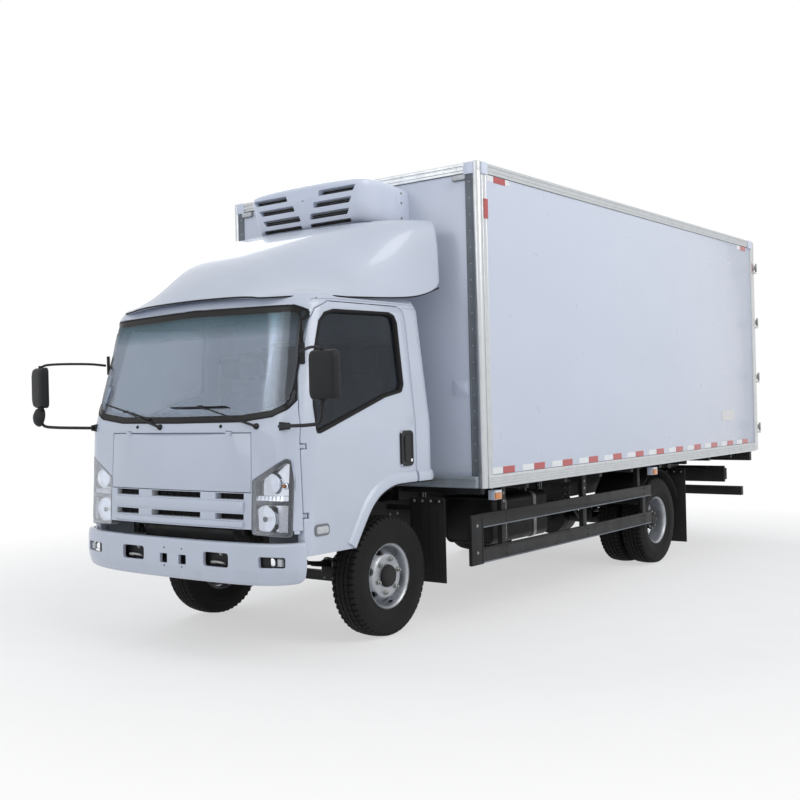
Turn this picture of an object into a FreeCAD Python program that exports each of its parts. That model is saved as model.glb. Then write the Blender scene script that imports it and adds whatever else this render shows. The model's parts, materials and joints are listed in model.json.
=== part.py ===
"""Refrigerated light truck: tilt cab, ladder chassis and insulated box body.

Working frame, in millimetres: X to the vehicle's left, Y towards the rear from the front axle,
Z up from the ground line of the loaded tyres.  The tyres are modelled round, unloaded, so every
piece is exported raised by the difference, and with the origin moved to the ground point under
the middle of the length: the model stands on Z = 0 about the middle of its footprint.
"""
import FreeCAD, Part
import math
import os

os.makedirs("parts", exist_ok=True)
V = FreeCAD.Vector

# ---- driving dimensions ---------------------------------------------------------------------
WHEELBASE = 3815.0
FRONT_OVERHANG = 1100.0          # front axle to the bumper face

TYRE_R = 400.0
TYRE_HEADROOM = 27.0             # top of the tyre below the top of the rails
TYRE_W = 205.0
RIM_R = 219.0                    # outer edge of the rim flange
RIM_SEAT_R = 203.0               # bead seat under the tyre
FRONT_TYRE_X = 795.0             # middle of the front tyre
REAR_TYRE_X = 980.0              # middle of the outer rear tyre
TWIN_SPACING = 236.0             # middle to middle of a rear pair
KINGPIN_X = 700.0

RAIL_X = 425.0                   # outer face of a chassis rail
RAIL_H = 190.0
RAIL_FLANGE = 65.0
RAIL_T = 8.0
RAIL_TOP = 815.0
WHEEL_Z = RAIL_TOP - TYRE_HEADROOM - TYRE_R
RAIL_FRONT = -960.0

BOX_FRONT = 690.0                # front axle to the box's front face
BOX_LENGTH = 5520.0
BOX_WIDTH = 2400.0
BOX_HEIGHT = 2280.0
BOX_BOTTOM = 925.0
BOX_WALL = 80.0
BOX_FLOOR_T = 100.0
BOX_ROOF_T = 80.0
REAR_POST_W = 64.0               # rear frame post, seen from behind
REAR_SILL_H = 120.0
REAR_HEADER_H = 95.0
REAR_DOOR_T = 80.0
REAR_DOOR_GAP = 6.0
HINGE_OUT_X = 8.0                # rear hinge pin outside the box side
HINGE_OUT_Y = 45.0               # rear hinge pin behind the box rear
HINGE_R = 11.0

CAB_HALF_WIDTH = 1000.0
CAB_REAR = 385.0
CAB_BOTTOM = 640.0
CAB_PANEL_BOTTOM = 795.0         # lower edge of the front panel, above the bumper
CAB_BELT = 1400.0
CAB_HEADER = 2160.0
CAB_TOP = 2248.0
CAB_FLOOR_TOP = 1060.0
CAB_FLOOR_T = 40.0
WALL_T = 60.0                    # whole thickness of cab wall and door
GLASS_T = 6.0
TRIM_GAP = 0.7                   # between curved faces that follow each other
DOOR_GAP = 6.0
LID_GAP = 5.5
TILT_Y = -950.0                  # cab tilt axis
TILT_Z = 805.0
TILT_PIN_R = 15.0
PIN_CLEARANCE = 0.3

BUMPER_TOP = 730.0
BUMPER_BOTTOM = 450.0
BUMPER_T = 30.0
BUMPER_HALF_WIDTH = 1022.0

GUARD_X = 1130.0                 # outer face of the side guards
GUARD_FRONT = 612.0
GUARD_REAR = WHEELBASE - 255.0

BOX_REAR = BOX_FRONT + BOX_LENGTH
RAIL_REAR = BOX_REAR - 350.0
BOX_TOP = BOX_BOTTOM + BOX_HEIGHT
HALF_BOX = BOX_WIDTH / 2.0
MIRROR_X = 1330.0                # middle of a mirror
MIRROR_FRONT = -1165.0           # foremost point of the vehicle
REAR_END = BOX_REAR + HINGE_OUT_Y + HINGE_R
MID_Y = (REAR_END + MIRROR_FRONT) / 2.0


# ---- helpers --------------------------------------------------------------------------------
def block(x0, x1, y0, y1, z0, z1):
    """Axis-aligned solid between two corners."""
    return Part.makeBox(x1 - x0, y1 - y0, z1 - z0, V(x0, y0, z0))


def both_sides(shape):
    """The shape and its mirror image, as separate solids."""
    return Part.makeCompound([shape, mirrored(shape)])


def mirrored(shape):
    return shape.mirror(V(0, 0, 0), V(1, 0, 0))


def join(shapes):
    """One clean solid from touching shapes."""
    shapes = list(shapes)
    return shapes[0].multiFuse(shapes[1:]).removeSplitter()


def rod_x(x0, x1, y, z, r):
    return Part.makeCylinder(r, x1 - x0, V(x0, y, z), V(1, 0, 0))


def rod_y(y0, y1, x, z, r):
    return Part.makeCylinder(r, y1 - y0, V(x, y0, z), V(0, 1, 0))


def rod_z(z0, z1, x, y, r):
    return Part.makeCylinder(r, z1 - z0, V(x, y, z0), V(0, 0, 1))


def rod(a, b, r):
    """Round bar from point a to point b."""
    d = b.sub(a)
    return Part.makeCylinder(r, d.Length, a, d)


def pipe_run(points, r):
    """Round bars joined by balls at the bends."""
    pieces = [rod(a, b, r) for a, b in zip(points, points[1:])]
    pieces += [Part.makeSphere(r, p) for p in points[1:-1]]
    return join(pieces)


def face_of(points):
    return Part.Face(Part.makePolygon(points + [points[0]]))


def prism_x(profile, x0, x1):
    """Solid whose side view is the (y, z) profile."""
    return face_of([V(x0, y, z) for y, z in profile]).extrude(V(x1 - x0, 0, 0))


def prism_y(profile, y0, y1):
    """Solid whose front view is the (x, z) profile."""
    return face_of([V(x, y0, z) for x, z in profile]).extrude(V(0, y1 - y0, 0))


def prism_z(profile, z0, z1):
    """Solid whose plan is the (x, y) profile."""
    return face_of([V(x, y, z0) for x, y in profile]).extrude(V(0, 0, z1 - z0))


def offset_profile(profile, d):
    """The closed profile moved outwards by d, with mitred corners; inwards when d is negative."""
    n = len(profile)
    area = sum(profile[i][0] * profile[(i + 1) % n][1] - profile[(i + 1) % n][0] * profile[i][1]
               for i in range(n))
    sign = 1.0 if area > 0 else -1.0
    out = []
    for i in range(n):
        p, q, r = profile[i - 1], profile[i], profile[(i + 1) % n]
        a = unit(q[0] - p[0], q[1] - p[1])
        b = unit(r[0] - q[0], r[1] - q[1])
        na = (a[1] * sign, -a[0] * sign)
        nb = (b[1] * sign, -b[0] * sign)
        k = d / (1.0 + na[0] * nb[0] + na[1] * nb[1])
        out.append((q[0] + (na[0] + nb[0]) * k, q[1] + (na[1] + nb[1]) * k))
    return out


def unit(x, y):
    length = math.hypot(x, y)
    return (x / length, y / length)


def save(node, shape):
    shape = shape.copy()
    shape.translate(V(0, -MID_Y, TYRE_R - WHEEL_Z))
    shape.exportStep("parts/%s.step" % node)
    print("%-22s solids %2d  valid %s  volume %.4f m3" % (
        node, len(shape.Solids), shape.isValid(), shape.Volume / 1e9))


# ---- cab shell ------------------------------------------------------------------------------
# Plan sections of the cab, from the bottom up.  The front is one wide arc that runs into a
# corner arc at each end, and that into the straight side; columns: height, half width, front
# middle, y where the corner arc starts, rear face.
CAB_SECTIONS = [
    (CAB_BOTTOM, CAB_HALF_WIDTH, -1078, -1047, CAB_REAR),
    (CAB_BELT, CAB_HALF_WIDTH, -1048, -1008, CAB_REAR),
    (CAB_HEADER, CAB_HALF_WIDTH - 76, -868, -828, CAB_REAR - 24),
    (CAB_TOP - 30, CAB_HALF_WIDTH - 98, -828, -791, CAB_REAR - 42),
    (CAB_TOP, CAB_HALF_WIDTH - 135, -775, -742, CAB_REAR - 85),
]
FRONT_CORNER_R = 185.0
REAR_CORNER_R = 85.0


def cab_wire(z, half, front, corner_y, rear, inset):
    corner_x = half - 0.92 * FRONT_CORNER_R
    turn = 2.0 * math.atan((corner_y - front) / corner_x)
    bend = (half - corner_x) / (1.0 - math.sin(turn))
    centre_x = corner_x - bend * math.sin(turn)
    centre_y = corner_y + bend * math.cos(turn)
    bend, half, front, rear = bend - inset, half - inset, front + inset, rear - inset
    start = (centre_x + bend * math.sin(turn), centre_y - bend * math.cos(turn))
    middle_angle = (turn - math.pi / 2.0) / 2.0
    middle = (centre_x + bend * math.cos(middle_angle), centre_y + bend * math.sin(middle_angle))
    r = max(REAR_CORNER_R - inset, 25.0)
    k = r * (1.0 - math.sqrt(0.5))
    arc, line = Part.Arc, Part.LineSegment
    edges = [
        line(V(-half + r, rear, z), V(half - r, rear, z)),
        arc(V(half - r, rear, z), V(half - k, rear - k, z), V(half, rear - r, z)),
        line(V(half, rear - r, z), V(half, centre_y, z)),
        arc(V(half, centre_y, z), V(middle[0], middle[1], z), V(start[0], start[1], z)),
        arc(V(start[0], start[1], z), V(0, front, z), V(-start[0], start[1], z)),
        arc(V(-start[0], start[1], z), V(-middle[0], middle[1], z), V(-half, centre_y, z)),
        line(V(-half, centre_y, z), V(-half, rear - r, z)),
        arc(V(-half, rear - r, z), V(-half + k, rear - k, z), V(-half + r, rear, z)),
    ]
    return Part.Wire([e.toShape() for e in edges])


def cab_solid(inset, top_inset):
    """Cab envelope moved inwards by inset, and down from the roof by top_inset."""
    wires = []
    for z, half, front, corner_y, rear in CAB_SECTIONS:
        lowered = top_inset * max(0.0, (z - CAB_BELT) / (CAB_TOP - CAB_BELT)) ** 2
        wires.append(cab_wire(z - lowered, half, front, corner_y, rear, inset))
    return Part.makeLoft(wires, True, True)


FAR = 3000.0
WIDE = 1600.0

# Front wheel arch in side view (y, z), from its top to the sill.
ARCH_LINE = [(49, 1010), (-90, 1003), (-223, 958), (-320, 886), (-399, 787), (-500, 640), (-525, 580)]
# Door aperture in side view (y, z), open below; the wheel arch cuts its lower rear corner.
DOOR_APERTURE = [
    (-940, CAB_BOTTOM - 60), (-938, 1330), (-922, 1500), (-880, 1720), (-770, 2050), (-722, 2126),
    (-610, 2178), (95, 2182), (150, 2150), (170, 2080), (170, CAB_BOTTOM - 60),
]
DOOR_WINDOW = [
    (-822, 1362), (-824, 1535), (-784, 1800), (-700, 2046), (-650, 2096), (-565, 2118),
    (-10, 2126), (42, 2110), (64, 2066), (66, 1655), (40, 1612), (-136, 1580),
]
# Windscreen opening in front view (x, z), right half mirrored.
SCREEN_HALF = [(0, 1436), (560, 1440), (800, 1468), (896, 1510), (930, 1562), (940, 1660),
               (938, 1780), (912, 2050), (896, 2118), (830, 2146), (0, 2162)]
SCREEN_LAP = 62.0                # windscreen bonded over the edge of its opening
REAR_WINDOW = [(-560, 1560), (560, 1560), (560, 1980), (-560, 1980)]
# Front lid in front view (x, z).
LID = [(-646, 1372), (-652, 1110), (-650, 1018), (650, 1018), (652, 1110), (646, 1372)]
# Air slots in the fixed panel under the lid: columns middle x, width; and their heights.
SLOTS = [(-480, 236), (0, 462), (480, 236)]
SLOT_Z = [(848, 885), (971, 1009)]
LID_T = 30.0
HEADLAMP = [(659, 800), (661, 1088), (905, 1222), (946, 1205), (942, 800)]
HEADLAMP_T = 45.0
ARCH = ARCH_LINE + [(FAR, 580), (FAR, ARCH_LINE[0][1])]


def symmetric(half):
    return half + [(-x, z) for x, z in reversed(half) if x > 0]


outer = cab_solid(0, 0)
inner = cab_solid(WALL_T, WALL_T)
arch = both_sides(prism_x(ARCH, 560, WIDE))
shell = outer.cut(inner).cut(arch)
glass_skin = cab_solid(3.0, 3.0).cut(cab_solid(3.0 + GLASS_T, 3.0 + GLASS_T))
screen = prism_y(symmetric(SCREEN_HALF), -FAR, -500)
screen_opening = prism_y(offset_profile(symmetric(SCREEN_HALF), -SCREEN_LAP), -FAR, -500)
screen_seat = outer.cut(cab_solid(3.0 + GLASS_T + TRIM_GAP, 3.0 + GLASS_T + TRIM_GAP)).common(screen)
rear_window = prism_y(REAR_WINDOW, 200, FAR)

# The doors take only the outer side of the shell, so that the front pillars stay whole.
DOOR_DEPTH = 75.0
DOOR_SWING_ROOM = 30.0           # further depth the opened door needs behind its lower front edge
DOOR_AXIS_X = 970.0
DOOR_AXIS_Y = -905.0
DOOR_HINGE_Z = [880.0, 1290.0]
DOOR_HINGE_H = 24.0
DOOR_PIN_R = 4.0
DOOR_EYE_R = 8.0


def door_zone(depth, low_depth):
    side = CAB_HALF_WIDTH - depth
    low_side = CAB_HALF_WIDTH - low_depth
    return prism_y([(low_side, 500), (low_side, CAB_BELT - 60), (side, CAB_BELT - 20),
                    (side - 72, CAB_HEADER), (side - 84, 2200), (WIDE, 2200), (WIDE, 500)], -FAR, FAR)


aperture = both_sides(prism_x(DOOR_APERTURE, 700, WIDE).common(
    door_zone(DOOR_DEPTH, DOOR_DEPTH + DOOR_SWING_ROOM)))
roof_zone = block(-WIDE, WIDE, -FAR, FAR, CAB_HEADER + 10, FAR)
rear_zone = block(-WIDE, WIDE, -150, FAR, 0, CAB_HEADER + 10)
front_zone = block(-WIDE, WIDE, -FAR, -150, 0, CAB_HEADER + 10)
below_panel = block(-WIDE, WIDE, -FAR, -700, 0, CAB_PANEL_BOTTOM)
lid_cut = prism_y(offset_profile(LID, LID_GAP), -FAR, -900)
lamp_cut = both_sides(prism_y(HEADLAMP, -FAR, -955))
lid_layer = outer.cut(cab_solid(LID_T, 0))
lid_room = outer.cut(cab_solid(LID_T + LID_GAP, 0))
lamp_layer = outer.cut(cab_solid(HEADLAMP_T, 0))

body_shell = shell.cut(aperture)
cab_roof = body_shell.common(roof_zone)
cab_back_wall = body_shell.common(rear_zone).cut(rear_window).cut(
    block(-WIDE, WIDE, -FAR, FAR, 0, 1010))
cab_front = body_shell.common(front_zone).cut(screen_opening).cut(screen_seat).cut(below_panel)
cab_front = cab_front.cut(lid_room.common(lid_cut)).cut(lamp_layer.common(lamp_cut))
for slot_x, slot_w in SLOTS:
    for slot_low, slot_high in SLOT_Z:
        cab_front = cab_front.cut(block(slot_x - slot_w / 2, slot_x + slot_w / 2, -FAR, -900, slot_low,
                                        slot_high))
front_lid = lid_layer.common(prism_y(LID, -FAR, -900))
headlamps = lamp_layer.common(lamp_cut)
# The lid hangs on two barrels in the seam under the windscreen.
LID_AXIS_Y = -1040.0
LID_AXIS_Z = 1377.0
BARREL_R = 6.0
# The lid's upper edge is bevelled so that it turns clear of the panel above.
front_lid = front_lid.cut(prism_x([(-1025, 1378), (-1073, 1378), (-1073, 1338)], -WIDE, WIDE))
for side in (1, -1):
    x0, x1 = sorted((side * 450, side * 490))
    cab_front = cab_front.cut(rod_x(x0 - 6, x1 + 6, LID_AXIS_Y, LID_AXIS_Z, BARREL_R + LID_GAP))
    barrel = rod_x(x0, x1, LID_AXIS_Y, LID_AXIS_Z, BARREL_R)
    barrel = barrel.fuse(block(x0, x1, LID_AXIS_Y - 4, LID_AXIS_Y + 12, LID_AXIS_Z - 20, LID_AXIS_Z))
    barrel = barrel.cut(rod_x(x0 - 1, x1 + 1, LID_AXIS_Y, LID_AXIS_Z, 3.0 + PIN_CLEARANCE))
    front_lid = join([front_lid, barrel])
    cab_front = join([cab_front, rod_x(x0 - 8, x1 + 8, LID_AXIS_Y, LID_AXIS_Z, 3.0)])
cab_glass = Part.makeCompound([glass_skin.common(screen).cut(aperture), glass_skin.common(rear_window)])

# ---- doors ----------------------------------------------------------------------------------
door_prism = prism_x(offset_profile(DOOR_APERTURE, -DOOR_GAP), 700, WIDE).common(
    door_zone(DOOR_DEPTH - DOOR_GAP, DOOR_DEPTH - DOOR_GAP))
window_prism = prism_x(DOOR_WINDOW, 700, WIDE)
left_door = shell.common(door_prism).cut(window_prism)
left_glass = cab_solid(20.0, 3.0).cut(cab_solid(20.0 + GLASS_T, 3.0)).common(window_prism)
# Bar handle at the rear of the door: columns y, z.
HANDLE = [(-8, 1120), (118, 1120), (118, 1347), (-8, 1347)]
HANDLE_OUT = 14.0
handle = prism_x(HANDLE, CAB_HALF_WIDTH - 5, CAB_HALF_WIDTH + HANDLE_OUT)
left_door = join([left_door, handle])
# Each door turns on two short pins in eyes that reach back from the front pillar.
for z in DOOR_HINGE_Z:
    low, high = z - DOOR_HINGE_H / 2, z + DOOR_HINGE_H / 2
    x, y = DOOR_AXIS_X, DOOR_AXIS_Y
    left_door = left_door.cut(rod_z(low - DOOR_GAP, high + DOOR_GAP, x, y, DOOR_EYE_R + DOOR_GAP))
    left_door = left_door.cut(block(x - 45, WIDE, -FAR, y, low - DOOR_GAP, high + DOOR_GAP))
    left_door = left_door.cut(block(x, WIDE, y - 1, y + 6, low - DOOR_GAP, high + DOOR_GAP))
    left_door = join([left_door, rod_z(low - DOOR_GAP - 8, high + DOOR_GAP + 8, x, y, DOOR_PIN_R)])
    eye = join([rod_z(low, high, x, y, DOOR_EYE_R),
                prism_z([(x - 6, y + 2), (x + 5, y - 5), (948, -948), (925, -950)], low, high)])
    eye = eye.cut(rod_z(low - 1, high + 1, x, y, DOOR_PIN_R + PIN_CLEARANCE))
    cab_front = join([cab_front, eye, mirrored(eye)])

# ---- cab floor ------------------------------------------------------------------------------
ENGINE_HUMP_X = 330.0
ENGINE_HUMP_TOP = 1240.0
STEP_T = 30.0
room = cab_solid(WALL_T + TRIM_GAP, WALL_T + TRIM_GAP)
floor_plate = room.common(block(-WIDE, WIDE, -FAR, FAR, CAB_FLOOR_TOP - CAB_FLOOR_T, CAB_FLOOR_TOP))
hump = block(-ENGINE_HUMP_X, ENGINE_HUMP_X, -560, CAB_REAR - WALL_T, CAB_FLOOR_TOP - CAB_FLOOR_T,
             ENGINE_HUMP_TOP)
hump_room = block(-ENGINE_HUMP_X + 30, ENGINE_HUMP_X - 30, -530, CAB_REAR - WALL_T - 30, 0,
                  ENGINE_HUMP_TOP - 30)
well = block(640, CAB_HALF_WIDTH - DOOR_DEPTH - 4, -880, -520, CAB_BOTTOM + 5, CAB_FLOOR_TOP)
well_room = block(640 + STEP_T, FAR, -880 + STEP_T, -520 - STEP_T, CAB_BOTTOM + 5 + STEP_T, FAR)
wells = both_sides(well)
wells_room = both_sides(well_room)
cab_floor = join([floor_plate.cut(aperture), hump, *wells.Solids]).cut(hump_room).cut(wells_room)
# Two hinge arms under the front of the floor carry the tilt pin eyes.
ARM_X = (RAIL_X + 11.0, RAIL_X + 55.0)
EYE_R = 34.0
ARM_FRONT = TILT_Y - EYE_R
arm_profile = [(TILT_Y - 25, TILT_Z), (TILT_Y + 25, TILT_Z - 10), (-820, CAB_FLOOR_TOP - CAB_FLOOR_T),
               (TILT_Y + 20, CAB_FLOOR_TOP - CAB_FLOOR_T)]
arms = []
for side in (1, -1):
    x0, x1 = sorted((side * ARM_X[0], side * ARM_X[1]))
    arm = join([prism_x(arm_profile, x0, x1), rod_x(x0, x1, TILT_Y, TILT_Z, EYE_R)])
    arms.append(arm.cut(rod_x(x0 - 1, x1 + 1, TILT_Y, TILT_Z, TILT_PIN_R + PIN_CLEARANCE)))
cab_floor = join([cab_floor] + arms)
cab_floor = cab_floor.cut(lid_room)

save("cab_floor", cab_floor)
save("cab_front", cab_front)
save("cab_back_wall", cab_back_wall)
save("cab_roof", cab_roof)
save("cab_glass", cab_glass)
save("front_lid", front_lid)
save("headlamps", headlamps)
save("left_door", left_door)
save("right_door", mirrored(left_door))
save("left_door_glass", left_glass)
save("right_door_glass", mirrored(left_glass))

# ---- cab fittings ---------------------------------------------------------------------------
DASH_REAR = -640.0
STEERING_X = -420.0              # driver sits on the right
STEERING_R = 205.0
SEAT_TOP = 1430.0
dash_profile = [(-FAR, 1130), (DASH_REAR - 60, 1130), (DASH_REAR, 1190), (DASH_REAR, 1340),
                (DASH_REAR - 70, 1400), (-FAR, 1428)]
dashboard = room.common(prism_x(dash_profile, -WIDE, WIDE))
dashboard = dashboard.cut(both_sides(block(CAB_HALF_WIDTH - DOOR_DEPTH - 15, WIDE, -905, FAR, 0, FAR)))
dashboard = dashboard.cut(lid_room)

wheel_at = V(STEERING_X, -560, 1400)
column_dir = V(0, -0.62, -0.785)
ring = Part.makeTorus(STEERING_R, 15, wheel_at, column_dir)
hub = Part.makeCylinder(60, 40, wheel_at, column_dir)
spokes = []
for angle in (90, 210, 330):
    a = math.radians(angle)
    up = V(0, 0.785, -0.62)
    out = V(1, 0, 0).multiply(math.cos(a)).add(V(up).multiply(math.sin(a)))
    spokes.append(rod(wheel_at.add(V(column_dir).multiply(12)),
                      wheel_at.add(V(out).multiply(STEERING_R)), 11))
column = Part.makeCylinder(32, 190, wheel_at.add(V(column_dir).multiply(30)), column_dir)
steering_wheel = join([ring, hub, column] + spokes).cut(dashboard)

SEAT_BACK_TOP = 1900.0
# Seats: columns middle x, half width.
SEATS = [(-560, 235), (560, 235), (90, 205)]
seat_cushion = [(-300, 1245), (-300, 1390), (-270, 1425), (110, 1400), (110, 1245)]
seat_back = [(60, 1400), (110, 1250), (215, 1250), (240, SEAT_BACK_TOP - 160), (150, SEAT_BACK_TOP - 160)]
head_rest = [(155, SEAT_BACK_TOP - 175), (235, SEAT_BACK_TOP - 175), (235, SEAT_BACK_TOP),
             (150, SEAT_BACK_TOP)]
seat_parts = []
for x, w in SEATS:
    parts = [prism_x(seat_cushion, x - w, x + w), prism_x(seat_back, x - w, x + w),
             prism_x(head_rest, x - 110, x + 110)]
    if abs(x) > 300:
        parts.append(block(x - w + 20, x + w - 20, -260, 100, CAB_FLOOR_TOP, 1250))
    else:
        parts.append(block(x - w + 20, x + w - 20, -260, 100, ENGINE_HUMP_TOP, 1250))
    seat_parts.append(join(parts))
seats = Part.makeCompound(seat_parts)

# ---- roof deflector -------------------------------------------------------------------------
# Sections across the deflector: y, half width at the foot, half width at the crest, foot, crest.
DEFLECTOR_SECTIONS = [
    (-880, 560, 520, 2200, 2235),
    (-700, 880, 700, 2195, 2330),
    (-380, 905, 640, 2200, 2560),
    (60, 940, 690, 2215, 2745),
    (510, 985, 900, 2330, 2830),
]
DEFLECTOR_T = 12.0
NOTCH_HALF = 680.0               # room for the refrigeration unit as the cab tilts
NOTCH_FRONT = 120.0


def deflector_solid(inset):
    wires = []
    for y, foot, crest, z0, z1 in DEFLECTOR_SECTIONS:
        foot, crest, z1 = foot - inset, crest - inset, z1 - inset
        r = min(60.0, (z1 - z0) * 0.3)
        pts = [V(foot, y, z0), V(foot, y, z0 + (z1 - z0) * 0.45), V(crest + r, y, z1 - r),
               V(crest, y, z1)]
        left = [V(-p.x, p.y, p.z) for p in reversed(pts)]
        ring_points = pts + left
        wires.append(Part.makePolygon(ring_points + [ring_points[0]]))
    return Part.makeLoft(wires, True, True)


deflector_outer = deflector_solid(0)
deflector_inner = deflector_solid(DEFLECTOR_T)
roof_deflector = deflector_outer.cut(deflector_inner)
roof_deflector = roof_deflector.cut(cab_solid(0, 0))
roof_deflector = roof_deflector.cut(block(-NOTCH_HALF, NOTCH_HALF, NOTCH_FRONT, FAR, 0, FAR))

# ---- mirrors and wipers ---------------------------------------------------------------------
MIRROR_Y = -1130.0
mirror_head = prism_x([(MIRROR_FRONT, 1565), (-1100, 1560), (-1090, 1838), (-1150, 1845)],
                      MIRROR_X - 97, MIRROR_X + 97)
mirror_arm = pipe_run([V(868, -985, 1412), V(1000, -1080, 1418), V(1290, MIRROR_Y, 1432),
                       V(1318, MIRROR_Y, 1470), V(1318, MIRROR_Y, 1600)], 11)
mirror_stay = pipe_run([V(950, -890, 1838), V(1040, -990, 1850), V(1318, MIRROR_Y, 1850),
                        V(1318, MIRROR_Y, 1800)], 9)
mirror_foot = block(845, 892, -1015, -965, 1388, 1436)
near_mirror = join([mirror_head, mirror_arm, mirror_stay, mirror_foot]).cut(outer)
mirrors = both_sides(near_mirror)

# Wipers: columns pivot x, arm end x and z, blade ends x and z twice; the pivots share a height.
WIPERS = [(-152, -500, 1509, -780, 1566, -262, 1462), (690, 213, 1534, -70, 1534, 424, 1534)]
WIPER_Z = 1413.0
SCREEN_LEAN = 0.233              # the windscreen's rearward slope


def before_screen(x, z, stand_off):
    return V(x, -1046 + 36 * (x / 829.0) ** 2 + SCREEN_LEAN * (z - CAB_BELT) - stand_off, z)


wiper_parts = []
for pivot_x, arm_x, arm_z, x0, z0, x1, z1 in WIPERS:
    pivot = before_screen(pivot_x, WIPER_Z, 20)
    arm_end = before_screen(arm_x, arm_z, 22)
    blade = rod(before_screen(x0, z0, 9), before_screen(x1, z1, 9), 8)
    post = rod(before_screen(pivot_x, WIPER_Z, 34), before_screen(pivot_x, WIPER_Z, -30), 16)
    link = rod(arm_end, before_screen(arm_x, arm_z, 9), 6)
    wiper_parts.append(join([rod(pivot, arm_end, 6), post, blade, link]).cut(outer))
wipers = Part.makeCompound(wiper_parts)

# ---- chassis --------------------------------------------------------------------------------
rail = block(RAIL_X - RAIL_FLANGE, RAIL_X, RAIL_FRONT, RAIL_REAR, RAIL_TOP - RAIL_H, RAIL_TOP)
rail = rail.cut(block(RAIL_X - RAIL_FLANGE - 1, RAIL_X - RAIL_T, RAIL_FRONT - 1, RAIL_REAR + 1,
                      RAIL_TOP - RAIL_H + RAIL_T, RAIL_TOP - RAIL_T))
CROSSMEMBERS = [620.0, 1500.0, 2450.0, 3250.0, 4400.0, 5200.0, RAIL_REAR - 60.0]
members = [rail, mirrored(rail)]
for y in CROSSMEMBERS:
    members.append(block(-RAIL_X + RAIL_T, RAIL_X - RAIL_T, y, y + 50, RAIL_TOP - RAIL_H + 20, RAIL_TOP - 8))
# Front crossmember, its lugs for the cab's tilt pin, and the pin.
members.append(block(-RAIL_X, RAIL_X, RAIL_FRONT, RAIL_FRONT + 60, RAIL_TOP - RAIL_H, RAIL_TOP - 45))
LUG_T = 26.0
for side in (1, -1):
    for x in (ARM_X[0] - 5 - LUG_T, ARM_X[1] + 5):
        a, b = sorted((side * x, side * (x + LUG_T)))
        members.append(prism_x([(TILT_Y - 20, TILT_Z + 20), (TILT_Y - 20, TILT_Z - 20),
                                (RAIL_FRONT, 740), (RAIL_FRONT + 50, 740),
                                (RAIL_FRONT + 50, TILT_Z + 5), (TILT_Y + 20, TILT_Z + 20)], a, b))
    a, b = sorted((side * (ARM_X[0] - 5 - LUG_T), side * (ARM_X[1] + 5 + LUG_T)))
    members.append(rod_x(a, b, TILT_Y, TILT_Z, TILT_PIN_R))
# Hoop that the rear of the cab rests on.
REST_Y = 250.0
rest_leg = block(RAIL_X - RAIL_FLANGE, RAIL_X, REST_Y, REST_Y + 60, RAIL_TOP, CAB_FLOOR_TOP - CAB_FLOOR_T)
members += [rest_leg, mirrored(rest_leg)]
chassis_frame = join(members)
# Holes for a tow coupling in the last crossmember.
TOW_SPAN_X = 83.0
TOW_SPAN_Z = 56.0
TOW_Z = RAIL_TOP - 50.0
TOW_HOLE_R = 5.5
for sx in (0.5, -0.5):
    for sz in (0.5, -0.5):
        chassis_frame = chassis_frame.cut(rod_y(CROSSMEMBERS[-1] - 1, CROSSMEMBERS[-1] + 51, sx * TOW_SPAN_X,
                                                TOW_Z + sz * TOW_SPAN_Z, TOW_HOLE_R))

# Outer line of the bumper in plan (x, y), from the middle to its end beside the door.
BUMPER_LINE = [(0, -FRONT_OVERHANG), (640, -1092), (880, -1060), (985, -1000), (BUMPER_HALF_WIDTH, -950)]
INNER_LINE = [(x - BUMPER_T * (x > 800), y + BUMPER_T * (y < -970)) for x, y in reversed(BUMPER_LINE)]
half_bumper = prism_z(BUMPER_LINE + INNER_LINE, BUMPER_BOTTOM, BUMPER_TOP)
bumper = join([half_bumper, mirrored(half_bumper)])
# Openings in the bumper: columns middle x, middle z, width, height.
BUMPER_HOLES = [(388, 600, 216, 92), (-388, 600, 216, 92), (88, 584, 70, 60), (-88, 584, 70, 60)]
for x, z, w, h in BUMPER_HOLES:
    bumper = bumper.cut(block(x - w / 2, x + w / 2, -1200, -900, z - h / 2, z + h / 2))
LAMP_RECESS = (700, 850, 560, 650)
recess = block(LAMP_RECESS[0], LAMP_RECESS[1], -1200, -1068, LAMP_RECESS[2], LAMP_RECESS[3])
bumper = bumper.cut(both_sides(recess))
bracket = block(300, 360, -1075, RAIL_FRONT + 30, 640, 690)
front_bumper = join([bumper, bracket, mirrored(bracket)]).cut(chassis_frame)
# Four holes for the registration plate, above and below the square openings.
PLATE_SPAN_X = 165.0
PLATE_SPAN_Z = 114.0
PLATE_Z = 593.0
PLATE_HOLE_R = 6.5
for sx in (0.5, -0.5):
    for sz in (0.5, -0.5):
        front_bumper = front_bumper.cut(rod_y(-1200, -900, sx * PLATE_SPAN_X, PLATE_Z + sz * PLATE_SPAN_Z,
                                              PLATE_HOLE_R))

ENGINE_X = 290.0
GEARBOX_REAR = 610.0
engine_block = block(-ENGINE_X, ENGINE_X, -520, 180, 560, 1190)
engine_block = engine_block.cut(block(-ENGINE_X - 1, ENGINE_X + 1, -540, 200, 500, 600).cut(
    block(-200, 200, -540, 200, 500, 600)))
gearbox = block(-150, 150, 180, GEARBOX_REAR, 540, 790)
engine_mount = both_sides(block(ENGINE_X, RAIL_X - RAIL_T, -260, -180, 700, 740))
engine_block = join([engine_block, gearbox] + engine_mount.Solids)

# ---- axles and springs ----------------------------------------------------------------------
SPRING_X = RAIL_X - 35.0
SPRING_W = 60.0
AXLE_BEAM_Z = WHEEL_Z - 38.0
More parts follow.
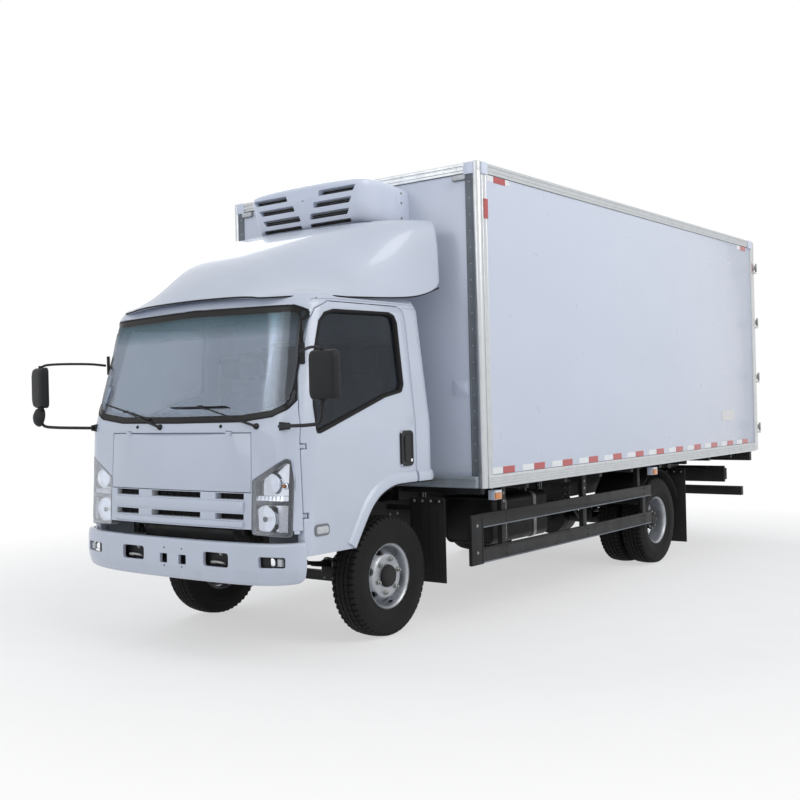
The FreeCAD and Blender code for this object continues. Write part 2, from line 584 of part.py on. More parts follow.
# Springs: columns axle y, half span, height of the axle seat.
SPRINGS = [(0.0, 560.0, WHEEL_Z + 37.0), (WHEELBASE, 640.0, WHEEL_Z + 82.0)]
leaf_parts = []
for y, span, seat in SPRINGS:
    eye = RAIL_TOP - RAIL_H - 60
    top = [(y - span, eye + 12), (y - span * 0.5, seat + 62), (y, seat + 40), (y + span * 0.5, seat + 62),
           (y + span, eye + 12)]
    low = [(y + span, eye - 10), (y + span * 0.5, seat + 24), (y, seat), (y - span * 0.5, seat + 24),
           (y - span, eye - 10)]
    leaf = prism_x(top + low, SPRING_X - SPRING_W / 2, SPRING_X + SPRING_W / 2)
    hangers = [block(SPRING_X - SPRING_W / 2, SPRING_X + SPRING_W / 2, y + s * span - 30, y + s * span + 30,
                     eye - 22, RAIL_TOP - RAIL_H) for s in (1, -1)]
    leaf_parts.append(join([leaf] + hangers))
leaf_springs = Part.makeCompound(leaf_parts + [mirrored(s) for s in leaf_parts])

KINGPIN_R = 18.0
FORK_TOP = WHEEL_Z + 85
FORK_BOTTOM = WHEEL_Z - 85
EYE_OUT = 34.0
front_axle = join([
    block(-KINGPIN_X + 60, KINGPIN_X - 60, -38, 38, AXLE_BEAM_Z - 30, AXLE_BEAM_Z + 30),
    block(-SPRING_X - 50, -SPRING_X + 50, -70, 70, AXLE_BEAM_Z, SPRINGS[0][2]),
    block(SPRING_X - 50, SPRING_X + 50, -70, 70, AXLE_BEAM_Z, SPRINGS[0][2]),
    rod_z(WHEEL_Z - 42, WHEEL_Z + 42, KINGPIN_X, 0, EYE_OUT),
    rod_z(WHEEL_Z - 42, WHEEL_Z + 42, -KINGPIN_X, 0, EYE_OUT),
    block(KINGPIN_X - 70, KINGPIN_X, -32, 32, WHEEL_Z - 42, WHEEL_Z + 20),
    block(-KINGPIN_X, -KINGPIN_X + 70, -32, 32, WHEEL_Z - 42, WHEEL_Z + 20),
    rod_z(FORK_BOTTOM + 4, FORK_TOP - 4, KINGPIN_X, 0, KINGPIN_R),
    rod_z(FORK_BOTTOM + 4, FORK_TOP - 4, -KINGPIN_X, 0, KINGPIN_R),
])

SPINDLE_R = 30.0
KNUCKLE_CLEAR = 5.0
HUB_BACK_X = FRONT_TYRE_X - 60
knuckle = join([
    rod_z(WHEEL_Z + 42 + KNUCKLE_CLEAR, FORK_TOP, KINGPIN_X, 0, EYE_OUT),
    rod_z(FORK_BOTTOM, WHEEL_Z - 42 - KNUCKLE_CLEAR, KINGPIN_X, 0, EYE_OUT),
    block(KINGPIN_X + EYE_OUT + KNUCKLE_CLEAR, HUB_BACK_X + 18, -32, 32, FORK_BOTTOM, FORK_TOP),
    block(KINGPIN_X, KINGPIN_X + EYE_OUT + 12, -32, 32, FORK_TOP - 38, FORK_TOP),
    block(KINGPIN_X, KINGPIN_X + EYE_OUT + 12, -32, 32, FORK_BOTTOM, FORK_BOTTOM + 38),
    rod_x(HUB_BACK_X, FRONT_TYRE_X + 70, 0, WHEEL_Z, SPINDLE_R),
]).cut(rod_z(FORK_BOTTOM - 1, FORK_TOP + 1, KINGPIN_X, 0, KINGPIN_R + PIN_CLEARANCE))
left_knuckle = knuckle

DIFF_R = 165.0
rear_axle = join([
    rod_x(-REAR_TYRE_X - 40, REAR_TYRE_X + 40, WHEELBASE, WHEEL_Z, 38),
    rod_x(-620, 620, WHEELBASE, WHEEL_Z, 55),
    rod_y(WHEELBASE - 130, WHEELBASE + 120, 0, WHEEL_Z, DIFF_R),
    rod_y(WHEELBASE + 120, WHEELBASE + 160, 0, WHEEL_Z, DIFF_R - 50),
    rod_y(WHEELBASE - 330, WHEELBASE, 0, WHEEL_Z + 20, 60),
    block(SPRING_X - 50, SPRING_X + 50, WHEELBASE - 80, WHEELBASE + 80, WHEEL_Z, SPRINGS[1][2]),
    block(-SPRING_X - 50, -SPRING_X + 50, WHEELBASE - 80, WHEELBASE + 80, WHEEL_Z, SPRINGS[1][2]),
])
SHAFT_R = 42.0
propshaft = rod(V(0, GEARBOX_REAR - 5, 595), V(0, WHEELBASE - 325, WHEEL_Z + 20), SHAFT_R)
propshaft = propshaft.cut(engine_block).cut(rear_axle)

# ---- wheels ---------------------------------------------------------------------------------
RIM_HALF = 82.0
RIM_WALL = 9.0
DISC_T = 12.0
BELL_R = 105.0


def ring_of(r_out, r_in, x0, x1, y):
    return rod_x(x0, x1, y, WHEEL_Z, r_out).cut(rod_x(x0 - 1, x1 + 1, y, WHEEL_Z, r_in))


def tyre(x, y):
    """Tyre section turned about the wheel's axle."""
    w = TYRE_W / 2.0
    seat = RIM_HALF - 12
    section = [(x - seat, RIM_SEAT_R), (x - seat, RIM_R), (x - RIM_HALF, RIM_R),
               (x - w, RIM_R + 55), (x - w, TYRE_R - 60),
               (x - w + 22, TYRE_R - 12), (x - w + 45, TYRE_R), (x + w - 45, TYRE_R),
               (x + w - 22, TYRE_R - 12), (x + w, TYRE_R - 60), (x + w, RIM_R + 55),
               (x + RIM_HALF, RIM_R), (x + seat, RIM_R), (x + seat, RIM_SEAT_R)]
    points = [V(px, y, WHEEL_Z + r) for px, r in section]
    return face_of(points).revolve(V(0, y, WHEEL_Z), V(1, 0, 0), 360)


def rim(x, y, disc_x):
    """Rim barrel with its disc, bell and hub at disc_x."""
    seat = RIM_HALF - 12
    parts = [
        ring_of(RIM_SEAT_R, RIM_SEAT_R - RIM_WALL, x - RIM_HALF, x + RIM_HALF, y),
        ring_of(RIM_R, RIM_SEAT_R - RIM_WALL, x - RIM_HALF, x - seat, y),
        ring_of(RIM_R, RIM_SEAT_R - RIM_WALL, x + seat, x + RIM_HALF, y),
        rod_x(disc_x - DISC_T / 2, disc_x + DISC_T / 2, y, WHEEL_Z, RIM_SEAT_R - RIM_WALL + 1),
    ]
    disc = join(parts)
    for i in range(6):
        a = math.radians(60 * i + 30)
        disc = disc.cut(rod_x(disc_x - 50, disc_x + 50, y + 148 * math.cos(a),
                              WHEEL_Z + 148 * math.sin(a), 23))
    return disc


FRONT_DISC_X = FRONT_TYRE_X + 52
front_rim = rim(FRONT_TYRE_X, 0, FRONT_DISC_X)
front_hub = rod_x(HUB_BACK_X + 23, FRONT_TYRE_X + 92, 0, WHEEL_Z, 75)
front_rim = join([front_rim, front_hub])
front_rim = front_rim.cut(rod_x(HUB_BACK_X, FRONT_TYRE_X + 70 + 5, 0, WHEEL_Z, SPINDLE_R + PIN_CLEARANCE))
front_tyre = tyre(FRONT_TYRE_X, 0)

inner_x = REAR_TYRE_X - TWIN_SPACING
twin_mid = (REAR_TYRE_X + inner_x) / 2.0
rear_rim_out = rim(REAR_TYRE_X, WHEELBASE, twin_mid + DISC_T / 2)
rear_rim_in = rim(inner_x, WHEELBASE, twin_mid - DISC_T / 2)
bridge_out = ring_of(RIM_SEAT_R, RIM_SEAT_R - RIM_WALL, twin_mid, REAR_TYRE_X - RIM_HALF, WHEELBASE)
bridge_in = ring_of(RIM_SEAT_R, RIM_SEAT_R - RIM_WALL, inner_x + RIM_HALF, twin_mid, WHEELBASE)
rear_hub = rod_x(twin_mid - 70, REAR_TYRE_X + 62, WHEELBASE, WHEEL_Z, 82)
rear_rims = join([rear_rim_out, rear_rim_in, bridge_out, bridge_in, rear_hub])
rear_rims = rear_rims.cut(rod_x(twin_mid - 200, REAR_TYRE_X + 45, WHEELBASE, WHEEL_Z, 38 + PIN_CLEARANCE))
rear_tyres = Part.makeCompound([tyre(REAR_TYRE_X, WHEELBASE), tyre(inner_x, WHEELBASE)])

# ---- chassis equipment ----------------------------------------------------------------------
TANK_FRONT = 1280.0
TANK_LENGTH = 820.0
tank = block(RAIL_X + 15, RAIL_X + 455, TANK_FRONT, TANK_FRONT + TANK_LENGTH, 440, 800)
tank = tank.makeFillet(55, [e for e in tank.Edges if abs(e.tangentAt(0).y) > 0.9])
tank_hanger = [block(RAIL_X, RAIL_X + 20, y, y + 45, 650, 790) for y in (TANK_FRONT + 150, TANK_FRONT + 600)]
fuel_tank = join([tank] + tank_hanger)

battery_box = join([block(-RAIL_X - 420, -RAIL_X - 30, 1300, 1800, 480, 760),
                    block(-RAIL_X - 40, -RAIL_X, 1380, 1430, 640, 740),
                    block(-RAIL_X - 40, -RAIL_X, 1660, 1710, 640, 740)])

MUFFLER_Z = 525.0
MUFFLER_R = 88.0
exhaust = join([rod_y(950, 1750, 230, MUFFLER_Z, MUFFLER_R), rod_y(1750, 2600, 230, MUFFLER_Z, 32),
                block(215, 245, CROSSMEMBERS[1] + 5, CROSSMEMBERS[1] + 45, MUFFLER_Z,
                      RAIL_TOP - RAIL_H + 20)])

GUARD_T = 26.0
# Side guard rails: columns bottom, top.
GUARD_RAILS = [(392, 497), (640, 738)]
POSTS = [1050.0, 2300.0, GUARD_REAR - 180.0]
guard = [block(GUARD_X - GUARD_T, GUARD_X, GUARD_FRONT, GUARD_REAR, z0, z1) for z0, z1 in GUARD_RAILS]
guard.append(block(GUARD_X - GUARD_T, GUARD_X, GUARD_FRONT, GUARD_FRONT + 150, 385, 738))
for y in POSTS:
    if y + 90 < WHEELBASE - TYRE_R - 20:
        guard.append(block(GUARD_X - GUARD_T - 40, GUARD_X - GUARD_T, y, y + 60, 392, BOX_BOTTOM))
    else:
        guard.append(block(GUARD_X - GUARD_T, GUARD_X, y, y + 60, 392, 738))
guard.append(block(GUARD_X - GUARD_T - 40, GUARD_X - GUARD_T, GUARD_REAR - 220, GUARD_REAR - 175, 640,
                   BOX_BOTTOM))
side_guards = both_sides(join(guard))

flap_y = TYRE_R + 160
flap_front = join([block(640, 945, flap_y, flap_y + 8, 260, 860),
                   block(RAIL_X, 700, flap_y + 8, flap_y + 40, 760, 800)])
REAR_GUARD_R = TYRE_R + 70
rear_arch = ring_of(REAR_GUARD_R, REAR_GUARD_R - 6, REAR_TYRE_X - TWIN_SPACING - 110, REAR_TYRE_X + 105,
                    WHEELBASE)
keep = block(0, 1200, WHEELBASE - REAR_GUARD_R - 1, WHEELBASE + REAR_GUARD_R + 1, WHEEL_Z + 180, 1200)
rear_arch = rear_arch.common(keep)
hanger_x = REAR_TYRE_X - TWIN_SPACING / 2.0
rear_arch = join([rear_arch, block(hanger_x - 20, hanger_x + 20, WHEELBASE - 20, WHEELBASE + 20,
                                   WHEEL_Z + REAR_GUARD_R - 4, BOX_BOTTOM)])
flap_y = WHEELBASE + TYRE_R + 240
flap_rear = join([block(REAR_TYRE_X - TWIN_SPACING - 110, REAR_TYRE_X + 105, flap_y, flap_y + 8, 110, 830),
                  block(RAIL_X, REAR_TYRE_X - 200, flap_y + 8, flap_y + 40, 780, 815)])
mudguards = [flap_front, mirrored(flap_front), rear_arch, mirrored(rear_arch), flap_rear,
             mirrored(flap_rear)]

UNDERRUN_Y = RAIL_REAR + 5.0
UNDERRUN_HALF = 1125.0
LAMP_BAR_HALF = 940.0
LAMP_BAR_LOW = 592.0
LAMP_BAR_TOP = 766.0
REAR_LAMP_LENGTH = 260.0
rear_lamp = block(LAMP_BAR_HALF - REAR_LAMP_LENGTH, LAMP_BAR_HALF, UNDERRUN_Y + 30, UNDERRUN_Y + 75,
                  LAMP_BAR_LOW + 30, LAMP_BAR_TOP - 30)
underrun_post = block(RAIL_X - RAIL_FLANGE, RAIL_X, RAIL_REAR, UNDERRUN_Y + 60, 500, RAIL_TOP - 60)
underrun = join([
    block(-UNDERRUN_HALF, UNDERRUN_HALF, UNDERRUN_Y, UNDERRUN_Y + 60, 453, 548),
    block(-LAMP_BAR_HALF, LAMP_BAR_HALF, UNDERRUN_Y, UNDERRUN_Y + 30, LAMP_BAR_LOW, LAMP_BAR_TOP),
    underrun_post, mirrored(underrun_post), rear_lamp, mirrored(rear_lamp),
])

# ---- box body -------------------------------------------------------------------------------
inner_x_box = HALF_BOX - BOX_WALL
floor_top = BOX_BOTTOM + BOX_FLOOR_T
roof_under = BOX_TOP - BOX_ROOF_T
REAR_FRAME_T = REAR_DOOR_T + 40.0
frame_front = BOX_REAR - REAR_FRAME_T
sill = block(RAIL_X - 75, RAIL_X, BOX_FRONT + 20, BOX_REAR - 60, RAIL_TOP, BOX_BOTTOM)
BEARER_PITCH = 600.0
bearers = [block(-HALF_BOX + 70, HALF_BOX - 70, BOX_FRONT + 60 + i * BEARER_PITCH,
                 BOX_FRONT + 110 + i * BEARER_PITCH, BOX_BOTTOM - 50, BOX_BOTTOM)
           for i in range(int((BOX_LENGTH - 200) / BEARER_PITCH) + 1)]
bearers.append(block(-HALF_BOX + 60, HALF_BOX - 60, BOX_REAR - 110, BOX_REAR - 50, RAIL_TOP, BOX_BOTTOM))
box_floor = join([block(-inner_x_box, inner_x_box, BOX_FRONT + BOX_WALL, frame_front, BOX_BOTTOM, floor_top),
                  sill, mirrored(sill)] + bearers)
left_wall = block(inner_x_box, HALF_BOX, BOX_FRONT + BOX_WALL, frame_front, BOX_BOTTOM, roof_under)
box_front_wall = block(-HALF_BOX, HALF_BOX, BOX_FRONT, BOX_FRONT + BOX_WALL, BOX_BOTTOM, roof_under)
box_roof = block(-HALF_BOX, HALF_BOX, BOX_FRONT, frame_front, roof_under, BOX_TOP)
opening_x = HALF_BOX - REAR_POST_W
opening_bottom = BOX_BOTTOM + REAR_SILL_H
opening_top = BOX_TOP - REAR_HEADER_H
rear_frame = block(-HALF_BOX, HALF_BOX, frame_front, BOX_REAR, BOX_BOTTOM, BOX_TOP).cut(
    block(-opening_x, opening_x, frame_front - 1, BOX_REAR + 1, opening_bottom, opening_top))
stop = block(-opening_x, opening_x, frame_front, BOX_REAR - REAR_DOOR_T - REAR_DOOR_GAP, opening_bottom,
             opening_top).cut(block(-inner_x_box, inner_x_box, frame_front - 1, BOX_REAR, floor_top,
                                    roof_under))
PIN_X = HALF_BOX + HINGE_OUT_X
PIN_Y = BOX_REAR + HINGE_OUT_Y
HINGE_Z = [1180.0, 1730.0, 2330.0, 2930.0]
HINGE_H = 90.0
lugs = []
for z in HINGE_Z:
    lug = block(PIN_X - 28, PIN_X, BOX_REAR - 40, PIN_Y + 6, z - HINGE_H / 2 - 22, z - HINGE_H / 2 - 0.3)
    lug = lug.cut(block(HALF_BOX, FAR, 0, BOX_REAR, 0, FAR))
    eye = rod_z(z - HINGE_H / 2 - 22, z - HINGE_H / 2 - 0.3, PIN_X, PIN_Y, HINGE_R)
    pin = rod_z(z - HINGE_H / 2 - 22, z + HINGE_H / 2 - 4, PIN_X, PIN_Y, 5)
    lugs.append(join([lug, eye, pin]))
rear_frame = join([rear_frame, stop] + lugs + [mirrored(s) for s in lugs])

door_back = BOX_REAR - 4.0
door_front = door_back - REAR_DOOR_T
door_x1 = opening_x - REAR_DOOR_GAP
door_parts = [block(REAR_DOOR_GAP / 2.0, door_x1, door_front, door_back, opening_bottom + REAR_DOOR_GAP,
                    opening_top - REAR_DOOR_GAP)]
for z in HINGE_Z:
    strap = join([block(door_x1 - 190, door_x1 - 8, door_back, door_back + 12, z - 26, z + 26),
                  prism_z([(door_x1 - 20, door_back), (door_x1 - 20, door_back + 12), (PIN_X - 6, PIN_Y + 11),
                           (PIN_X, PIN_Y + 11), (PIN_X, PIN_Y), (PIN_X - 12, PIN_Y - 6),
                           (door_x1 - 4, door_back)], z - 26, z + 26),
                  rod_z(z - HINGE_H / 2, z + HINGE_H / 2, PIN_X, PIN_Y, HINGE_R)])
    strap = strap.cut(rod_z(z - 60, z + 60, PIN_X, PIN_Y, 5 + PIN_CLEARANCE))
    door_parts.append(strap)
BAR_X = [220.0, 880.0]
BAR_R = 13.0
BAR_Y = door_back + 26.0
for x in BAR_X:
    door_parts.append(rod_z(opening_bottom + 20, opening_top - 20, x, BAR_Y, BAR_R))
    for z in (1120, 1500, 2100, 2700, 3050):
        door_parts.append(block(x - 30, x + 30, door_back, BAR_Y + 8, z - 22, z + 22))
left_rear_door = join(door_parts)

UNIT_FRONT = 205.0
UNIT_BOTTOM = 2800.0
UNIT_TOP = 3150.0
unit_plan = [(-600, BOX_FRONT), (-590, 330), (-540, 225), (-440, UNIT_FRONT), (440, UNIT_FRONT),
             (540, 225), (590, 330), (600, BOX_FRONT)]
refrigeration_unit = prism_z(unit_plan, UNIT_BOTTOM, UNIT_TOP)
slope = prism_x([(0, UNIT_TOP - 60), (UNIT_FRONT, UNIT_TOP - 60), (UNIT_FRONT + 130, UNIT_TOP),
                 (480, UNIT_TOP + 1), (480, UNIT_TOP + 60), (0, UNIT_TOP + 60)], -700, 700)
refrigeration_unit = refrigeration_unit.cut(slope)
evaporator = prism_x([(BOX_FRONT + BOX_WALL, roof_under), (BOX_FRONT + BOX_WALL, roof_under - 210),
                      (BOX_FRONT + BOX_WALL + 420, roof_under - 210),
                      (BOX_FRONT + BOX_WALL + 520, roof_under - 80),
                      (BOX_FRONT + BOX_WALL + 520, roof_under)], -620, 620)

mudguards = Part.makeCompound([guard.cut(box_floor).cut(side_guards) for guard in mudguards])

save("dashboard", dashboard)
save("steering_wheel", steering_wheel)
save("seats", seats)
save("roof_deflector", roof_deflector)
save("mirrors", mirrors)
save("wipers", wipers)
save("chassis_frame", chassis_frame)
save("front_bumper", front_bumper)
save("engine_block", engine_block)
save("leaf_springs", leaf_springs)
save("front_axle", front_axle)
save("left_knuckle", left_knuckle)
save("right_knuckle", mirrored(left_knuckle))
save("rear_axle", rear_axle)
save("propshaft", propshaft)
save("left_front_rim", front_rim)
save("left_front_tyre", front_tyre)
save("right_front_rim", mirrored(front_rim))
save("right_front_tyre", mirrored(front_tyre))
save("left_rear_rims", rear_rims)
save("left_rear_tyres", rear_tyres)
save("right_rear_rims", mirrored(rear_rims))
save("right_rear_tyres", mirrored(rear_tyres))
save("fuel_tank", fuel_tank)
save("battery_box", battery_box)
save("exhaust", exhaust)
save("side_guards", side_guards)
save("mudguards", mudguards)
save("underrun_bar", underrun)
save("box_floor", box_floor)
save("box_left_wall", left_wall)
save("box_right_wall", mirrored(left_wall))
save("box_front_wall", box_front_wall)
save("box_roof", box_roof)
save("box_rear_frame", rear_frame)
save("left_rear_door", left_rear_door)
save("right_rear_door", mirrored(left_rear_door))
save("refrigeration_unit", refrigeration_unit)
save("evaporator", evaporator)
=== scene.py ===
"""Looks of a refrigerated light truck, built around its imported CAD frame.

All lengths are metres.  X points to the truck's left and Y to its rear.  Places along the truck
are counted from the front axle, and heights from the ground line of its loaded tyres.
"""

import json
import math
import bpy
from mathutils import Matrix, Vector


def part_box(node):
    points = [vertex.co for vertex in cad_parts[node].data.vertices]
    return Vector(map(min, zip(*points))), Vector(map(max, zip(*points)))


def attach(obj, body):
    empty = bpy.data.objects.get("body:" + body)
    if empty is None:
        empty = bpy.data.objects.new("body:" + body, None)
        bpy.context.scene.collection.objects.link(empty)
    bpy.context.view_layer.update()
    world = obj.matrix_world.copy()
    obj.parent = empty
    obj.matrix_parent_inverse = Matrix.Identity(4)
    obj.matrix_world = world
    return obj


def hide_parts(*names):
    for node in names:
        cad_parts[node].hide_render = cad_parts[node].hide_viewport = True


bl_info = {"name": "Refrigerated Light Truck", "version": (1, 0, 0), "blender": (4, 5, 0),
           "location": "View3D > Sidebar > Truck",
           "description": "Builds the finished surfaces and fittings of a refrigerated light truck",
           "category": "Object", }

import bmesh
import bpy
from bpy.props import FloatProperty, FloatVectorProperty, IntProperty, PointerProperty
from mathutils import Matrix, Vector, noise
from mathutils.bvhtree import BVHTree

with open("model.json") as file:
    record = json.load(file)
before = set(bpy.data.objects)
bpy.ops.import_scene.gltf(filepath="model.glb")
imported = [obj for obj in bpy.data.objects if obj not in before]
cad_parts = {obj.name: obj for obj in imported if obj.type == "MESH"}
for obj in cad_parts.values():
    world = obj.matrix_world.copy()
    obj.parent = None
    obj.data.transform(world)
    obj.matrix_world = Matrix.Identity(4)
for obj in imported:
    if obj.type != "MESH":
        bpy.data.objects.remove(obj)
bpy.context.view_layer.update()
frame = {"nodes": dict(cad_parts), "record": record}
BODY_OF = {node: body for body, nodes in frame["record"]["behaviour"]["bodies"].items()
           for node in nodes}


def middle(node):
    low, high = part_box(node)
    return (Vector(low) + Vector(high)) / 2.0


WHEEL = middle("left_front_tyre")
TYRE_LOW, TYRE_HIGH = (Vector(corner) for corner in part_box("left_front_tyre"))
TYRE_RADIUS = (TYRE_HIGH.z - TYRE_LOW.z) / 2.0
SINK = 0.012                     # how far a loaded tyre gives
AXLE_Y = WHEEL.y
WHEELBASE = middle("left_rear_tyres").y - AXLE_Y
BOX_LOW, BOX_HIGH = (Vector(corner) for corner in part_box("box_roof"))
WALL_LOW = Vector(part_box("box_left_wall")[0])
DOOR_LOW, DOOR_HIGH = (Vector(corner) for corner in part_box("left_rear_door"))


SIDES = ((1, "left"), (-1, "right"))
CAB_FLOOR, CAB_SHELF = 1.0602, 1.2402    # tops of the cab floor and of its raised middle
JOIN = 0.00002                   # points closer than this are one
STRAIGHT = math.radians(175)     # corners flatter than this stay as they are
ROUNDED_FROM = math.radians(30)  # edges bent more than this get a bevel


def at(x, y, z):
    """A point given from the front axle and the loaded ground line, in the row frame."""
    return Vector((x, AXLE_Y + y, z + SINK))


# ---- sizes and colours a user may change ------------------------------------------------------
def length(text, default, low=0.0, high=1.0):
    return FloatProperty(name=text, description=text + ", in metres", default=default, min=low,
                         max=high, unit="LENGTH", precision=4)


def colour(text, default):
    return FloatVectorProperty(name=text, description=text, default=default, size=3, min=0.0,
                               max=1.0, subtype="COLOR")


class TruckColours(bpy.types.PropertyGroup):
    # the cab's white paint is set darker than the body's white: painted shade
    cab: colour("Cab enamel", (0.545, 0.595, 0.7))
    body: colour("Insulated body gel coat", (0.61, 0.66, 0.775))
    chassis: colour("Chassis paint", (0.01, 0.0105, 0.012))
    plastic: colour("Black grained plastic", (0.013, 0.0135, 0.015))
    rubber: colour("Tyre rubber", (0.0105, 0.0105, 0.011))
    wheel: colour("Wheel silver", (0.42, 0.44, 0.47))
    trim: colour("Aluminium extrusions", (0.62, 0.64, 0.66))
    interior: colour("Cab interior", (0.52, 0.53, 0.55))
    seat: colour("Seat cloth", (0.085, 0.09, 0.105))
    glass: colour("Window tint", (0.9, 0.93, 0.97))
    band: colour("Sun band of the windscreen", (0.1, 0.29, 0.32))
    red: colour("Red reflectors and rear lamps", (0.62, 0.02, 0.025))
    amber: colour("Amber lamps", (0.85, 0.26, 0.02))


class TruckSizes(bpy.types.PropertyGroup):
    edge: length("Rounding of panel edges", 0.003)
    tread_depth: length("Tread groove depth", 0.011)
    tread_blocks: IntProperty(name="Tread blocks", description="Tread blocks round a tyre",
                              default=56, min=24, max=90)
    rivet_pitch: length("Pitch of the rivets along the body's rails", 0.115)
    rivet_radius: length("Radius of a rivet head", 0.0045)
    reflectors: IntProperty(name="Reflectors", description="Red reflectors along each side",
                            default=12, min=2, max=30)
    reflector_length: length("Length of one reflector", 0.155)
    rubber_width: length("Width of the window rubbers", 0.022)
    key_strength: FloatProperty(name="Key light", description="Strength of the main light",
                                default=1.75, min=0.0, max=20.0)
    sky_strength: FloatProperty(name="Sky light", description="Strength of the light all round",
                                default=0.62, min=0.0, max=5.0)


def sizes():
    return bpy.context.scene.truck_sizes


def colours():
    return bpy.context.scene.truck_colours


# ---- mesh making ------------------------------------------------------------------------------
def rounded(outline, radius, steps=4):
    """The closed outline of 2-D points with its corners turned into arcs."""
    result = []
    count = len(outline)
    for i in range(count):
        before, corner, after = (Vector(outline[(i + k) % count]) for k in (-1, 0, 1))
        to_before, to_after = before - corner, after - corner
        angle = to_before.angle(to_after)
        if angle > STRAIGHT:
            result.append(tuple(corner))
            continue
        reach = min(radius / math.tan(angle / 2.0), to_before.length * 0.48, to_after.length * 0.48)
        start = corner + to_before.normalized() * reach
        end = corner + to_after.normalized() * reach
        for k in range(steps + 1):
            t = k / steps
            bend = start * (1 - t) ** 2 + corner * 2 * t * (1 - t) + end * t ** 2
            result.append(tuple(bend))
    return result


def rectangle(width, height, radius=0.0, steps=4):
    w, h = width / 2.0, height / 2.0
    corners = [(-w, -h), (w, -h), (w, h), (-w, h)]
    return rounded(corners, radius, steps) if radius else corners


def circle(radius, steps=24, squash=1.0):
    return [(radius * math.cos(math.tau * k / steps),
             radius * squash * math.sin(math.tau * k / steps)) for k in range(steps)]


def smooth_path(points, steps=6):
    """A smooth line through the given points (Catmull-Rom)."""
    pts = [Vector(p) for p in points]
    pts = [pts[0] * 2 - pts[1]] + pts + [pts[-1] * 2 - pts[-2]]
    path = []
    for i in range(1, len(pts) - 2):
        a, b, c, d = pts[i - 1:i + 3]
        for k in range(steps):
            t = k / steps
            path.append(0.5 * (2 * b + (c - a) * t + (2 * a - 5 * b + 4 * c - d) * t * t
                               + (3 * b - a - 3 * c + d) * t ** 3))
    return path + [pts[-2]]


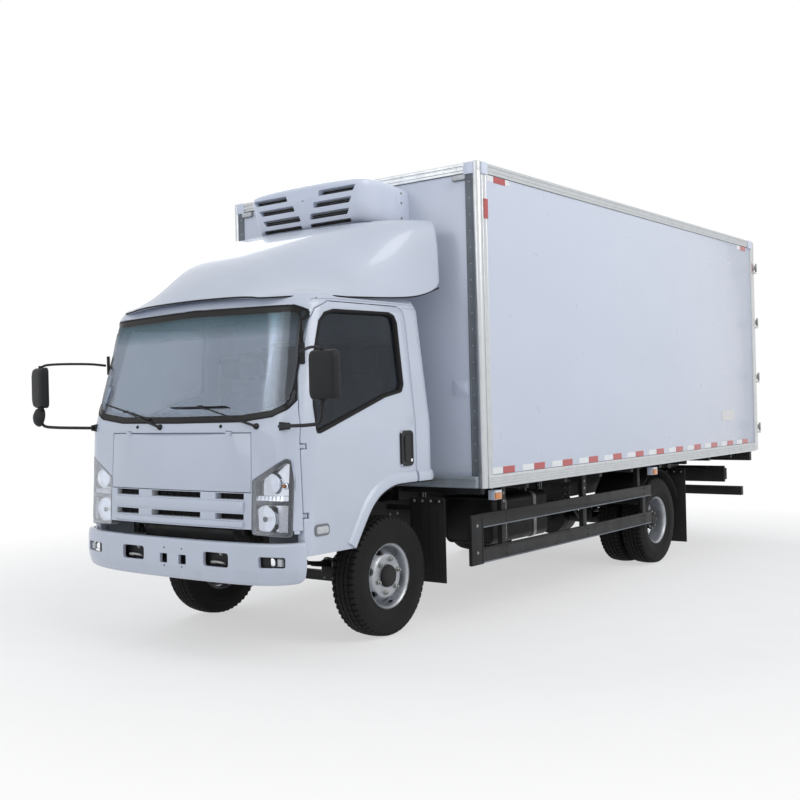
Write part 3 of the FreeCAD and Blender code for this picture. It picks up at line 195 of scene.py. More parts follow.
class Shape:
    """Points and faces gathered for one piece; look is the index of a face's material."""

    def __init__(self):
        self.points = []
        self.faces = []
        self.looks = []

    def add(self, points, faces, look=0):
        start = len(self.points)
        self.points += [Vector(p) for p in points]
        self.faces += [[start + i for i in face] for face in faces]
        self.looks += [look] * len(faces)
        return self

    def loft(self, rings, look=0, caps=True, closed=True):
        """Skin through rings of as many points each."""
        n, last = len(rings[0]), len(rings) - 1
        points = [p for ring in rings for p in ring]
        faces = [[r * n + i, r * n + (i + 1) % n, (r + 1) * n + (i + 1) % n, (r + 1) * n + i]
                 for r in range(last) for i in range(n if closed else n - 1)]
        if caps:
            faces += [list(range(n))[::-1], list(range(last * n, last * n + n))]
        return self.add(points, faces, look)

    def block(self, low, high, look=0):
        (x0, y0, z0), (x1, y1, z1) = low, high
        rings = [[(x0, y0, z), (x1, y0, z), (x1, y1, z), (x0, y1, z)] for z in (z0, z1)]
        return self.loft([[Vector(p) for p in ring] for ring in rings], look)

    def prism(self, outline, origin, right, up, depth, look=0):
        """The 2-D outline in the plane of right and up, drawn out by the vector depth."""
        right, up, depth = Vector(right), Vector(up), Vector(depth)
        face = [Vector(origin) + right * a + up * b for a, b in outline]
        return self.loft([face, [p + depth for p in face]], look)

    def facing(self, outline, origin, depth, look=0):
        """The outline upright across the truck, drawn out towards its rear."""
        return self.prism(outline, origin, (1, 0, 0), (0, 0, 1), (0, depth, 0), look)

    def lying(self, outline, origin, depth, look=0):
        """The outline lying flat, drawn out upwards."""
        return self.prism(outline, origin, (1, 0, 0), (0, 1, 0), (0, 0, depth), look)

    def sideways(self, outline, origin, depth, look=0):
        """The outline upright along the truck, drawn out to its left."""
        return self.prism(outline, origin, (0, 1, 0), (0, 0, 1), (depth, 0, 0), look)

    def turned(self, profile, centre, axis=(1, 0, 0), steps=32, look=0, caps=True):
        """The profile of (distance along the axis, radius) turned about the axis."""
        axis = Vector(axis).normalized()
        side = axis.orthogonal().normalized()
        other = axis.cross(side)
        rings = [[Vector(centre) + axis * along
                  + (side * math.cos(math.tau * k / steps) + other * math.sin(math.tau * k / steps))
                  * max(radius, 0.0002) for k in range(steps)] for along, radius in profile]
        return self.loft(rings, look, caps)

    def rod(self, start, end, radius, look=0, steps=16):
        """Round bar with softened ends."""
        start, end = Vector(start), Vector(end)
        length_, edge = (end - start).length, min(radius * 0.25, (end - start).length * 0.2)
        profile = [(0, radius - edge), (edge, radius), (length_ - edge, radius),
                   (length_, radius - edge)]
        return self.turned(profile, start, end - start, steps, look)

    def tube(self, path, radius, look=0, steps=12, section=None):
        """A bar of round or given section along a path of points."""
        path = [Vector(p) for p in path]
        section = section or circle(radius, steps)
        rings = []
        up = None
        for i, p in enumerate(path):
            along = (path[min(i + 1, len(path) - 1)] - path[max(i - 1, 0)]).normalized()
            if up is None:
                up = Vector((0, 0, 1)) if abs(along.z) < 0.9 else Vector((0, 1, 0))
            up = (up - along * up.dot(along)).normalized()
            across = along.cross(up)
            rings.append([p + across * a + up * b for a, b in section])
        return self.loft(rings, look)

    def bolt(self, place, axis, radius, height, look=0):
        """Six-sided head on a washer."""
        axis = Vector(axis).normalized()
        self.turned([(0, radius * 1.35), (height * 0.25, radius * 1.35), (height * 0.26, radius)],
                    place, axis, 16, look)
        return self.turned([(0, radius), (height * 0.9, radius), (height, radius * 0.82)], place,
                           axis, 6, look)

    def include(self, other, change=None, look_shift=0):
        """Adds another shape's faces, moved by a matrix."""
        change = change or Matrix.Identity(4)
        start = len(self.points)
        self.points += [change @ p for p in other.points]
        self.faces += [[start + i for i in face] for face in other.faces]
        self.looks += [look + look_shift for look in other.looks]
        return self

    def both_sides(self):
        """Adds the mirror image of everything so far."""
        copy = Shape()
        copy.points, copy.faces, copy.looks = list(self.points), [f[::-1] for f in
                                                                  self.faces], self.looks[:]
        return self.include(copy, Matrix.Diagonal((-1, 1, 1, 1)))

    def on_side(self, side):
        """The shape itself for the left, and its mirror image for the right."""
        if side < 0:
            self.points = [Vector((-p.x, p.y, p.z)) for p in self.points]
            self.faces = [face[::-1] for face in self.faces]
        return self

    def object(self, name, join=JOIN):
        """Makes the gathered faces an object."""
        mesh = bpy.data.meshes.new(name)
        mesh.from_pydata(self.points, [], self.faces)
        for _ in range(max(self.looks) + 1):
            mesh.materials.append(None)
        mesh.polygons.foreach_set("material_index", self.looks)
        tidy(mesh, join)
        return linked(name, mesh)

    def piece(self, name, body, slot, finishes, replaces=(), bevel=0.0, segments=2, sharp=34):
        """Makes the gathered faces a finished piece on a body."""
        return finish(self.object(name), body, finishes, replaces, bevel, segments, sharp)


def tidy(mesh, join=JOIN):
    """Joins doubled points and turns the faces outwards."""
    work = bmesh.new()
    work.from_mesh(mesh)
    bmesh.ops.remove_doubles(work, verts=work.verts, dist=join)
    bmesh.ops.dissolve_degenerate(work, edges=work.edges, dist=join)
    bmesh.ops.recalc_face_normals(work, faces=work.faces)
    work.to_mesh(mesh)
    work.free()


def linked(name, data):
    """A new object in the scene."""
    obj = bpy.data.objects.new(name, data)
    bpy.context.scene.collection.objects.link(obj)
    return obj


def applied(obj):
    """Turns the object's modifiers into its own mesh."""
    graph = bpy.context.evaluated_depsgraph_get()
    old = obj.data
    obj.data = bpy.data.meshes.new_from_object(obj.evaluated_get(graph), depsgraph=graph)
    obj.modifiers.clear()
    bpy.data.meshes.remove(old)
    return obj


def modified(obj, kind, **settings):
    made = obj.modifiers.new(kind.lower(), kind)
    for name, value in settings.items():
        setattr(made, name, value)
    return obj


def finish(obj, body, finishes, replaces=(), bevel=0.0, segments=2, sharp=34):
    """Rounds the edges, sets the materials and puts the piece on its body."""
    if bevel:
        modified(obj, "BEVEL", width=bevel, segments=segments, limit_method="ANGLE",
                 angle_limit=ROUNDED_FROM, use_clamp_overlap=True)
        applied(obj)
    looks = [face.material_index for face in obj.data.polygons]
    obj.data.materials.clear()
    for name in (finishes if isinstance(finishes, (list, tuple)) else [finishes]):
        obj.data.materials.append(FINISHES[name])
    obj.data.polygons.foreach_set("material_index", looks)
    obj.data.shade_smooth()
    obj.data.set_sharp_from_angle(angle=math.radians(sharp))
    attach(obj, body)
    if replaces:
        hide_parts(*replaces)
    return obj


def copied(node, join=0.00001, flat=0.6):
    """A new object with a CAD node's shape, its flat faces whole again."""
    mesh = bpy.data.meshes.new(node + "_shape")
    work = bmesh.new()
    work.from_mesh(frame["nodes"][node].data)
    bmesh.ops.remove_doubles(work, verts=work.verts, dist=join)
    bmesh.ops.dissolve_limit(work, angle_limit=math.radians(flat), verts=work.verts,
                             edges=work.edges)
    bmesh.ops.recalc_face_normals(work, faces=work.faces)
    work.to_mesh(mesh)
    work.free()
    for layer in [layer for layer in mesh.attributes if layer.name == "custom_normal"]:
        mesh.attributes.remove(layer)
    return linked(node + "_shape", mesh)


def carved(obj, cutter):
    """Cuts a shape out of the object."""
    tool = cutter.object("cutter")
    mesh = tool.data
    modified(obj, "BOOLEAN", object=tool, operation="DIFFERENCE", solver="EXACT")
    applied(obj)
    bpy.data.objects.remove(tool)
    bpy.data.meshes.remove(mesh)
    return obj


class Skin:
    """The outside of one or more CAD nodes, to lay trim on."""

    def __init__(self, *nodes):
        points, faces = [], []
        for node in nodes:
            mesh = frame["nodes"][node].data
            start = len(points)
            points += [v.co.copy() for v in mesh.vertices]
            faces += [[start + i for i in face.vertices] for face in mesh.polygons]
        self.tree = BVHTree.FromPolygons(points, faces)
        self.middle = sum(points, Vector()) / len(points)

    def drop(self, point, direction, lift=0.0):
        """The point moved along the direction onto the skin and raised off it, with the normal."""
        direction = Vector(direction)
        point = Vector(point)
        hit, normal, _, _ = self.tree.ray_cast(point, direction)
        if hit is None:
            beside_skin = point + direction * (self.middle - point).dot(direction)
            hit, normal, _, _ = self.tree.find_nearest(beside_skin)
        if normal.dot(direction) > 0:
            normal = -normal
        return hit + normal * lift, normal

    def covers(self, point, direction, depth=0.12):
        """Whether the point lies just behind the skin, seen along the direction."""
        direction = Vector(direction)
        hit, _, _, _ = self.tree.ray_cast(point - direction * depth, direction, depth)
        return hit is not None


def refined(node, finishes, bevel=0.003, segments=2, sharp=34, cutters=(), name=None):
    """A CAD node's shape with its edges rounded, cut as given, standing for the node."""
    obj = copied(node)
    for cutter in cutters:
        carved(obj, cutter)
    obj.name = name or node + "_skin"
    return finish(obj, BODY_OF[node], finishes, (node,), bevel, segments, sharp)


def painted(obj, test, look):
    """Gives the faces whose middle passes the test another of the object's materials."""
    for face in obj.data.polygons:
        if test(face.center - Vector((0, AXLE_Y, SINK))):
            face.material_index = look
    return obj


# ---- trim laid on curved panels ---------------------------------------------------------------
# A view says how a flat outline meets the skin: how its points lie in space, and which way they
# are pressed on to it.
VIEWS = {"front": (lambda a, b: Vector((a, -4.0, b)), (0, 1, 0)),
         "left": (lambda a, b: Vector((4.0, a, b)), (-1, 0, 0)),
         "right": (lambda a, b: Vector((-4.0, a, b)), (1, 0, 0)),
         "back": (lambda a, b: Vector((a, 9.0, b)), (0, -1, 0)),
         "top": (lambda a, b: Vector((a, b, 6.0)), (0, 0, -1)),
         "ceiling": (lambda a, b: Vector((a, b, 1.9)), (0, 0, 1)),
         "inside_back": (lambda a, b: Vector((a, AXLE_Y, b)), (0, 1, 0)),
         "inside_left": (lambda a, b: Vector((0.5, a, b)), (1, 0, 0)), }


def placed(view, a, b):
    """A flat point of a view, from the front axle and ground line, in the row frame."""
    if view in ("front", "back", "inside_back"):
        return a, b + SINK
    if view in ("top", "ceiling"):
        return a, AXLE_Y + b
    return AXLE_Y + a, b + SINK


def spaced(path, pitch, closed=True):
    """The flat path with points no further apart than the pitch."""
    result = []
    count = len(path)
    for i in range(count if closed else count - 1):
        a, b = Vector(path[i]), Vector(path[(i + 1) % count])
        parts = max(1, math.ceil((b - a).length / pitch))
        result += [tuple(a.lerp(b, k / parts)) for k in range(parts)]
    return result if closed else result + [tuple(path[-1])]


def beside(path, distance, closed=True):
    """The flat path moved to its left by the distance."""
    result = []
    count = len(path)
    for i, p in enumerate(path):
        before = Vector(path[(i - 1) % count] if closed or i else path[0])
        after = Vector(path[(i + 1) % count] if closed or i < count - 1 else path[-1])
        first, second = Vector(p) - before, after - Vector(p)
        normals = [Vector((-d.y, d.x)).normalized() for d in (first, second) if d.length > 1e-7]
        mean = sum(normals, Vector((0, 0))) / len(normals)
        result.append(tuple(Vector(p) + mean / max(mean.length_squared, 0.35) * distance))
    return result


def symmetric(half):
    """A closed outline from its right half, given from bottom to top."""
    return half + [(-x, z) for x, z in reversed(half) if x > 0]


class Laid(Shape):
    """A shape whose parts follow a skin seen from one side."""

    def __init__(self, skin, view, hold=None):
        super().__init__()
        self.skin, self.view = skin, view
        self.hold = hold          # lowest height at which the skin is read

    def drop(self, a, b, lift):
        a, b = placed(self.view, a, b)
        low = b if self.hold is None else max(b, self.hold + SINK)
        lay, press = VIEWS[self.view]
        point, normal = self.skin.drop(lay(a, low), press)
        point = point + normal * lift
        point.z += b - low
        return point

    def moulding(self, path, section, closed=True, look=0, anchor=None):
        """A solid strip of the section (aside, out) along a flat path.

        With an anchor the skin is read only that far aside of the path, and the section stands in
        the plane it has there.
        """
        if anchor is None:
            lines = [beside(path, aside, closed) for aside, _ in section]
            rings = [[self.drop(*lines[k][i], out) for k, (_, out) in enumerate(section)]
                     for i in range(len(path))]
        else:
            near, far = beside(path, anchor, closed), beside(path, anchor - 0.01, closed)
            rings = []
            for i in range(len(path)):
                foot, out = self.drop(*near[i], 0.0), self.drop(*near[i], 1.0)
                out = (out - foot).normalized()
                inward = foot - self.drop(*far[i], 0.0)
                inward = (inward - out * inward.dot(out)).normalized()
                rings.append([foot + inward * (aside - anchor) + out * rise for aside,
                              rise in section])
        if closed:
            rings.append(rings[0])
        return self.loft(rings, look, caps=not closed)

    def pad(self, outline, top, bottom, crown=0.0, look=0, rings=6, edge=0.0):
        """A solid plate with the outline, from bottom to top off the skin, raised in its middle."""
        centre = sum((Vector(p) for p in outline), Vector((0, 0))) / len(outline)
        layers = []
        for k in range(rings):
            t = max(k / (rings - 1), 0.02)
            lift = top + crown * (1 - t * t)
            if k == rings - 1 and edge:
                layers.append([self.drop(*centre.lerp(Vector(p),
                                                      1 - edge / (Vector(p) - centre).length), top)
                               for p in outline])
                lift = top - edge
            layers.append([self.drop(*centre.lerp(Vector(p), t), lift) for p in outline])
        layers.append([self.drop(*p, bottom) for p in outline])
        for t in (0.5, 0.02):
            layers.append([self.drop(*centre.lerp(Vector(p), t), bottom) for p in outline])
        return self.loft(layers, look)


def band(width, height, sink=0.002, edge=0.0012):
    """Section of a flat strip with softened edges, centred on its path."""
    w = width / 2.0
    return [(-w, -sink), (w, -sink), (w, height - edge), (w - edge, height), (-w + edge, height),
            (-w, height - edge)]


def lip(width, height, sink=0.002):
    """Section of a rounded rubber strip, centred on its path."""
    w = width / 2.0
    return [(-w, -sink), (w, -sink), (w, height * 0.35), (w * 0.6, height * 0.85), (0, height),
            (-w * 0.6, height * 0.85), (-w, height * 0.35)]


# ---- finishes ---------------------------------------------------------------------------------
class Socket:
    """A node's output.  Sums and products of it add the Math nodes that work them out."""

    def __init__(self, finish_, socket):
        self.finish, self.socket = finish_, socket

    def sum(self, operation, first, second):
        return self.finish.node("ShaderNodeMath", {"operation": operation}, {0: first, 1: second})

    def __add__(self, other):
        return self.sum("ADD", self, other)

    def __mul__(self, other):
        return self.sum("MULTIPLY", self, other)

    __radd__ = __add__
    __rmul__ = __mul__


CYCLE = 6.283                    # one turn in a wave


class Finish:
    """A material in the making."""

    def __init__(self, name):
        self.name = name
        self.material = bpy.data.materials.new(name)
        self.material.use_nodes = True
        self.tree = self.material.node_tree
        self.tree.nodes.clear()
        self.output = self.tree.nodes.new("ShaderNodeOutputMaterial")
        self.place = self.node("ShaderNodeTexCoord", output="Object")

    def node(self, kind, settings=None, inputs=None, output=0):
        """Adds a node: its settings first, then the values or links of its sockets."""
        made = self.tree.nodes.new(kind)
        settings = dict(settings or {})
        stops = settings.pop("stops", None)
        for name, value in settings.items():
            setattr(made, name, value)
        if stops:
            ramp = made.color_ramp.elements
            while len(ramp) < len(stops):
                ramp.new(0.5)
            for element, (position, shade) in zip(ramp, stops):
                element.position = position
                element.color = (*shade, 1.0) if isinstance(shade, tuple) else (shade, shade, shade,
                        1.0)
        for name, value in (inputs or {}).items():
            if isinstance(value, Socket):
                self.tree.links.new(value.socket, made.inputs[name])
            else:
                made.inputs[name].default_value = value
        return Socket(self, made.outputs[output])

    def noise(self, scale, detail=2.0, stretch=None):
        place = self.place
        if stretch:
            place = self.node("ShaderNodeVectorMath", {"operation": "MULTIPLY"},
                              {0: place, 1: stretch})
        return self.node("ShaderNodeTexNoise", {},
                         {"Vector": place, "Scale": scale, "Detail": detail, "Roughness": 0.5})

    def cells(self, scale):
        return self.node("ShaderNodeTexVoronoi", {"feature": "F1"},
                         {"Vector": self.place, "Scale": scale})

    def sine(self, value):
        return self.node("ShaderNodeMath", {"operation": "SINE"}, {0: value})

    def transparent(self, tint):
        return self.node("ShaderNodeBsdfTransparent", {}, {"Color": (*tint, 1.0)})

    def axes(self):
        parts = self.tree.nodes.new("ShaderNodeSeparateXYZ")
        self.tree.links.new(self.place.socket, parts.inputs[0])
        return [Socket(self, out) for out in parts.outputs]

    def between(self, value, low, high, start=0.0, end=1.0):
        """The value taken from low..high to start..end, and held there."""
        return self.node("ShaderNodeMapRange", {"clamp": True},
                         {"Value": value, "From Min": low, "From Max": high, "To Min": start,
                          "To Max": end})

    def mix(self, amount, first, second):
        """Two colours mixed."""
        def rgba(c):
            return c if isinstance(c, Socket) else (*c, 1.0)
        return self.node("ShaderNodeMix", {"data_type": "RGBA", "blend_type": "MIX"},
                         {0: amount, 6: rgba(first), 7: rgba(second)}, 2)

    def bump(self, height, distance, strength=1.0, over=None):
        inputs = {"Height": height, "Distance": distance, "Strength": strength}
        if over:
            inputs["Normal"] = over
        return self.node("ShaderNodeBump", {}, inputs)

    def surface(self, **inputs):
        """The finished surface, from values and links named as on the shader, in lower case."""
        names = {name.replace(" ", "_").lower(): name for name in
                 ("Base Color", "Roughness", "Metallic", "Normal", "Alpha", "IOR", "Coat Weight",
                  "Coat Roughness", "Sheen Weight", "Sheen Roughness", "Transmission Weight",
                  "Specular IOR Level", "Emission Color", "Emission Strength", "Anisotropic",
                  "Subsurface Weight")}
        values = {}
        for key, value in inputs.items():
            values[names[key]] = (*value, 1.0) if isinstance(value,
                                                             tuple) and len(value) == 3 else value
        return self.node("ShaderNodeBsdfPrincipled", {}, values)

    def done(self, shader):
        self.tree.links.new(shader.socket, self.output.inputs["Surface"])
        FINISHES[self.name] = self.material


FINISHES = {}


def shade(value, amount):
    return tuple(min(1.0, channel * amount) for channel in value)


def enamel(name, base, dust=0.1):
    """Sprayed paint under clear coat: faint orange peel, a little road dust low down."""
    f = Finish(name)
    _, _, height = f.axes()
    peel = f.noise(420.0, 2.0)
    wave = f.noise(2.6, 2.0)
    mottle = f.noise(9.0, 4.0)
    low = f.between(height, 0.35, 1.15, 1.0, 0.0) * f.between(mottle, 0.35, 0.75)
    tone = f.mix(f.between(wave, 0.35, 0.65), shade(base, 0.975), shade(base, 1.015))
    tone = f.mix(low * dust, tone, (0.4, 0.38, 0.35))
    rough = 0.3 + f.between(mottle, 0.3, 0.7) * 0.08 + low * 0.2
    normal = f.bump(peel, 0.00012, 0.35, f.bump(wave, 0.0012, 0.25))
    f.done(f.surface(base_color=tone, roughness=rough, normal=normal, coat_weight=0.55,
                     coat_roughness=0.07, ior=1.5))


def gel_coat(name, base):
    """Glass-fibre sheet: smooth, very slightly wavy, faint print-through and a trace of dust."""
    f = Finish(name)
    _, _, height = f.axes()
    wave = f.noise(1.3, 2.0, (1.0, 0.7, 1.2))
    fibre = f.noise(230.0, 3.0, (1.0, 0.35, 1.0))
    mottle = f.noise(5.0, 5.0)
    tone = f.mix(f.between(wave, 0.35, 0.65), shade(base, 0.985), shade(base, 1.01))
    low = f.between(height, 0.92, 1.25, 1.0, 0.0) * f.between(mottle, 0.4, 0.8)
    tone = f.mix(low * 0.1, tone, (0.45, 0.43, 0.4))
    rough = 0.27 + f.between(mottle, 0.3, 0.7) * 0.09
    normal = f.bump(fibre, 0.00008, 0.3, f.bump(wave, 0.004, 0.3))
    f.done(f.surface(base_color=tone, roughness=rough, normal=normal, coat_weight=0.25,
                     coat_roughness=0.12))


def brushed(name, base, along, rough=0.34, grain=900.0):
    """Metal drawn or brushed along one axis, with dull patches from handling."""
    f = Finish(name)
    stretch = tuple(0.012 if axis == along else 1.0 for axis in range(3))
    line = f.noise(grain, 3.0, stretch)
    patch = f.noise(14.0, 4.0)
    tone = f.mix(f.between(line, 0.3, 0.7), shade(base, 0.88), shade(base, 1.08))
    tone = f.mix(f.between(patch, 0.5, 0.8) * 0.25, tone, shade(base, 0.72))
    f.done(f.surface(base_color=tone, metallic=0.92,
                     roughness=rough + f.between(patch, 0.3, 0.8) * 0.16,
                     normal=f.bump(line, 0.0001, 0.5)))


def satin(name, base, rough=0.42, dust=0.3, grit=160.0, metallic=0.0):
    """Satin chassis paint with settled dust and small stone chips."""
    f = Finish(name)
    patch = f.noise(7.0, 5.0)
    fine = f.noise(grit, 3.0)
    chips = f.cells(60.0)
    dirty = f.between(patch, 0.42, 0.72) * dust
    tone = f.mix(dirty, base, (0.04, 0.037, 0.034))
    tone = f.mix(f.between(chips, 0.05, 0.02) * 0.4, tone, (0.16, 0.15, 0.14))
    f.done(f.surface(base_color=tone, metallic=metallic,
                     roughness=rough + dirty * 0.6 + fine * 0.08, normal=f.bump(fine, 0.00025, 0.4),
                     specular_ior_level=0.3))


def grained(name, base, rough=0.5, grain=950.0, depth=0.0002):
    """Moulded plastic with a leather-like grain."""
    f = Finish(name)
    pits = f.cells(grain)
    patch = f.noise(8.0, 4.0)
    fade = f.between(patch, 0.45, 0.75)
    tone = f.mix(fade * 0.35, base, shade(base, 1.7))
    f.done(f.surface(base_color=tone, roughness=rough + fade * 0.1,
                     normal=f.bump(pits, depth, 0.6), specular_ior_level=0.25))


def smooth_plastic(name, base, rough=0.32, coat=0.0):
    f = Finish(name)
    patch = f.noise(11.0, 4.0)
    fine = f.noise(380.0, 2.0)
    tone = f.mix(f.between(patch, 0.35, 0.7) * 0.3, base, shade(base, 0.86))
    f.done(f.surface(base_color=tone, roughness=rough + f.between(patch, 0.3, 0.8) * 0.08,
                     normal=f.bump(fine, 0.0001, 0.3), coat_weight=coat, coat_roughness=0.08,
                     specular_ior_level=0.25 if max(base) < 0.05 else 0.5))


def rubber(name, base, dust=0.35, rough=0.72, grit=260.0):
    """Vulcanised rubber with pale dust in its pores."""
    f = Finish(name)
    patch = f.noise(6.0, 5.0)
    pores = f.noise(grit, 4.0)
    worn = f.between(patch, 0.4, 0.75) * dust
    tone = f.mix(worn, base, (0.035, 0.033, 0.031))
    f.done(f.surface(base_color=tone, roughness=rough + worn * 0.3,
                     normal=f.bump(pores, 0.0004, 0.5), specular_ior_level=0.2))


def silver_paint(name, base):
    """Aluminium wheel paint: fine flakes, patches of brake dust."""
    f = Finish(name)
    flakes = f.cells(1400.0)
    patch = f.noise(16.0, 4.0)
    tone = f.mix(f.between(flakes, 0.0, 0.6) * 0.5, shade(base, 1.15), shade(base, 0.85))
    tone = f.mix(f.between(patch, 0.48, 0.8) * 0.35, tone, (0.13, 0.12, 0.11))
    f.done(f.surface(base_color=tone, metallic=0.72,
                     roughness=0.36 + f.between(patch, 0.4, 0.8) * 0.14,
                     normal=f.bump(flakes, 0.00005, 0.3), coat_weight=0.15, coat_roughness=0.2))


def bright(name, base, rough=0.07):
    """Vacuum-plated or polished metal."""
    f = Finish(name)
    patch = f.noise(24.0, 3.0)
    f.done(f.surface(base_color=f.mix(f.between(patch, 0.4, 0.7) * 0.2, base, shade(base, 0.8)),
                     metallic=1.0, roughness=rough + f.between(patch, 0.4, 0.8) * 0.06))


def cast(name, base, rough=0.62):
    """Rough casting with oily dirt."""
    f = Finish(name)
    skin = f.noise(190.0, 4.0)
    patch = f.noise(9.0, 5.0)
    tone = f.mix(f.between(patch, 0.4, 0.7) * 0.6, base, shade(base, 0.45))
    f.done(f.surface(base_color=tone, metallic=0.45,
                     roughness=rough + f.between(patch, 0.4, 0.8) * 0.15,
                     normal=f.bump(skin, 0.0012, 0.6)))


def heated(name, base):
    """Aluminised exhaust steel, straw and blue where it ran hot."""
    f = Finish(name)
    patch = f.noise(6.0, 4.0)
    fine = f.noise(120.0, 4.0)
    hot = f.node("ShaderNodeValToRGB", {"stops": [(0.3, base), (0.55, (0.3, 0.24, 0.17)),
                                                  (0.78, (0.16, 0.15, 0.19))]}, {"Fac": patch})
    f.done(f.surface(base_color=hot, metallic=0.8, roughness=0.42 + fine * 0.2,
                     normal=f.bump(fine, 0.0004, 0.5)))


def cloth(name, base):
    """Woven seat cloth: warp over weft, with a soft sheen."""
    f = Finish(name)
    x, y, z = f.axes()
    pitch = 1.0 / 0.0016
    warp = f.sine((x + y * 0.35) * (pitch * CYCLE))
    weft = f.sine((z + y) * (pitch * CYCLE))
    weave = warp * weft
    fleck = f.noise(520.0, 3.0)
    broad = f.noise(6.0, 3.0)
    tone = f.mix(f.between(weave, -1.0, 1.0), shade(base, 0.7), shade(base, 1.25))
    tone = f.mix(f.between(fleck, 0.45, 0.7) * 0.5, tone, shade(base, 1.9))
    tone = f.mix(f.between(broad, 0.4, 0.7) * 0.3, tone, shade(base, 0.7))
    f.done(f.surface(base_color=tone, roughness=0.88, sheen_weight=0.35, sheen_roughness=0.5,
                     normal=f.bump(weave, 0.0004, 0.6, f.bump(fleck, 0.0006, 0.5))))


def webbing(name, base):
    """Belt webbing with ribs across it."""
    f = Finish(name)
    _, y, z = f.axes()
    rib = f.sine((z + y * 0.4) * (CYCLE / 0.0022))
    fleck = f.noise(300.0, 3.0)
    tone = f.mix(f.between(rib, -1.0, 1.0) * 0.6 + fleck * 0.3, shade(base, 0.6), shade(base, 1.3))
    f.done(f.surface(base_color=tone, roughness=0.7, sheen_weight=0.2,
                     normal=f.bump(rib, 0.0004, 0.6)))


def window(name, tint, clear, still=0.05, band=None, gleam=0.5):
    """Toughened glass: see-through under a mirror skin, with a darker sun band if it has one."""
    f = Finish(name)
    smear = f.noise(3.5, 4.0, (1.0, 1.0, 0.45))
    streak = f.between(smear, 0.45, 0.85)
    skin = f.surface(base_color=tint, metallic=1.0, roughness=0.02 + streak * 0.03)
    slant = f.node("ShaderNodeFresnel", {}, {"IOR": 1.5})
    amount = still + slant * gleam + streak * 0.02
    see = f.transparent(clear)
    if band:
        low, high, shade_ = band
        _, _, height = f.axes()
        dark = f.transparent(shade_)
        see = f.node("ShaderNodeMixShader", {}, {0: f.between(height, low, high), 1: see, 2: dark})
    f.done(f.node("ShaderNodeMixShader", {}, {0: amount, 1: see, 2: skin}))


def lens(name, tint, haze=0.03):
    """Clear or coloured lamp lens under a mirror skin, with fine fluting."""
    f = Finish(name)
    fine = f.noise(60.0, 2.0)
    clear = f.transparent(tint)
    skin = f.surface(base_color=(0.95, 0.97, 1.0), metallic=1.0, roughness=0.04 + fine * 0.04)
    slant = f.node("ShaderNodeFresnel", {}, {"IOR": 1.5})
    f.done(f.node("ShaderNodeMixShader", {}, {0: haze + slant * 0.5, 1: clear, 2: skin}))


def coloured_lens(name, base):
    """Moulded coloured lens or reflector with tiny prisms behind a smooth face."""
    f = Finish(name)
    prisms = f.cells(520.0)
    patch = f.noise(20.0, 3.0)
    tone = f.mix(f.between(prisms, 0.1, 0.6), shade(base, 1.25), shade(base, 0.55))
    tone = f.mix(f.between(patch, 0.5, 0.8) * 0.2, tone, shade(base, 0.6))
    f.done(f.surface(base_color=tone, roughness=0.22 + prisms * 0.15, coat_weight=0.9,
                     coat_roughness=0.05, normal=f.bump(prisms, 0.0004, 0.5)))


def fins(name, base):
    """Finned heat exchanger core, with painted shade in the gaps between the fins and lighter lines
    along the tubes.
    """
    f = Finish(name)
    x, _, z = f.axes()
    row = f.sine(x * (CYCLE / 0.0035))
    tube = f.sine(z * (CYCLE / 0.022))
    # painted shade: the gaps between the fins go down to a quarter of the metal's colour
    tone = f.mix(f.between(row, -0.4, 0.6), shade(base, 0.25), base)
    tone = f.mix(f.between(tube, 0.8, 1.0), tone, shade(base, 1.4))
    f.done(f.surface(base_color=tone, metallic=0.7, roughness=0.5, normal=f.bump(row, 0.001, 0.7)))


def tread_plate(name, base):
    """Ribbed anti-slip floor."""
    f = Finish(name)
    x, _, _ = f.axes()
    rib = f.sine(x * (CYCLE / 0.03))
    patch = f.noise(6.0, 4.0)
    tone = f.mix(f.between(patch, 0.4, 0.7) * 0.4, base, shade(base, 0.7))
    f.done(f.surface(base_color=tone, roughness=0.45 + f.between(patch, 0.3, 0.7) * 0.2,
                     normal=f.bump(rib, 0.004, 0.6)))


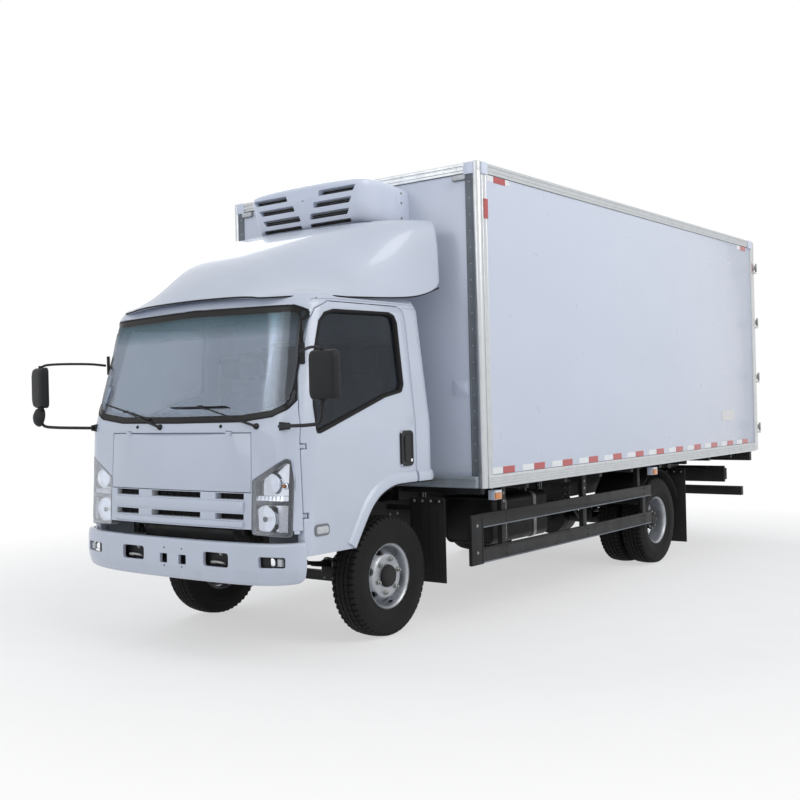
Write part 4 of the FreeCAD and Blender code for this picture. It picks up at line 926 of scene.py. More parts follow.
def make_finishes():
    c = colours()
    # painted shade: the cab's enamel is its white paint darkened, and the bumper takes the same
    # colour
    enamel("cab_enamel", tuple(c.cab))
    enamel("bumper_enamel", shade(tuple(c.cab), 0.99), 0.16)
    gel_coat("body_gel_coat", tuple(c.body))
    smooth_plastic("unit_white", shade(tuple(c.body), 1.12), 0.3, 0.3)
    brushed("aluminium_along", tuple(c.trim), 1)
    brushed("aluminium_up", tuple(c.trim), 2)
    brushed("aluminium_across", tuple(c.trim), 0)
    brushed("stainless_up", (0.66, 0.67, 0.68), 2, 0.24)
    brushed("stainless_across", (0.66, 0.67, 0.68), 0, 0.24)
    brushed("rivet_metal", (0.58, 0.6, 0.62), 0, 0.3, 300.0)
    satin("chassis_black", tuple(c.chassis))
    # near-black fill put in openings as painted shade of their insides
    satin("dark_void", (0.006, 0.006, 0.007), 0.8, 0.1)
    satin("zinc_steel", (0.36, 0.37, 0.36), 0.38, 0.25, 200.0, 0.85)
    satin("grey_paint", (0.17, 0.19, 0.215), 0.45, 0.25)
    satin("beam_grey", (0.3, 0.335, 0.37), 0.42, 0.2)
    cast("cast_iron", (0.105, 0.1, 0.095))
    cast("brake_iron", (0.2, 0.185, 0.17), 0.55)
    heated("exhaust_steel", (0.36, 0.355, 0.34))
    grained("black_plastic", tuple(c.plastic))
    grained("dash_grey", tuple(c.interior), 0.58, 800.0, 0.0003)
    grained("dash_dark", shade(tuple(c.interior), 0.22), 0.55, 800.0, 0.0003)
    smooth_plastic("gloss_black", (0.008, 0.0085, 0.01), 0.2, 0.08)
    smooth_plastic("ceramic_edge", (0.006, 0.006, 0.007), 0.22)
    smooth_plastic("headliner", (0.42, 0.42, 0.41), 0.75)
    smooth_plastic("bezel_grey", (0.16, 0.17, 0.19), 0.28, 0.2)
    # also the dark blocks of painted shade in the headlamps' slots
    smooth_plastic("bezel_dark_and_slot_shade", (0.045, 0.05, 0.06), 0.25, 0.2)
    bright("lamp_silver", (0.74, 0.76, 0.79), 0.16)
    bright("bezel_silver", (0.4, 0.41, 0.43), 0.25)
    smooth_plastic("screen_dark", (0.015, 0.02, 0.03), 0.08, 0.8)
    smooth_plastic("blank_plate", (0.72, 0.72, 0.7), 0.35, 0.2)
    smooth_plastic("reflector_white", (0.8, 0.82, 0.84), 0.3, 0.5)
    rubber("tyre_rubber", tuple(c.rubber))
    rubber("seal_rubber", (0.008, 0.008, 0.009), 0.06, 0.55, 400.0)
    rubber("flap_rubber", (0.022, 0.022, 0.023), 0.45, 0.6)
    silver_paint("wheel_silver", tuple(c.wheel))
    bright("chrome", (0.86, 0.88, 0.92))
    bright("mirror_glass", (0.82, 0.84, 0.86), 0.02)
    cloth("seat_cloth", tuple(c.seat))
    grained("seat_vinyl", shade(tuple(c.seat), 0.55), 0.5, 500.0, 0.0004)
    webbing("belt_webbing", (0.03, 0.03, 0.033))
    glass = tuple(c.glass)
    screen_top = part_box("cab_glass")[1][2]
    window("windscreen_glass", (0.84, 0.9, 0.98), shade(glass, 0.92), 0.022,
           (screen_top - 0.2, screen_top - 0.02, tuple(c.band)), 0.55)
    window("door_glass_tint", (0.52, 0.56, 0.6), shade(glass, 0.48), 0.0, gleam=0.38)
    lens("clear_lens", (0.97, 0.98, 1.0), 0.0)
    coloured_lens("red_lens", tuple(c.red))
    coloured_lens("amber_lens", tuple(c.amber))
    coloured_lens("clear_prisms", (0.72, 0.75, 0.78))
    fins("condenser_fins", (0.34, 0.35, 0.36))
    tread_plate("body_floor", (0.3, 0.31, 0.32))


# ---- cab --------------------------------------------------------------------------------------
# Windscreen glass in front view, right half from bottom to top (x, z).
SCREEN = [(0, 1.436), (0.56, 1.44), (0.8, 1.468), (0.896, 1.51), (0.93, 1.562), (0.94, 1.66),
          (0.938, 1.78), (0.912, 2.05), (0.896, 2.118), (0.83, 2.146), (0, 2.162)]
# Side window in side view (y, z).
DOOR_WINDOW = [(-0.822, 1.362), (-0.824, 1.535), (-0.784, 1.8), (-0.7, 2.046), (-0.65, 2.096),
               (-0.565, 2.118), (-0.01, 2.126), (0.042, 2.11), (0.064, 2.066), (0.066, 1.655),
               (0.04, 1.612), (-0.136, 1.58)]
BACK_WINDOW = [(-0.56, 1.56), (0.56, 1.56), (0.56, 1.98), (-0.56, 1.98)]
# Headlamp in front view (x, z) and the height of the bar between its two cells.
LAMP = [(0.662, 0.764), (0.94, 0.757), (0.946, 1.2), (0.905, 1.222), (0.662, 1.089)]
LAMP_BAR = 0.957
SLOT_COLUMNS = ((-0.48, 0.236), (0.0, 0.462), (0.48, 0.236))    # middle, width
SLOT_ROWS = ((0.848, 0.885), (0.971, 1.009))                    # bottom, top
# Raised bars of the grille (bottom, top) and how far they stand out.
GRILLE_BARS = ((0.8, 0.842), (0.892, 0.965))
GRILLE_OUT = 0.016


def lamp_outline(inset=0.0):
    return beside(spaced(rounded(LAMP, 0.022), 0.03), inset)


class TRUCK_OT_cab_shell(bpy.types.Operator):
    """Cab panels with rounded edges, lamp wells, roof gutter and rear wall ribs"""

    bl_idname = "truck.cab_shell"
    bl_label = "Cab shell"

    def execute(self, context):
        edge = sizes().edge
        wells = Shape()
        wells.facing(lamp_outline(-0.001), at(0, -1.25, 0), 0.3)
        wells.both_sides()
        for node in ("cab_back_wall", "cab_roof"):
            refined(node, "cab_enamel", edge)
        front = refined("cab_front", ("cab_enamel", "ceramic_edge", "dash_grey"), edge,
                        cutters=[wells])
        screen = Skin("cab_glass")
        inside = at(0.0, -0.35, 1.5)
        for face in front.data.polygons:
            if screen.covers(face.center, (0, 1, 0)):
                face.material_index = 1
            elif face.normal.dot(inside - face.center) > 0:
                face.material_index = 2
        self.corner_fillers()
        self.gutter()
        self.pressings()
        return {"FINISHED"}

    def corner_fillers(self):
        """Painted strips between each headlamp and the door."""
        skin = Skin("cab_front", "headlamps")
        outline = [(0.9465, 0.775), (0.968, 0.775), (0.966, 1.215), (0.925, 1.235),
                   (0.9475, 1.2035)]
        strip = Laid(skin, "front", 0.83)
        strip.pad(spaced(outline, 0.03), 0.0, -0.03, rings=3)
        strip.both_sides()
        strip.piece("lamp_corner_strips", "cab", "cab_white", "cab_enamel", bevel=0.002)

    def gutter(self):
        """Drip rail over each door and along the front of the roof."""
        rail = Laid(Skin("cab_roof", "cab_back_wall", "left_door"), "left")
        path = spaced([(-0.79, 2.15), (-0.69, 2.186), (-0.56, 2.196), (0.25, 2.2)], 0.05, False)
        rail.moulding(path, [(-0.006, -0.004), (0.006, -0.004), (0.007, 0.006), (0.002, 0.01),
                             (-0.005, 0.008)], closed=False)
        rail.both_sides()
        rail.piece("roof_gutters", "cab", "cab_white", "cab_enamel")

    def pressings(self):
        """Stiffening ribs across the cab's rear wall."""
        ribs = Laid(Skin("cab_back_wall"), "back")
        for z in (1.14, 1.24, 1.34, 1.44):
            path = spaced([(-0.72, z), (0.72, z)], 0.12, False)
            ribs.moulding(path, [(-0.022, -0.003), (0.022, -0.003), (0.012, 0.007),
                                 (-0.012, 0.007)], closed=False)
        ribs.piece("rear_wall_ribs", "cab", "cab_white", "cab_enamel", bevel=0.002)


class TRUCK_OT_grille(bpy.types.Operator):
    """Front lid, the two grille bars, and a near-black duct behind the slots and air guide under
    them as painted shade
    """

    bl_idname = "truck.grille"
    bl_label = "Lid and grille"

    def execute(self, context):
        refined("front_lid", "cab_enamel", sizes().edge)
        skin = Skin("cab_front")
        bars = Laid(skin, "front", 0.83)
        for low, high in GRILLE_BARS:
            middle_, half = (low + high) / 2.0, (high - low) / 2.0
            path = spaced([(-0.6, middle_), (0.6, middle_)], 0.03, False)
            section = [(-half, -0.004), (half, -0.004), (half * 0.9, GRILLE_OUT * 0.55),
                       (half * 0.45, GRILLE_OUT), (-half * 0.55, GRILLE_OUT * 0.9),
                       (-half, GRILLE_OUT * 0.3)]
            bars.moulding(path, section, closed=False)
        bars.piece("grille_bars", "cab", "cab_white", "cab_enamel", bevel=0.004, segments=3)
        # near-black trays and ribs behind the slots: painted shade of the opening
        duct = Shape()
        for middle_, width in SLOT_COLUMNS:
            for low, high in SLOT_ROWS:
                tray = rectangle(width + 0.02, high - low + 0.016, 0.006)
                start = at(middle_, -1.008, (low + high) / 2.0)
                duct.facing(tray, start, 0.014)
        for k in range(17):
            x = -0.56 + 0.07 * k
            duct.block(at(x - 0.002, -1.012, 0.835), at(x + 0.002, -1.004, 1.014))
        duct.piece("grille_duct", "cab", "black_plastic", "dark_void", bevel=0.001)
        # near-black air guide under the grille: painted shade of the gap above the bumper
        under = Shape()
        for low, high in ((-0.6, -0.5), (-0.3, 0.3), (0.5, 0.6)):
            under.block(at(low, -0.915, 0.7), at(high, -0.89, 0.775))
        for x in (-0.55, -0.24, -0.12, 0.0, 0.12, 0.24, 0.55):
            under.block(at(x - 0.012, -0.922, 0.705), at(x + 0.012, -0.915, 0.77))
        under.piece("lower_air_guide", "chassis", "black_plastic", "dark_void", bevel=0.002)
        return {"FINISHED"}


class TRUCK_OT_glazing(bpy.types.Operator):
    """Windscreen with its black border, rear window, and the rubbers of both"""

    bl_idname = "truck.glazing"
    bl_label = "Windscreen and rear window"

    def execute(self, context):
        refined("cab_glass", "windscreen_glass", 0.0, sharp=20)
        width = sizes().rubber_width
        skin = Skin("cab_glass")
        outline = spaced(rounded(symmetric(SCREEN), 0.05), 0.035)
        border = Laid(skin, "front")
        border.moulding(beside(outline, 0.024), [(-0.018, 0.0002), (0.018, 0.0002), (0.018, 0.0009),
                                                 (-0.018, 0.0009)])
        border.piece("windscreen_border", "cab", "glass", "ceramic_edge")
        rubber_ = Laid(Skin("cab_glass", "cab_front", "cab_roof"), "front")
        rubber_.moulding(beside(outline, 0.004), lip(width * 0.5, 0.0045, 0.001))
        rubber_.piece("windscreen_rubber", "cab", "black_plastic", "seal_rubber")
        back = Laid(Skin("cab_back_wall", "cab_glass"), "back")
        opening = spaced(rounded(BACK_WINDOW, 0.06), 0.04)
        back.moulding(opening, lip(width * 1.6, 0.01))
        back.piece("rear_window_rubber", "cab", "black_plastic", "seal_rubber")
        return {"FINISHED"}


class TRUCK_OT_headlamps(bpy.types.Operator):
    """Two-cell headlamps: bowls, reflectors, bulbs, ribbed strip and clear lenses"""

    bl_idname = "truck.headlamps"
    bl_label = "Headlamps"

    def execute(self, context):
        for side, word in SIDES:
            self.lamp(side, word)
        return {"FINISHED"}

    def lamp(self, side, word):
        skin = Skin("cab_front", "headlamps")
        outline = lamp_outline()
        case = Laid(skin, "front", 0.83)
        # the case is a deep tray: rim, side walls and back
        inner = beside(outline, 0.006)
        layers = [[case.drop(*p, lift) for p in line] for line,
                  lift in ((outline, -0.001), (inner, -0.001), (inner, -0.06),
                      (beside(outline, 0.03), -0.064))]
        centre = sum((Vector(p) for p in outline), Vector((0, 0))) / len(outline)
        layers.append([case.drop(*centre.lerp(Vector(p), 0.02), -0.064) for p in outline])
        layers.append([case.drop(*centre.lerp(Vector(p), 0.02), -0.067) for p in outline])
        layers += [[case.drop(*p, -0.067) for p in beside(outline, 0.024)],
                   [case.drop(*p, -0.062) for p in outline]]
        case.loft(layers + [layers[0]], caps=False)
        bar = [(0.664, LAMP_BAR), (0.943, LAMP_BAR)]
        case.moulding(spaced(bar, 0.03, False), [(-0.015, -0.06), (0.015, -0.06), (0.013, -0.005),
                                                 (-0.013, -0.005)], closed=False, look=1)
        case.moulding(beside(outline, 0.013), [(-0.012, -0.012), (0.012, -0.04), (0.011, -0.008),
                                               (-0.012, -0.0018)], look=1)
        case.on_side(side).piece(word + "_headlamp_case", "cab", "lamp_clear",
                                 ("bezel_grey", "bezel_dark_and_slot_shade"), ("headlamps",), bevel=0.001)
        self.optics(skin, side, word)
        lens_ = Laid(skin, "front", 0.83)
        lens_.pad(beside(outline, 0.003), 0.0015, -0.0015, rings=9)
        lens_.on_side(side).piece(word + "_headlamp_lens", "cab", "lamp_clear", "clear_lens")

    def optics(self, skin, side, word):
        place = Laid(skin, "front", 0.83)

        def bowl(x, z, radius, depth, look=0, squash=1.0):
            middle_ = place.drop(x, z, -0.054)
            rings = []
            for out, share in ((depth, 1.0), (depth * 0.62, 0.93), (depth * 0.3, 0.76),
                               (depth * 0.08, 0.48), (0.0, 0.2), (0.0, 0.05)):
                rings.append([middle_ + Vector((radius * share * math.cos(a), -out,
                                                radius * squash * share * math.sin(a)))
                              for a in (math.tau * k / 40 for k in range(40))])
            back = [[p + Vector((0, 0.003, 0)) for p in ring] for ring in reversed(rings)]
            optic.loft(rings + back, look)
            return middle_

        optic = Shape()
        # upper cell: a facetted panel, a round reflector and a turn bulb over a ribbed strip
        upper = [(0.67, 1.0), (0.932, 1.0), (0.936, 1.19), (0.9, 1.208), (0.67, 1.084)]
        panel = Laid(skin, "front", 0.83)
        panel.pad(spaced(rounded(upper, 0.012), 0.03), -0.046, -0.052, rings=4, look=1)
        lower = [(0.67, 0.775), (0.93, 0.772), (0.934, 0.946), (0.67, 0.946)]
        panel.pad(spaced(rounded(lower, 0.012), 0.03), -0.048, -0.053, rings=4, look=1)
        centre_up = bowl(0.8, 1.072, 0.062, 0.034)
        centre_low = bowl(0.758, 0.862, 0.08, 0.038)
        for middle_, radius in ((centre_up, 0.013), (centre_low, 0.016)):
            optic.turned([(0, radius), (0.016, radius), (0.024, radius * 0.7),
                          (0.028, radius * 0.2)], middle_, (0, -1, 0), 20, 2)
        optic.turned([(0, 0.011), (0.02, 0.011), (0.03, 0.007), (0.033, 0.002)],
                     place.drop(0.895, 1.06, -0.045), (0, -1, 0), 18, 3)
        optic.turned([(0, 0.02), (0.006, 0.02), (0.009, 0.014)],
                     place.drop(0.895, 1.06, -0.047), (0, -1, 0), 24)
        strip = Laid(skin, "front", 0.83)
        strip.moulding(spaced([(0.67, 0.984), (0.934, 0.984)], 0.03, False),
                       [(-0.016, -0.05), (0.014, -0.05), (0.014, -0.022), (-0.016, -0.014)],
                       closed=False, look=1)
        for k in range(9):
            x = 0.684 + 0.03 * k
            strip.moulding([(x, 0.97), (x, 0.998)],
                           [(-0.0022, -0.024), (0.0022, -0.024), (0.0022, -0.011),
                            (-0.0022, -0.011)], closed=False)
        # smooth outer strip of the lower cell
        strip.pad(spaced(rounded([(0.858, 0.785), (0.926, 0.783), (0.928, 0.938), (0.85, 0.938)],
                                 0.015), 0.03), -0.018, -0.05, 0.004, look=4, rings=5)
        # shield before the main bulb, and the slot over it drawn as a dark block: painted shade
        optic.turned([(0.028, 0.017), (0.044, 0.016), (0.048, 0.01)], centre_low, (0, -1, 0), 20, 5)
        optic.block(centre_low + Vector((-0.062, -0.034, 0.034)),
                    centre_low + Vector((0.062, -0.024, 0.044)), 5)
        # the same dark block of painted shade over the upper reflector
        optic.block(centre_up + Vector((-0.056, -0.03, 0.024)),
                    centre_up + Vector((0.05, -0.022, 0.031)), 5)
        optic.include(panel).include(strip)
        optic.on_side(side).piece(word + "_headlamp_optics", "cab", "lamp_clear",
                                  ("chrome", "lamp_silver", "clear_prisms", "amber_lens",
                                      "bezel_silver", "bezel_dark_and_slot_shade"), bevel=0.0008, segments=1)


class TRUCK_OT_bumper(bpy.types.Operator):
    """Front bumper with its crease, tow openings, square and round holes, and fog lamps"""

    bl_idname = "truck.bumper"
    bl_label = "Bumper"

    # Plan of the outer face from the middle to the end, with the face's top and bottom there
    # (x, y, top, bottom).
    STATIONS = ((0.0, -1.098, 0.713, 0.453), (0.2, -1.098, 0.713, 0.453),
                (0.42, -1.095, 0.714, 0.454), (0.64, -1.088, 0.716, 0.457),
                (0.76, -1.077, 0.718, 0.462), (0.86, -1.06, 0.72, 0.468),
                (0.93, -1.036, 0.723, 0.474), (0.975, -1.01, 0.725, 0.48),
                (1.003, -0.983, 0.727, 0.486), (1.015, -0.96, 0.728, 0.5),
                (1.018, -0.95, 0.728, 0.512))
    WALL = 0.022
    # Face from top to bottom: share of the height, distance behind the foremost line.
    FACE = ((1.0, 0.026), (0.985, 0.01), (0.95, 0.004), (0.62, 0.001), (0.36, 0.0), (0.3, 0.003),
            (0.16, 0.012), (0.05, 0.019), (0.0, 0.034))
    FOG = ((0.737, 0.574), (0.92, 0.58), (0.92, 0.643), (0.737, 0.64))

    def execute(self, context):
        shell = Shape()
        rings = []
        path = [(-x, y, t, b) for x, y, t, b in reversed(self.STATIONS) if x] + list(self.STATIONS)
        for i, (x, y, top, bottom) in enumerate(path):
            before, after = path[max(i - 1, 0)], path[min(i + 1, len(path) - 1)]
            along = Vector((after[0] - before[0], after[1] - before[1], 0)).normalized()
            inward = Vector((-along.y, along.x, 0))
            outer = [at(x, y, bottom + (top - bottom) * share) + inward * back for share,
                     back in self.FACE]
            inner = [p + inward * self.WALL for p in outer[::-1]]
            inner[0].z += 0.004
            rings.append(outer + inner)
        shell.loft(rings)
        obj = shell.object("front_bumper_skin")
        modified(obj, "SUBSURF", levels=2, render_levels=2)
        applied(obj)
        holes = Shape()
        for x, z, w, h, r in ((0.388, 0.603, 0.216, 0.088, 0.022),
                              (-0.388, 0.603, 0.216, 0.088, 0.022),
                              (0.088, 0.584, 0.07, 0.06, 0.006),
                              (-0.088, 0.584, 0.07, 0.06, 0.006)):
            holes.facing(rectangle(w, h, r), at(x, -1.2, z), 0.3)
        for x in (0.0825, -0.0825):
            for z in (0.65, 0.536):
                holes.turned([(0, 0.0075), (0.3, 0.0075)], at(x, -1.2, z), (0, 1, 0), 16)
        carved(obj, holes)
        recess = Shape()
        recess.facing(rounded(self.FOG, 0.014), at(0, -1.2, 0), 0.205)
        recess.both_sides()
        carved(obj, recess)
        finish(obj, "chassis", "bumper_enamel", ("front_bumper",), 0.0025, 2, 30)
        self.behind()
        for side, word in SIDES:
            self.fog_lamp(side, word)
        return {"FINISHED"}

    def behind(self):
        """Black cross member seen through the openings, with the two tow eyes."""
        beam = Shape()
        beam.block(at(-0.8, -1.045, 0.535), at(0.8, -1.005, 0.665))
        for x in (0.388, -0.388):
            beam.tube(smooth_path([at(x - 0.05, -1.05, 0.575), at(x - 0.05, -1.078, 0.585),
                                   at(x, -1.088, 0.59), at(x + 0.05, -1.078, 0.585),
                                   at(x + 0.05, -1.05, 0.575)], 5), 0.008, 1)
            beam.bolt(at(x, -1.045, 0.635), (0, -1, 0), 0.011, 0.01, 1)
        for x in (0.56, -0.56):
            beam.block(at(x - 0.03, -1.07, 0.5), at(x + 0.03, -0.97, 0.68))
        beam.piece("bumper_beam", "chassis", "chassis_black", ("chassis_black", "zinc_steel"),
                   bevel=0.003)

    def fog_lamp(self, side, word):
        lamp = Shape()
        outline = rounded(self.FOG, 0.014)
        middle_ = at(0.8285, -1.03, 0.609)
        def y_at(x):
            return -1.047 + 0.3 * max(0.0, x - 0.73)
        front = [at(x, y_at(x), z) for x, z in beside(outline, 0.002)]
        inner = [at(x, y_at(x) - 0.001, z) for x, z in beside(outline, 0.011)]
        deep = [p + Vector((0, 0.028, 0)) for p in inner]
        back = [p + Vector((0, 0.034, 0)) for p in front]
        lamp.loft([back, front, inner, deep])
        lamp.turned([(0.03, 0.024), (0.02, 0.023), (0.008, 0.018), (0.004, 0.008), (0.003, 0.0)],
                    middle_ + Vector((-0.012, 0.02, 0)), (0, -1, 0), 28, 1)
        lamp.turned([(0, 0.007), (0.012, 0.007), (0.018, 0.003)],
                    middle_ + Vector((-0.012, 0.012, 0)), (0, -1, 0), 16, 2)
        lamp.block(middle_ + Vector((0.03, -0.008, -0.022)), middle_ + Vector((0.062, 0.012, 0.02)),
                   3)
        lamp.on_side(side).piece(word + "_fog_lamp", "chassis", "lamp_clear",
                                 ("bezel_grey", "chrome", "clear_prisms", "clear_prisms"),
                                 bevel=0.001)
        lens_ = Shape()
        lens_.loft([[p + Vector((0, -0.0005, 0)) for p in inner],
                    [p + Vector((0, 0.002, 0)) for p in inner]])
        lens_.on_side(side).piece(word + "_fog_lens", "chassis", "lamp_clear", "clear_lens")


# Edge of the front wheel arch in side view (y, z), from the sill to its top.
ARCH_LINE = [(-0.5, 0.64), (-0.399, 0.787), (-0.32, 0.886), (-0.223, 0.958), (-0.09, 1.003),
             (0.049, 1.01), (0.15, 1.01)]
HANDLE = (0.055, 1.2335, 0.134, 0.235)      # middle y and z, width, height
SIDE_LAMP = (-0.8, 0.785, 0.132, 0.07)
DOOR_SPLIT = 0.16


class TRUCK_OT_doors(bpy.types.Operator):
    """Cab doors with window rubbers, handles, side lamps, arch lips and inner trim"""

    bl_idname = "truck.doors"
    bl_label = "Cab doors"

    def execute(self, context):
        for side, word in SIDES:
            body = word + "_door"
            refined(body, "cab_enamel", sizes().edge, sharp=28)
            refined(word + "_door_glass", "door_glass_tint", 0.0, sharp=20)
            skin = Skin("left_door")
            self.window_rubber(side, word, body)
            self.handle(side, word, body)
            self.side_lamp(skin, side, word, body)
            self.lips(side, word, body)
            self.trim(side, word, body)
        return {"FINISHED"}

    def window_rubber(self, side, word, body):
        seal = Laid(Skin("left_door", "left_door_glass"), "left")
        outline = spaced(rounded(DOOR_WINDOW, 0.03), 0.03)[::-1]
        seal.moulding(outline, [(-0.009, -0.004), (0.003, -0.024), (0.016, -0.022), (0.01, -0.002),
                                (0.002, 0.0035), (-0.009, 0.003)], anchor=-0.016)
        seal.on_side(side).piece(word + "_door_window_rubber", body, "black_plastic", "seal_rubber",
                                 sharp=40)

    def handle(self, side, word, body):
        """Upright recessed handle with its grip bar and lock barrel."""
        y, z, width, height = HANDLE
        grip = Shape()

        def ring(x, w, h, radius):
            return [at(x, y + a, z + b) for a, b in rectangle(w, h, radius, 6)]
        grip.loft([ring(0.975, width, height, 0.032), ring(1.011, width, height, 0.032),
                   ring(1.0145, width - 0.006, height - 0.006, 0.03),
                   ring(1.0155, width - 0.034, height - 0.034, 0.026),
                   ring(1.0145, width - 0.038, height - 0.038, 0.024)])
        bar = [ring(1.0145, width - 0.072, height - 0.05, 0.02),
               ring(1.0185, width - 0.078, height - 0.056, 0.018)]
        grip.loft(bar)
        grip.turned([(0, 0.011), (0.0045, 0.011), (0.006, 0.008)], at(1.0135, y + 0.04, z - 0.08),
                    (1, 0, 0), 20, 1)
        grip.on_side(side).piece(word + "_door_handle", body, "black_plastic",
                                 ("gloss_black", "chrome"))

    def side_lamp(self, skin, side, word, body):
        y, z, width, height = SIDE_LAMP
        lamp = Laid(skin, "left")
        outline = [(y + a, z + b) for a, b in rectangle(width, height, 0.028, 6)]
        lamp.pad(spaced(outline, 0.03), 0.008, -0.003, rings=4, edge=0.003)
        inner = [(y + a, z + b) for a, b in rectangle(width - 0.026, height - 0.026, 0.018, 6)]
        lamp.pad(spaced(inner, 0.03), 0.012, 0.004, crown=0.004, rings=5, edge=0.003, look=1)
        lamp.on_side(side).piece(word + "_side_lamp", body, "lamp_clear",
                                 ("bezel_grey", "clear_prisms"))

    def lips(self, side, word, body):
        """Swelling of the panels round the wheel arch and the black edge under it."""
        section = [(-0.002, -0.006), (-0.002, 0.013), (0.008, 0.019), (0.044, 0.018), (0.06, 0.012),
                   (0.07, 0.002), (0.074, -0.001), (0.074, -0.006)]
        edge = [(-0.012, -0.02), (0.0, -0.02), (0.0, 0.011), (-0.004, 0.015), (-0.012, 0.01)]
        whole = smooth_path([(y, z, 0) for y, z in ARCH_LINE + [(0.38, 1.01)]], 8)
        path = [(p.x, p.y) for p in whole]
        for node, ride_on in (("left_door", body), ("cab_back_wall", "cab")):
            keep = [p for p in path if (p[0] < DOOR_SPLIT) == (node == "left_door")]
            lip_ = Laid(Skin(node), "left")
            lip_.moulding(keep, section, closed=False, anchor=0.02)
            lip_.moulding(keep, edge, closed=False, look=1, anchor=0.02)
            name = word + ("_door_arch_lip" if node == "left_door" else "_cab_arch_lip")
            lip_.on_side(side).piece(name, ride_on, "cab_white", ("cab_enamel", "black_plastic"),
                                     sharp=50)

    def trim(self, side, word, body):
        """Inner door lining with armrest, pull and winder."""
        inside = Laid(Skin("left_door"), "right")
        outline = rounded([(-0.8, 0.7), (-0.42, 0.86), (-0.26, 1.03), (0.06, 1.06), (0.06, 1.5),
                           (-0.16, 1.49), (-0.8, 1.29)], 0.04)
        inside.pad(spaced(outline[::-1], 0.05), 0.01, -0.004, rings=5, edge=0.004)
        inside.pad(spaced(rounded([(-0.36, 1.2), (0.02, 1.2), (0.02, 1.27), (-0.36, 1.27)],
                                  0.03)[::-1], 0.04), 0.055, 0.0, rings=4, edge=0.012)
        inside.pad(spaced([(-0.58 + a, 1.16 + b) for a, b in circle(0.032)][::-1], 0.03), 0.03, 0.0,
                   rings=3, edge=0.004, look=1)
        inside.pad(spaced(rounded([(-0.66, 0.86), (-0.46, 0.93), (-0.46, 1.04), (-0.66, 1.04)],
                                  0.03)[::-1], 0.04), 0.028, 0.0, rings=4, edge=0.006, look=1)
        inside.on_side(side).piece(word + "_door_lining", body, "interior_grey",
                                   ("dash_grey", "dash_dark"))


class TRUCK_OT_mirrors(bpy.types.Operator):
    """Door mirrors on their arms, with the round kerb mirror on the right"""

    bl_idname = "truck.mirrors"
    bl_label = "Mirrors"

    HEAD = (1.33, -1.125, 1.7)
    TURN = math.radians(11)

    def execute(self, context):
        for side, word in SIDES:
            mirror = Shape()
            self.head(mirror)
            self.arms(mirror)
            if side < 0:
                self.kerb_mirror(mirror)
            mirror.on_side(side).piece(word + "_mirror", "cab", "black_plastic",
                                       ("black_plastic", "mirror_glass", "gloss_black"),
                                       ("mirrors",), bevel=0.0015)
        return {"FINISHED"}

    def head(self, mirror):
        """Moulded housing, thicker in its middle, with the glass set in its rear."""
        rings = []
        for depth, width, height, radius in ((-0.032, 0.11, 0.2, 0.04),
                                             (-0.03, 0.138, 0.232, 0.045),
                                             (-0.022, 0.166, 0.262, 0.045),
                                             (-0.004, 0.184, 0.28, 0.04),
                                             (0.02, 0.19, 0.286, 0.036),
                                             (0.026, 0.186, 0.282, 0.034),
                                             (0.026, 0.172, 0.268, 0.03),
                                             (0.02, 0.17, 0.266, 0.03)):
            rings.append([Vector((a, depth, b)) for a, b in rectangle(width, height, radius, 6)])
        local = Shape().loft(rings)
        glass = [[Vector((a, y, b)) for a, b in rectangle(0.168 * k, 0.264 * k, 0.028, 6)]
                 for y, k in ((0.021, 1.0), (0.0235, 0.99))]
        local.loft(glass, 1)
        turn = Matrix.Translation(at(*self.HEAD)) @ Matrix.Rotation(self.TURN, 4, "Z")
        mirror.include(local, turn)

    def arms(self, mirror):
        x, y, z = self.HEAD
        lower = smooth_path([at(0.88, -1.02, 1.412), at(1.0, -1.062, 1.415), at(1.18, -1.105, 1.42),
                             at(1.285, -1.125, 1.432), at(1.312, -1.128, 1.475),
                             at(1.315, -1.127, 1.58)])
        mirror.tube(lower, 0.0105)
        upper = smooth_path([at(0.925, -0.865, 1.845), at(1.02, -0.945, 1.858),
                             at(1.2, -1.075, 1.862), at(1.3, -1.12, 1.85), at(1.318, -1.127, 1.8)])
        mirror.tube(upper, 0.0085)
        foot = [Vector(p) for p in ((0, 0, -0.03), (0.045, -0.012, -0.022), (0.045, -0.012, 0.014),
                                    (0, 0, 0.022))]
        base = at(0.862, -1.004, 1.416)
        mirror.loft([[base + p for p in foot],
                     [base + p + Vector((0.018, 0.045, 0)) for p in foot]])
        mirror.bolt(base + Vector((0.022, -0.008, 0.002)), (0.25, -0.95, 0), 0.007, 0.006, 2)
        bracket = at(0.912, -0.842, 1.845)
        mirror.prism(rectangle(0.03, 0.13, 0.01), bracket, (0.65, 0.76, 0), (0, 0, 1),
                     (0.014, -0.01, 0))
        mirror.rod(at(x - 0.015, y, z - 0.175), at(x - 0.015, y, z - 0.135), 0.016)
        mirror.rod(at(x - 0.012, y, z + 0.135), at(x - 0.012, y, z + 0.155), 0.014)

    def kerb_mirror(self, mirror):
        centre = at(1.34, -1.13, 1.497)
        mirror.turned([(-0.034, 0.012), (-0.03, 0.034), (-0.018, 0.056), (0.0, 0.068),
                       (0.012, 0.07), (0.015, 0.066), (0.011, 0.064)], centre, (-0.15, 0.95, -0.15),
                      36)
        mirror.turned([(0.008, 0.064), (0.016, 0.045), (0.021, 0.02), (0.022, 0.0)], centre,
                      (-0.15, 0.95, -0.15), 36, 1)
        mirror.rod(centre + Vector((-0.028, 0, 0.05)), centre + Vector((-0.024, 0.0, -0.04)), 0.009)


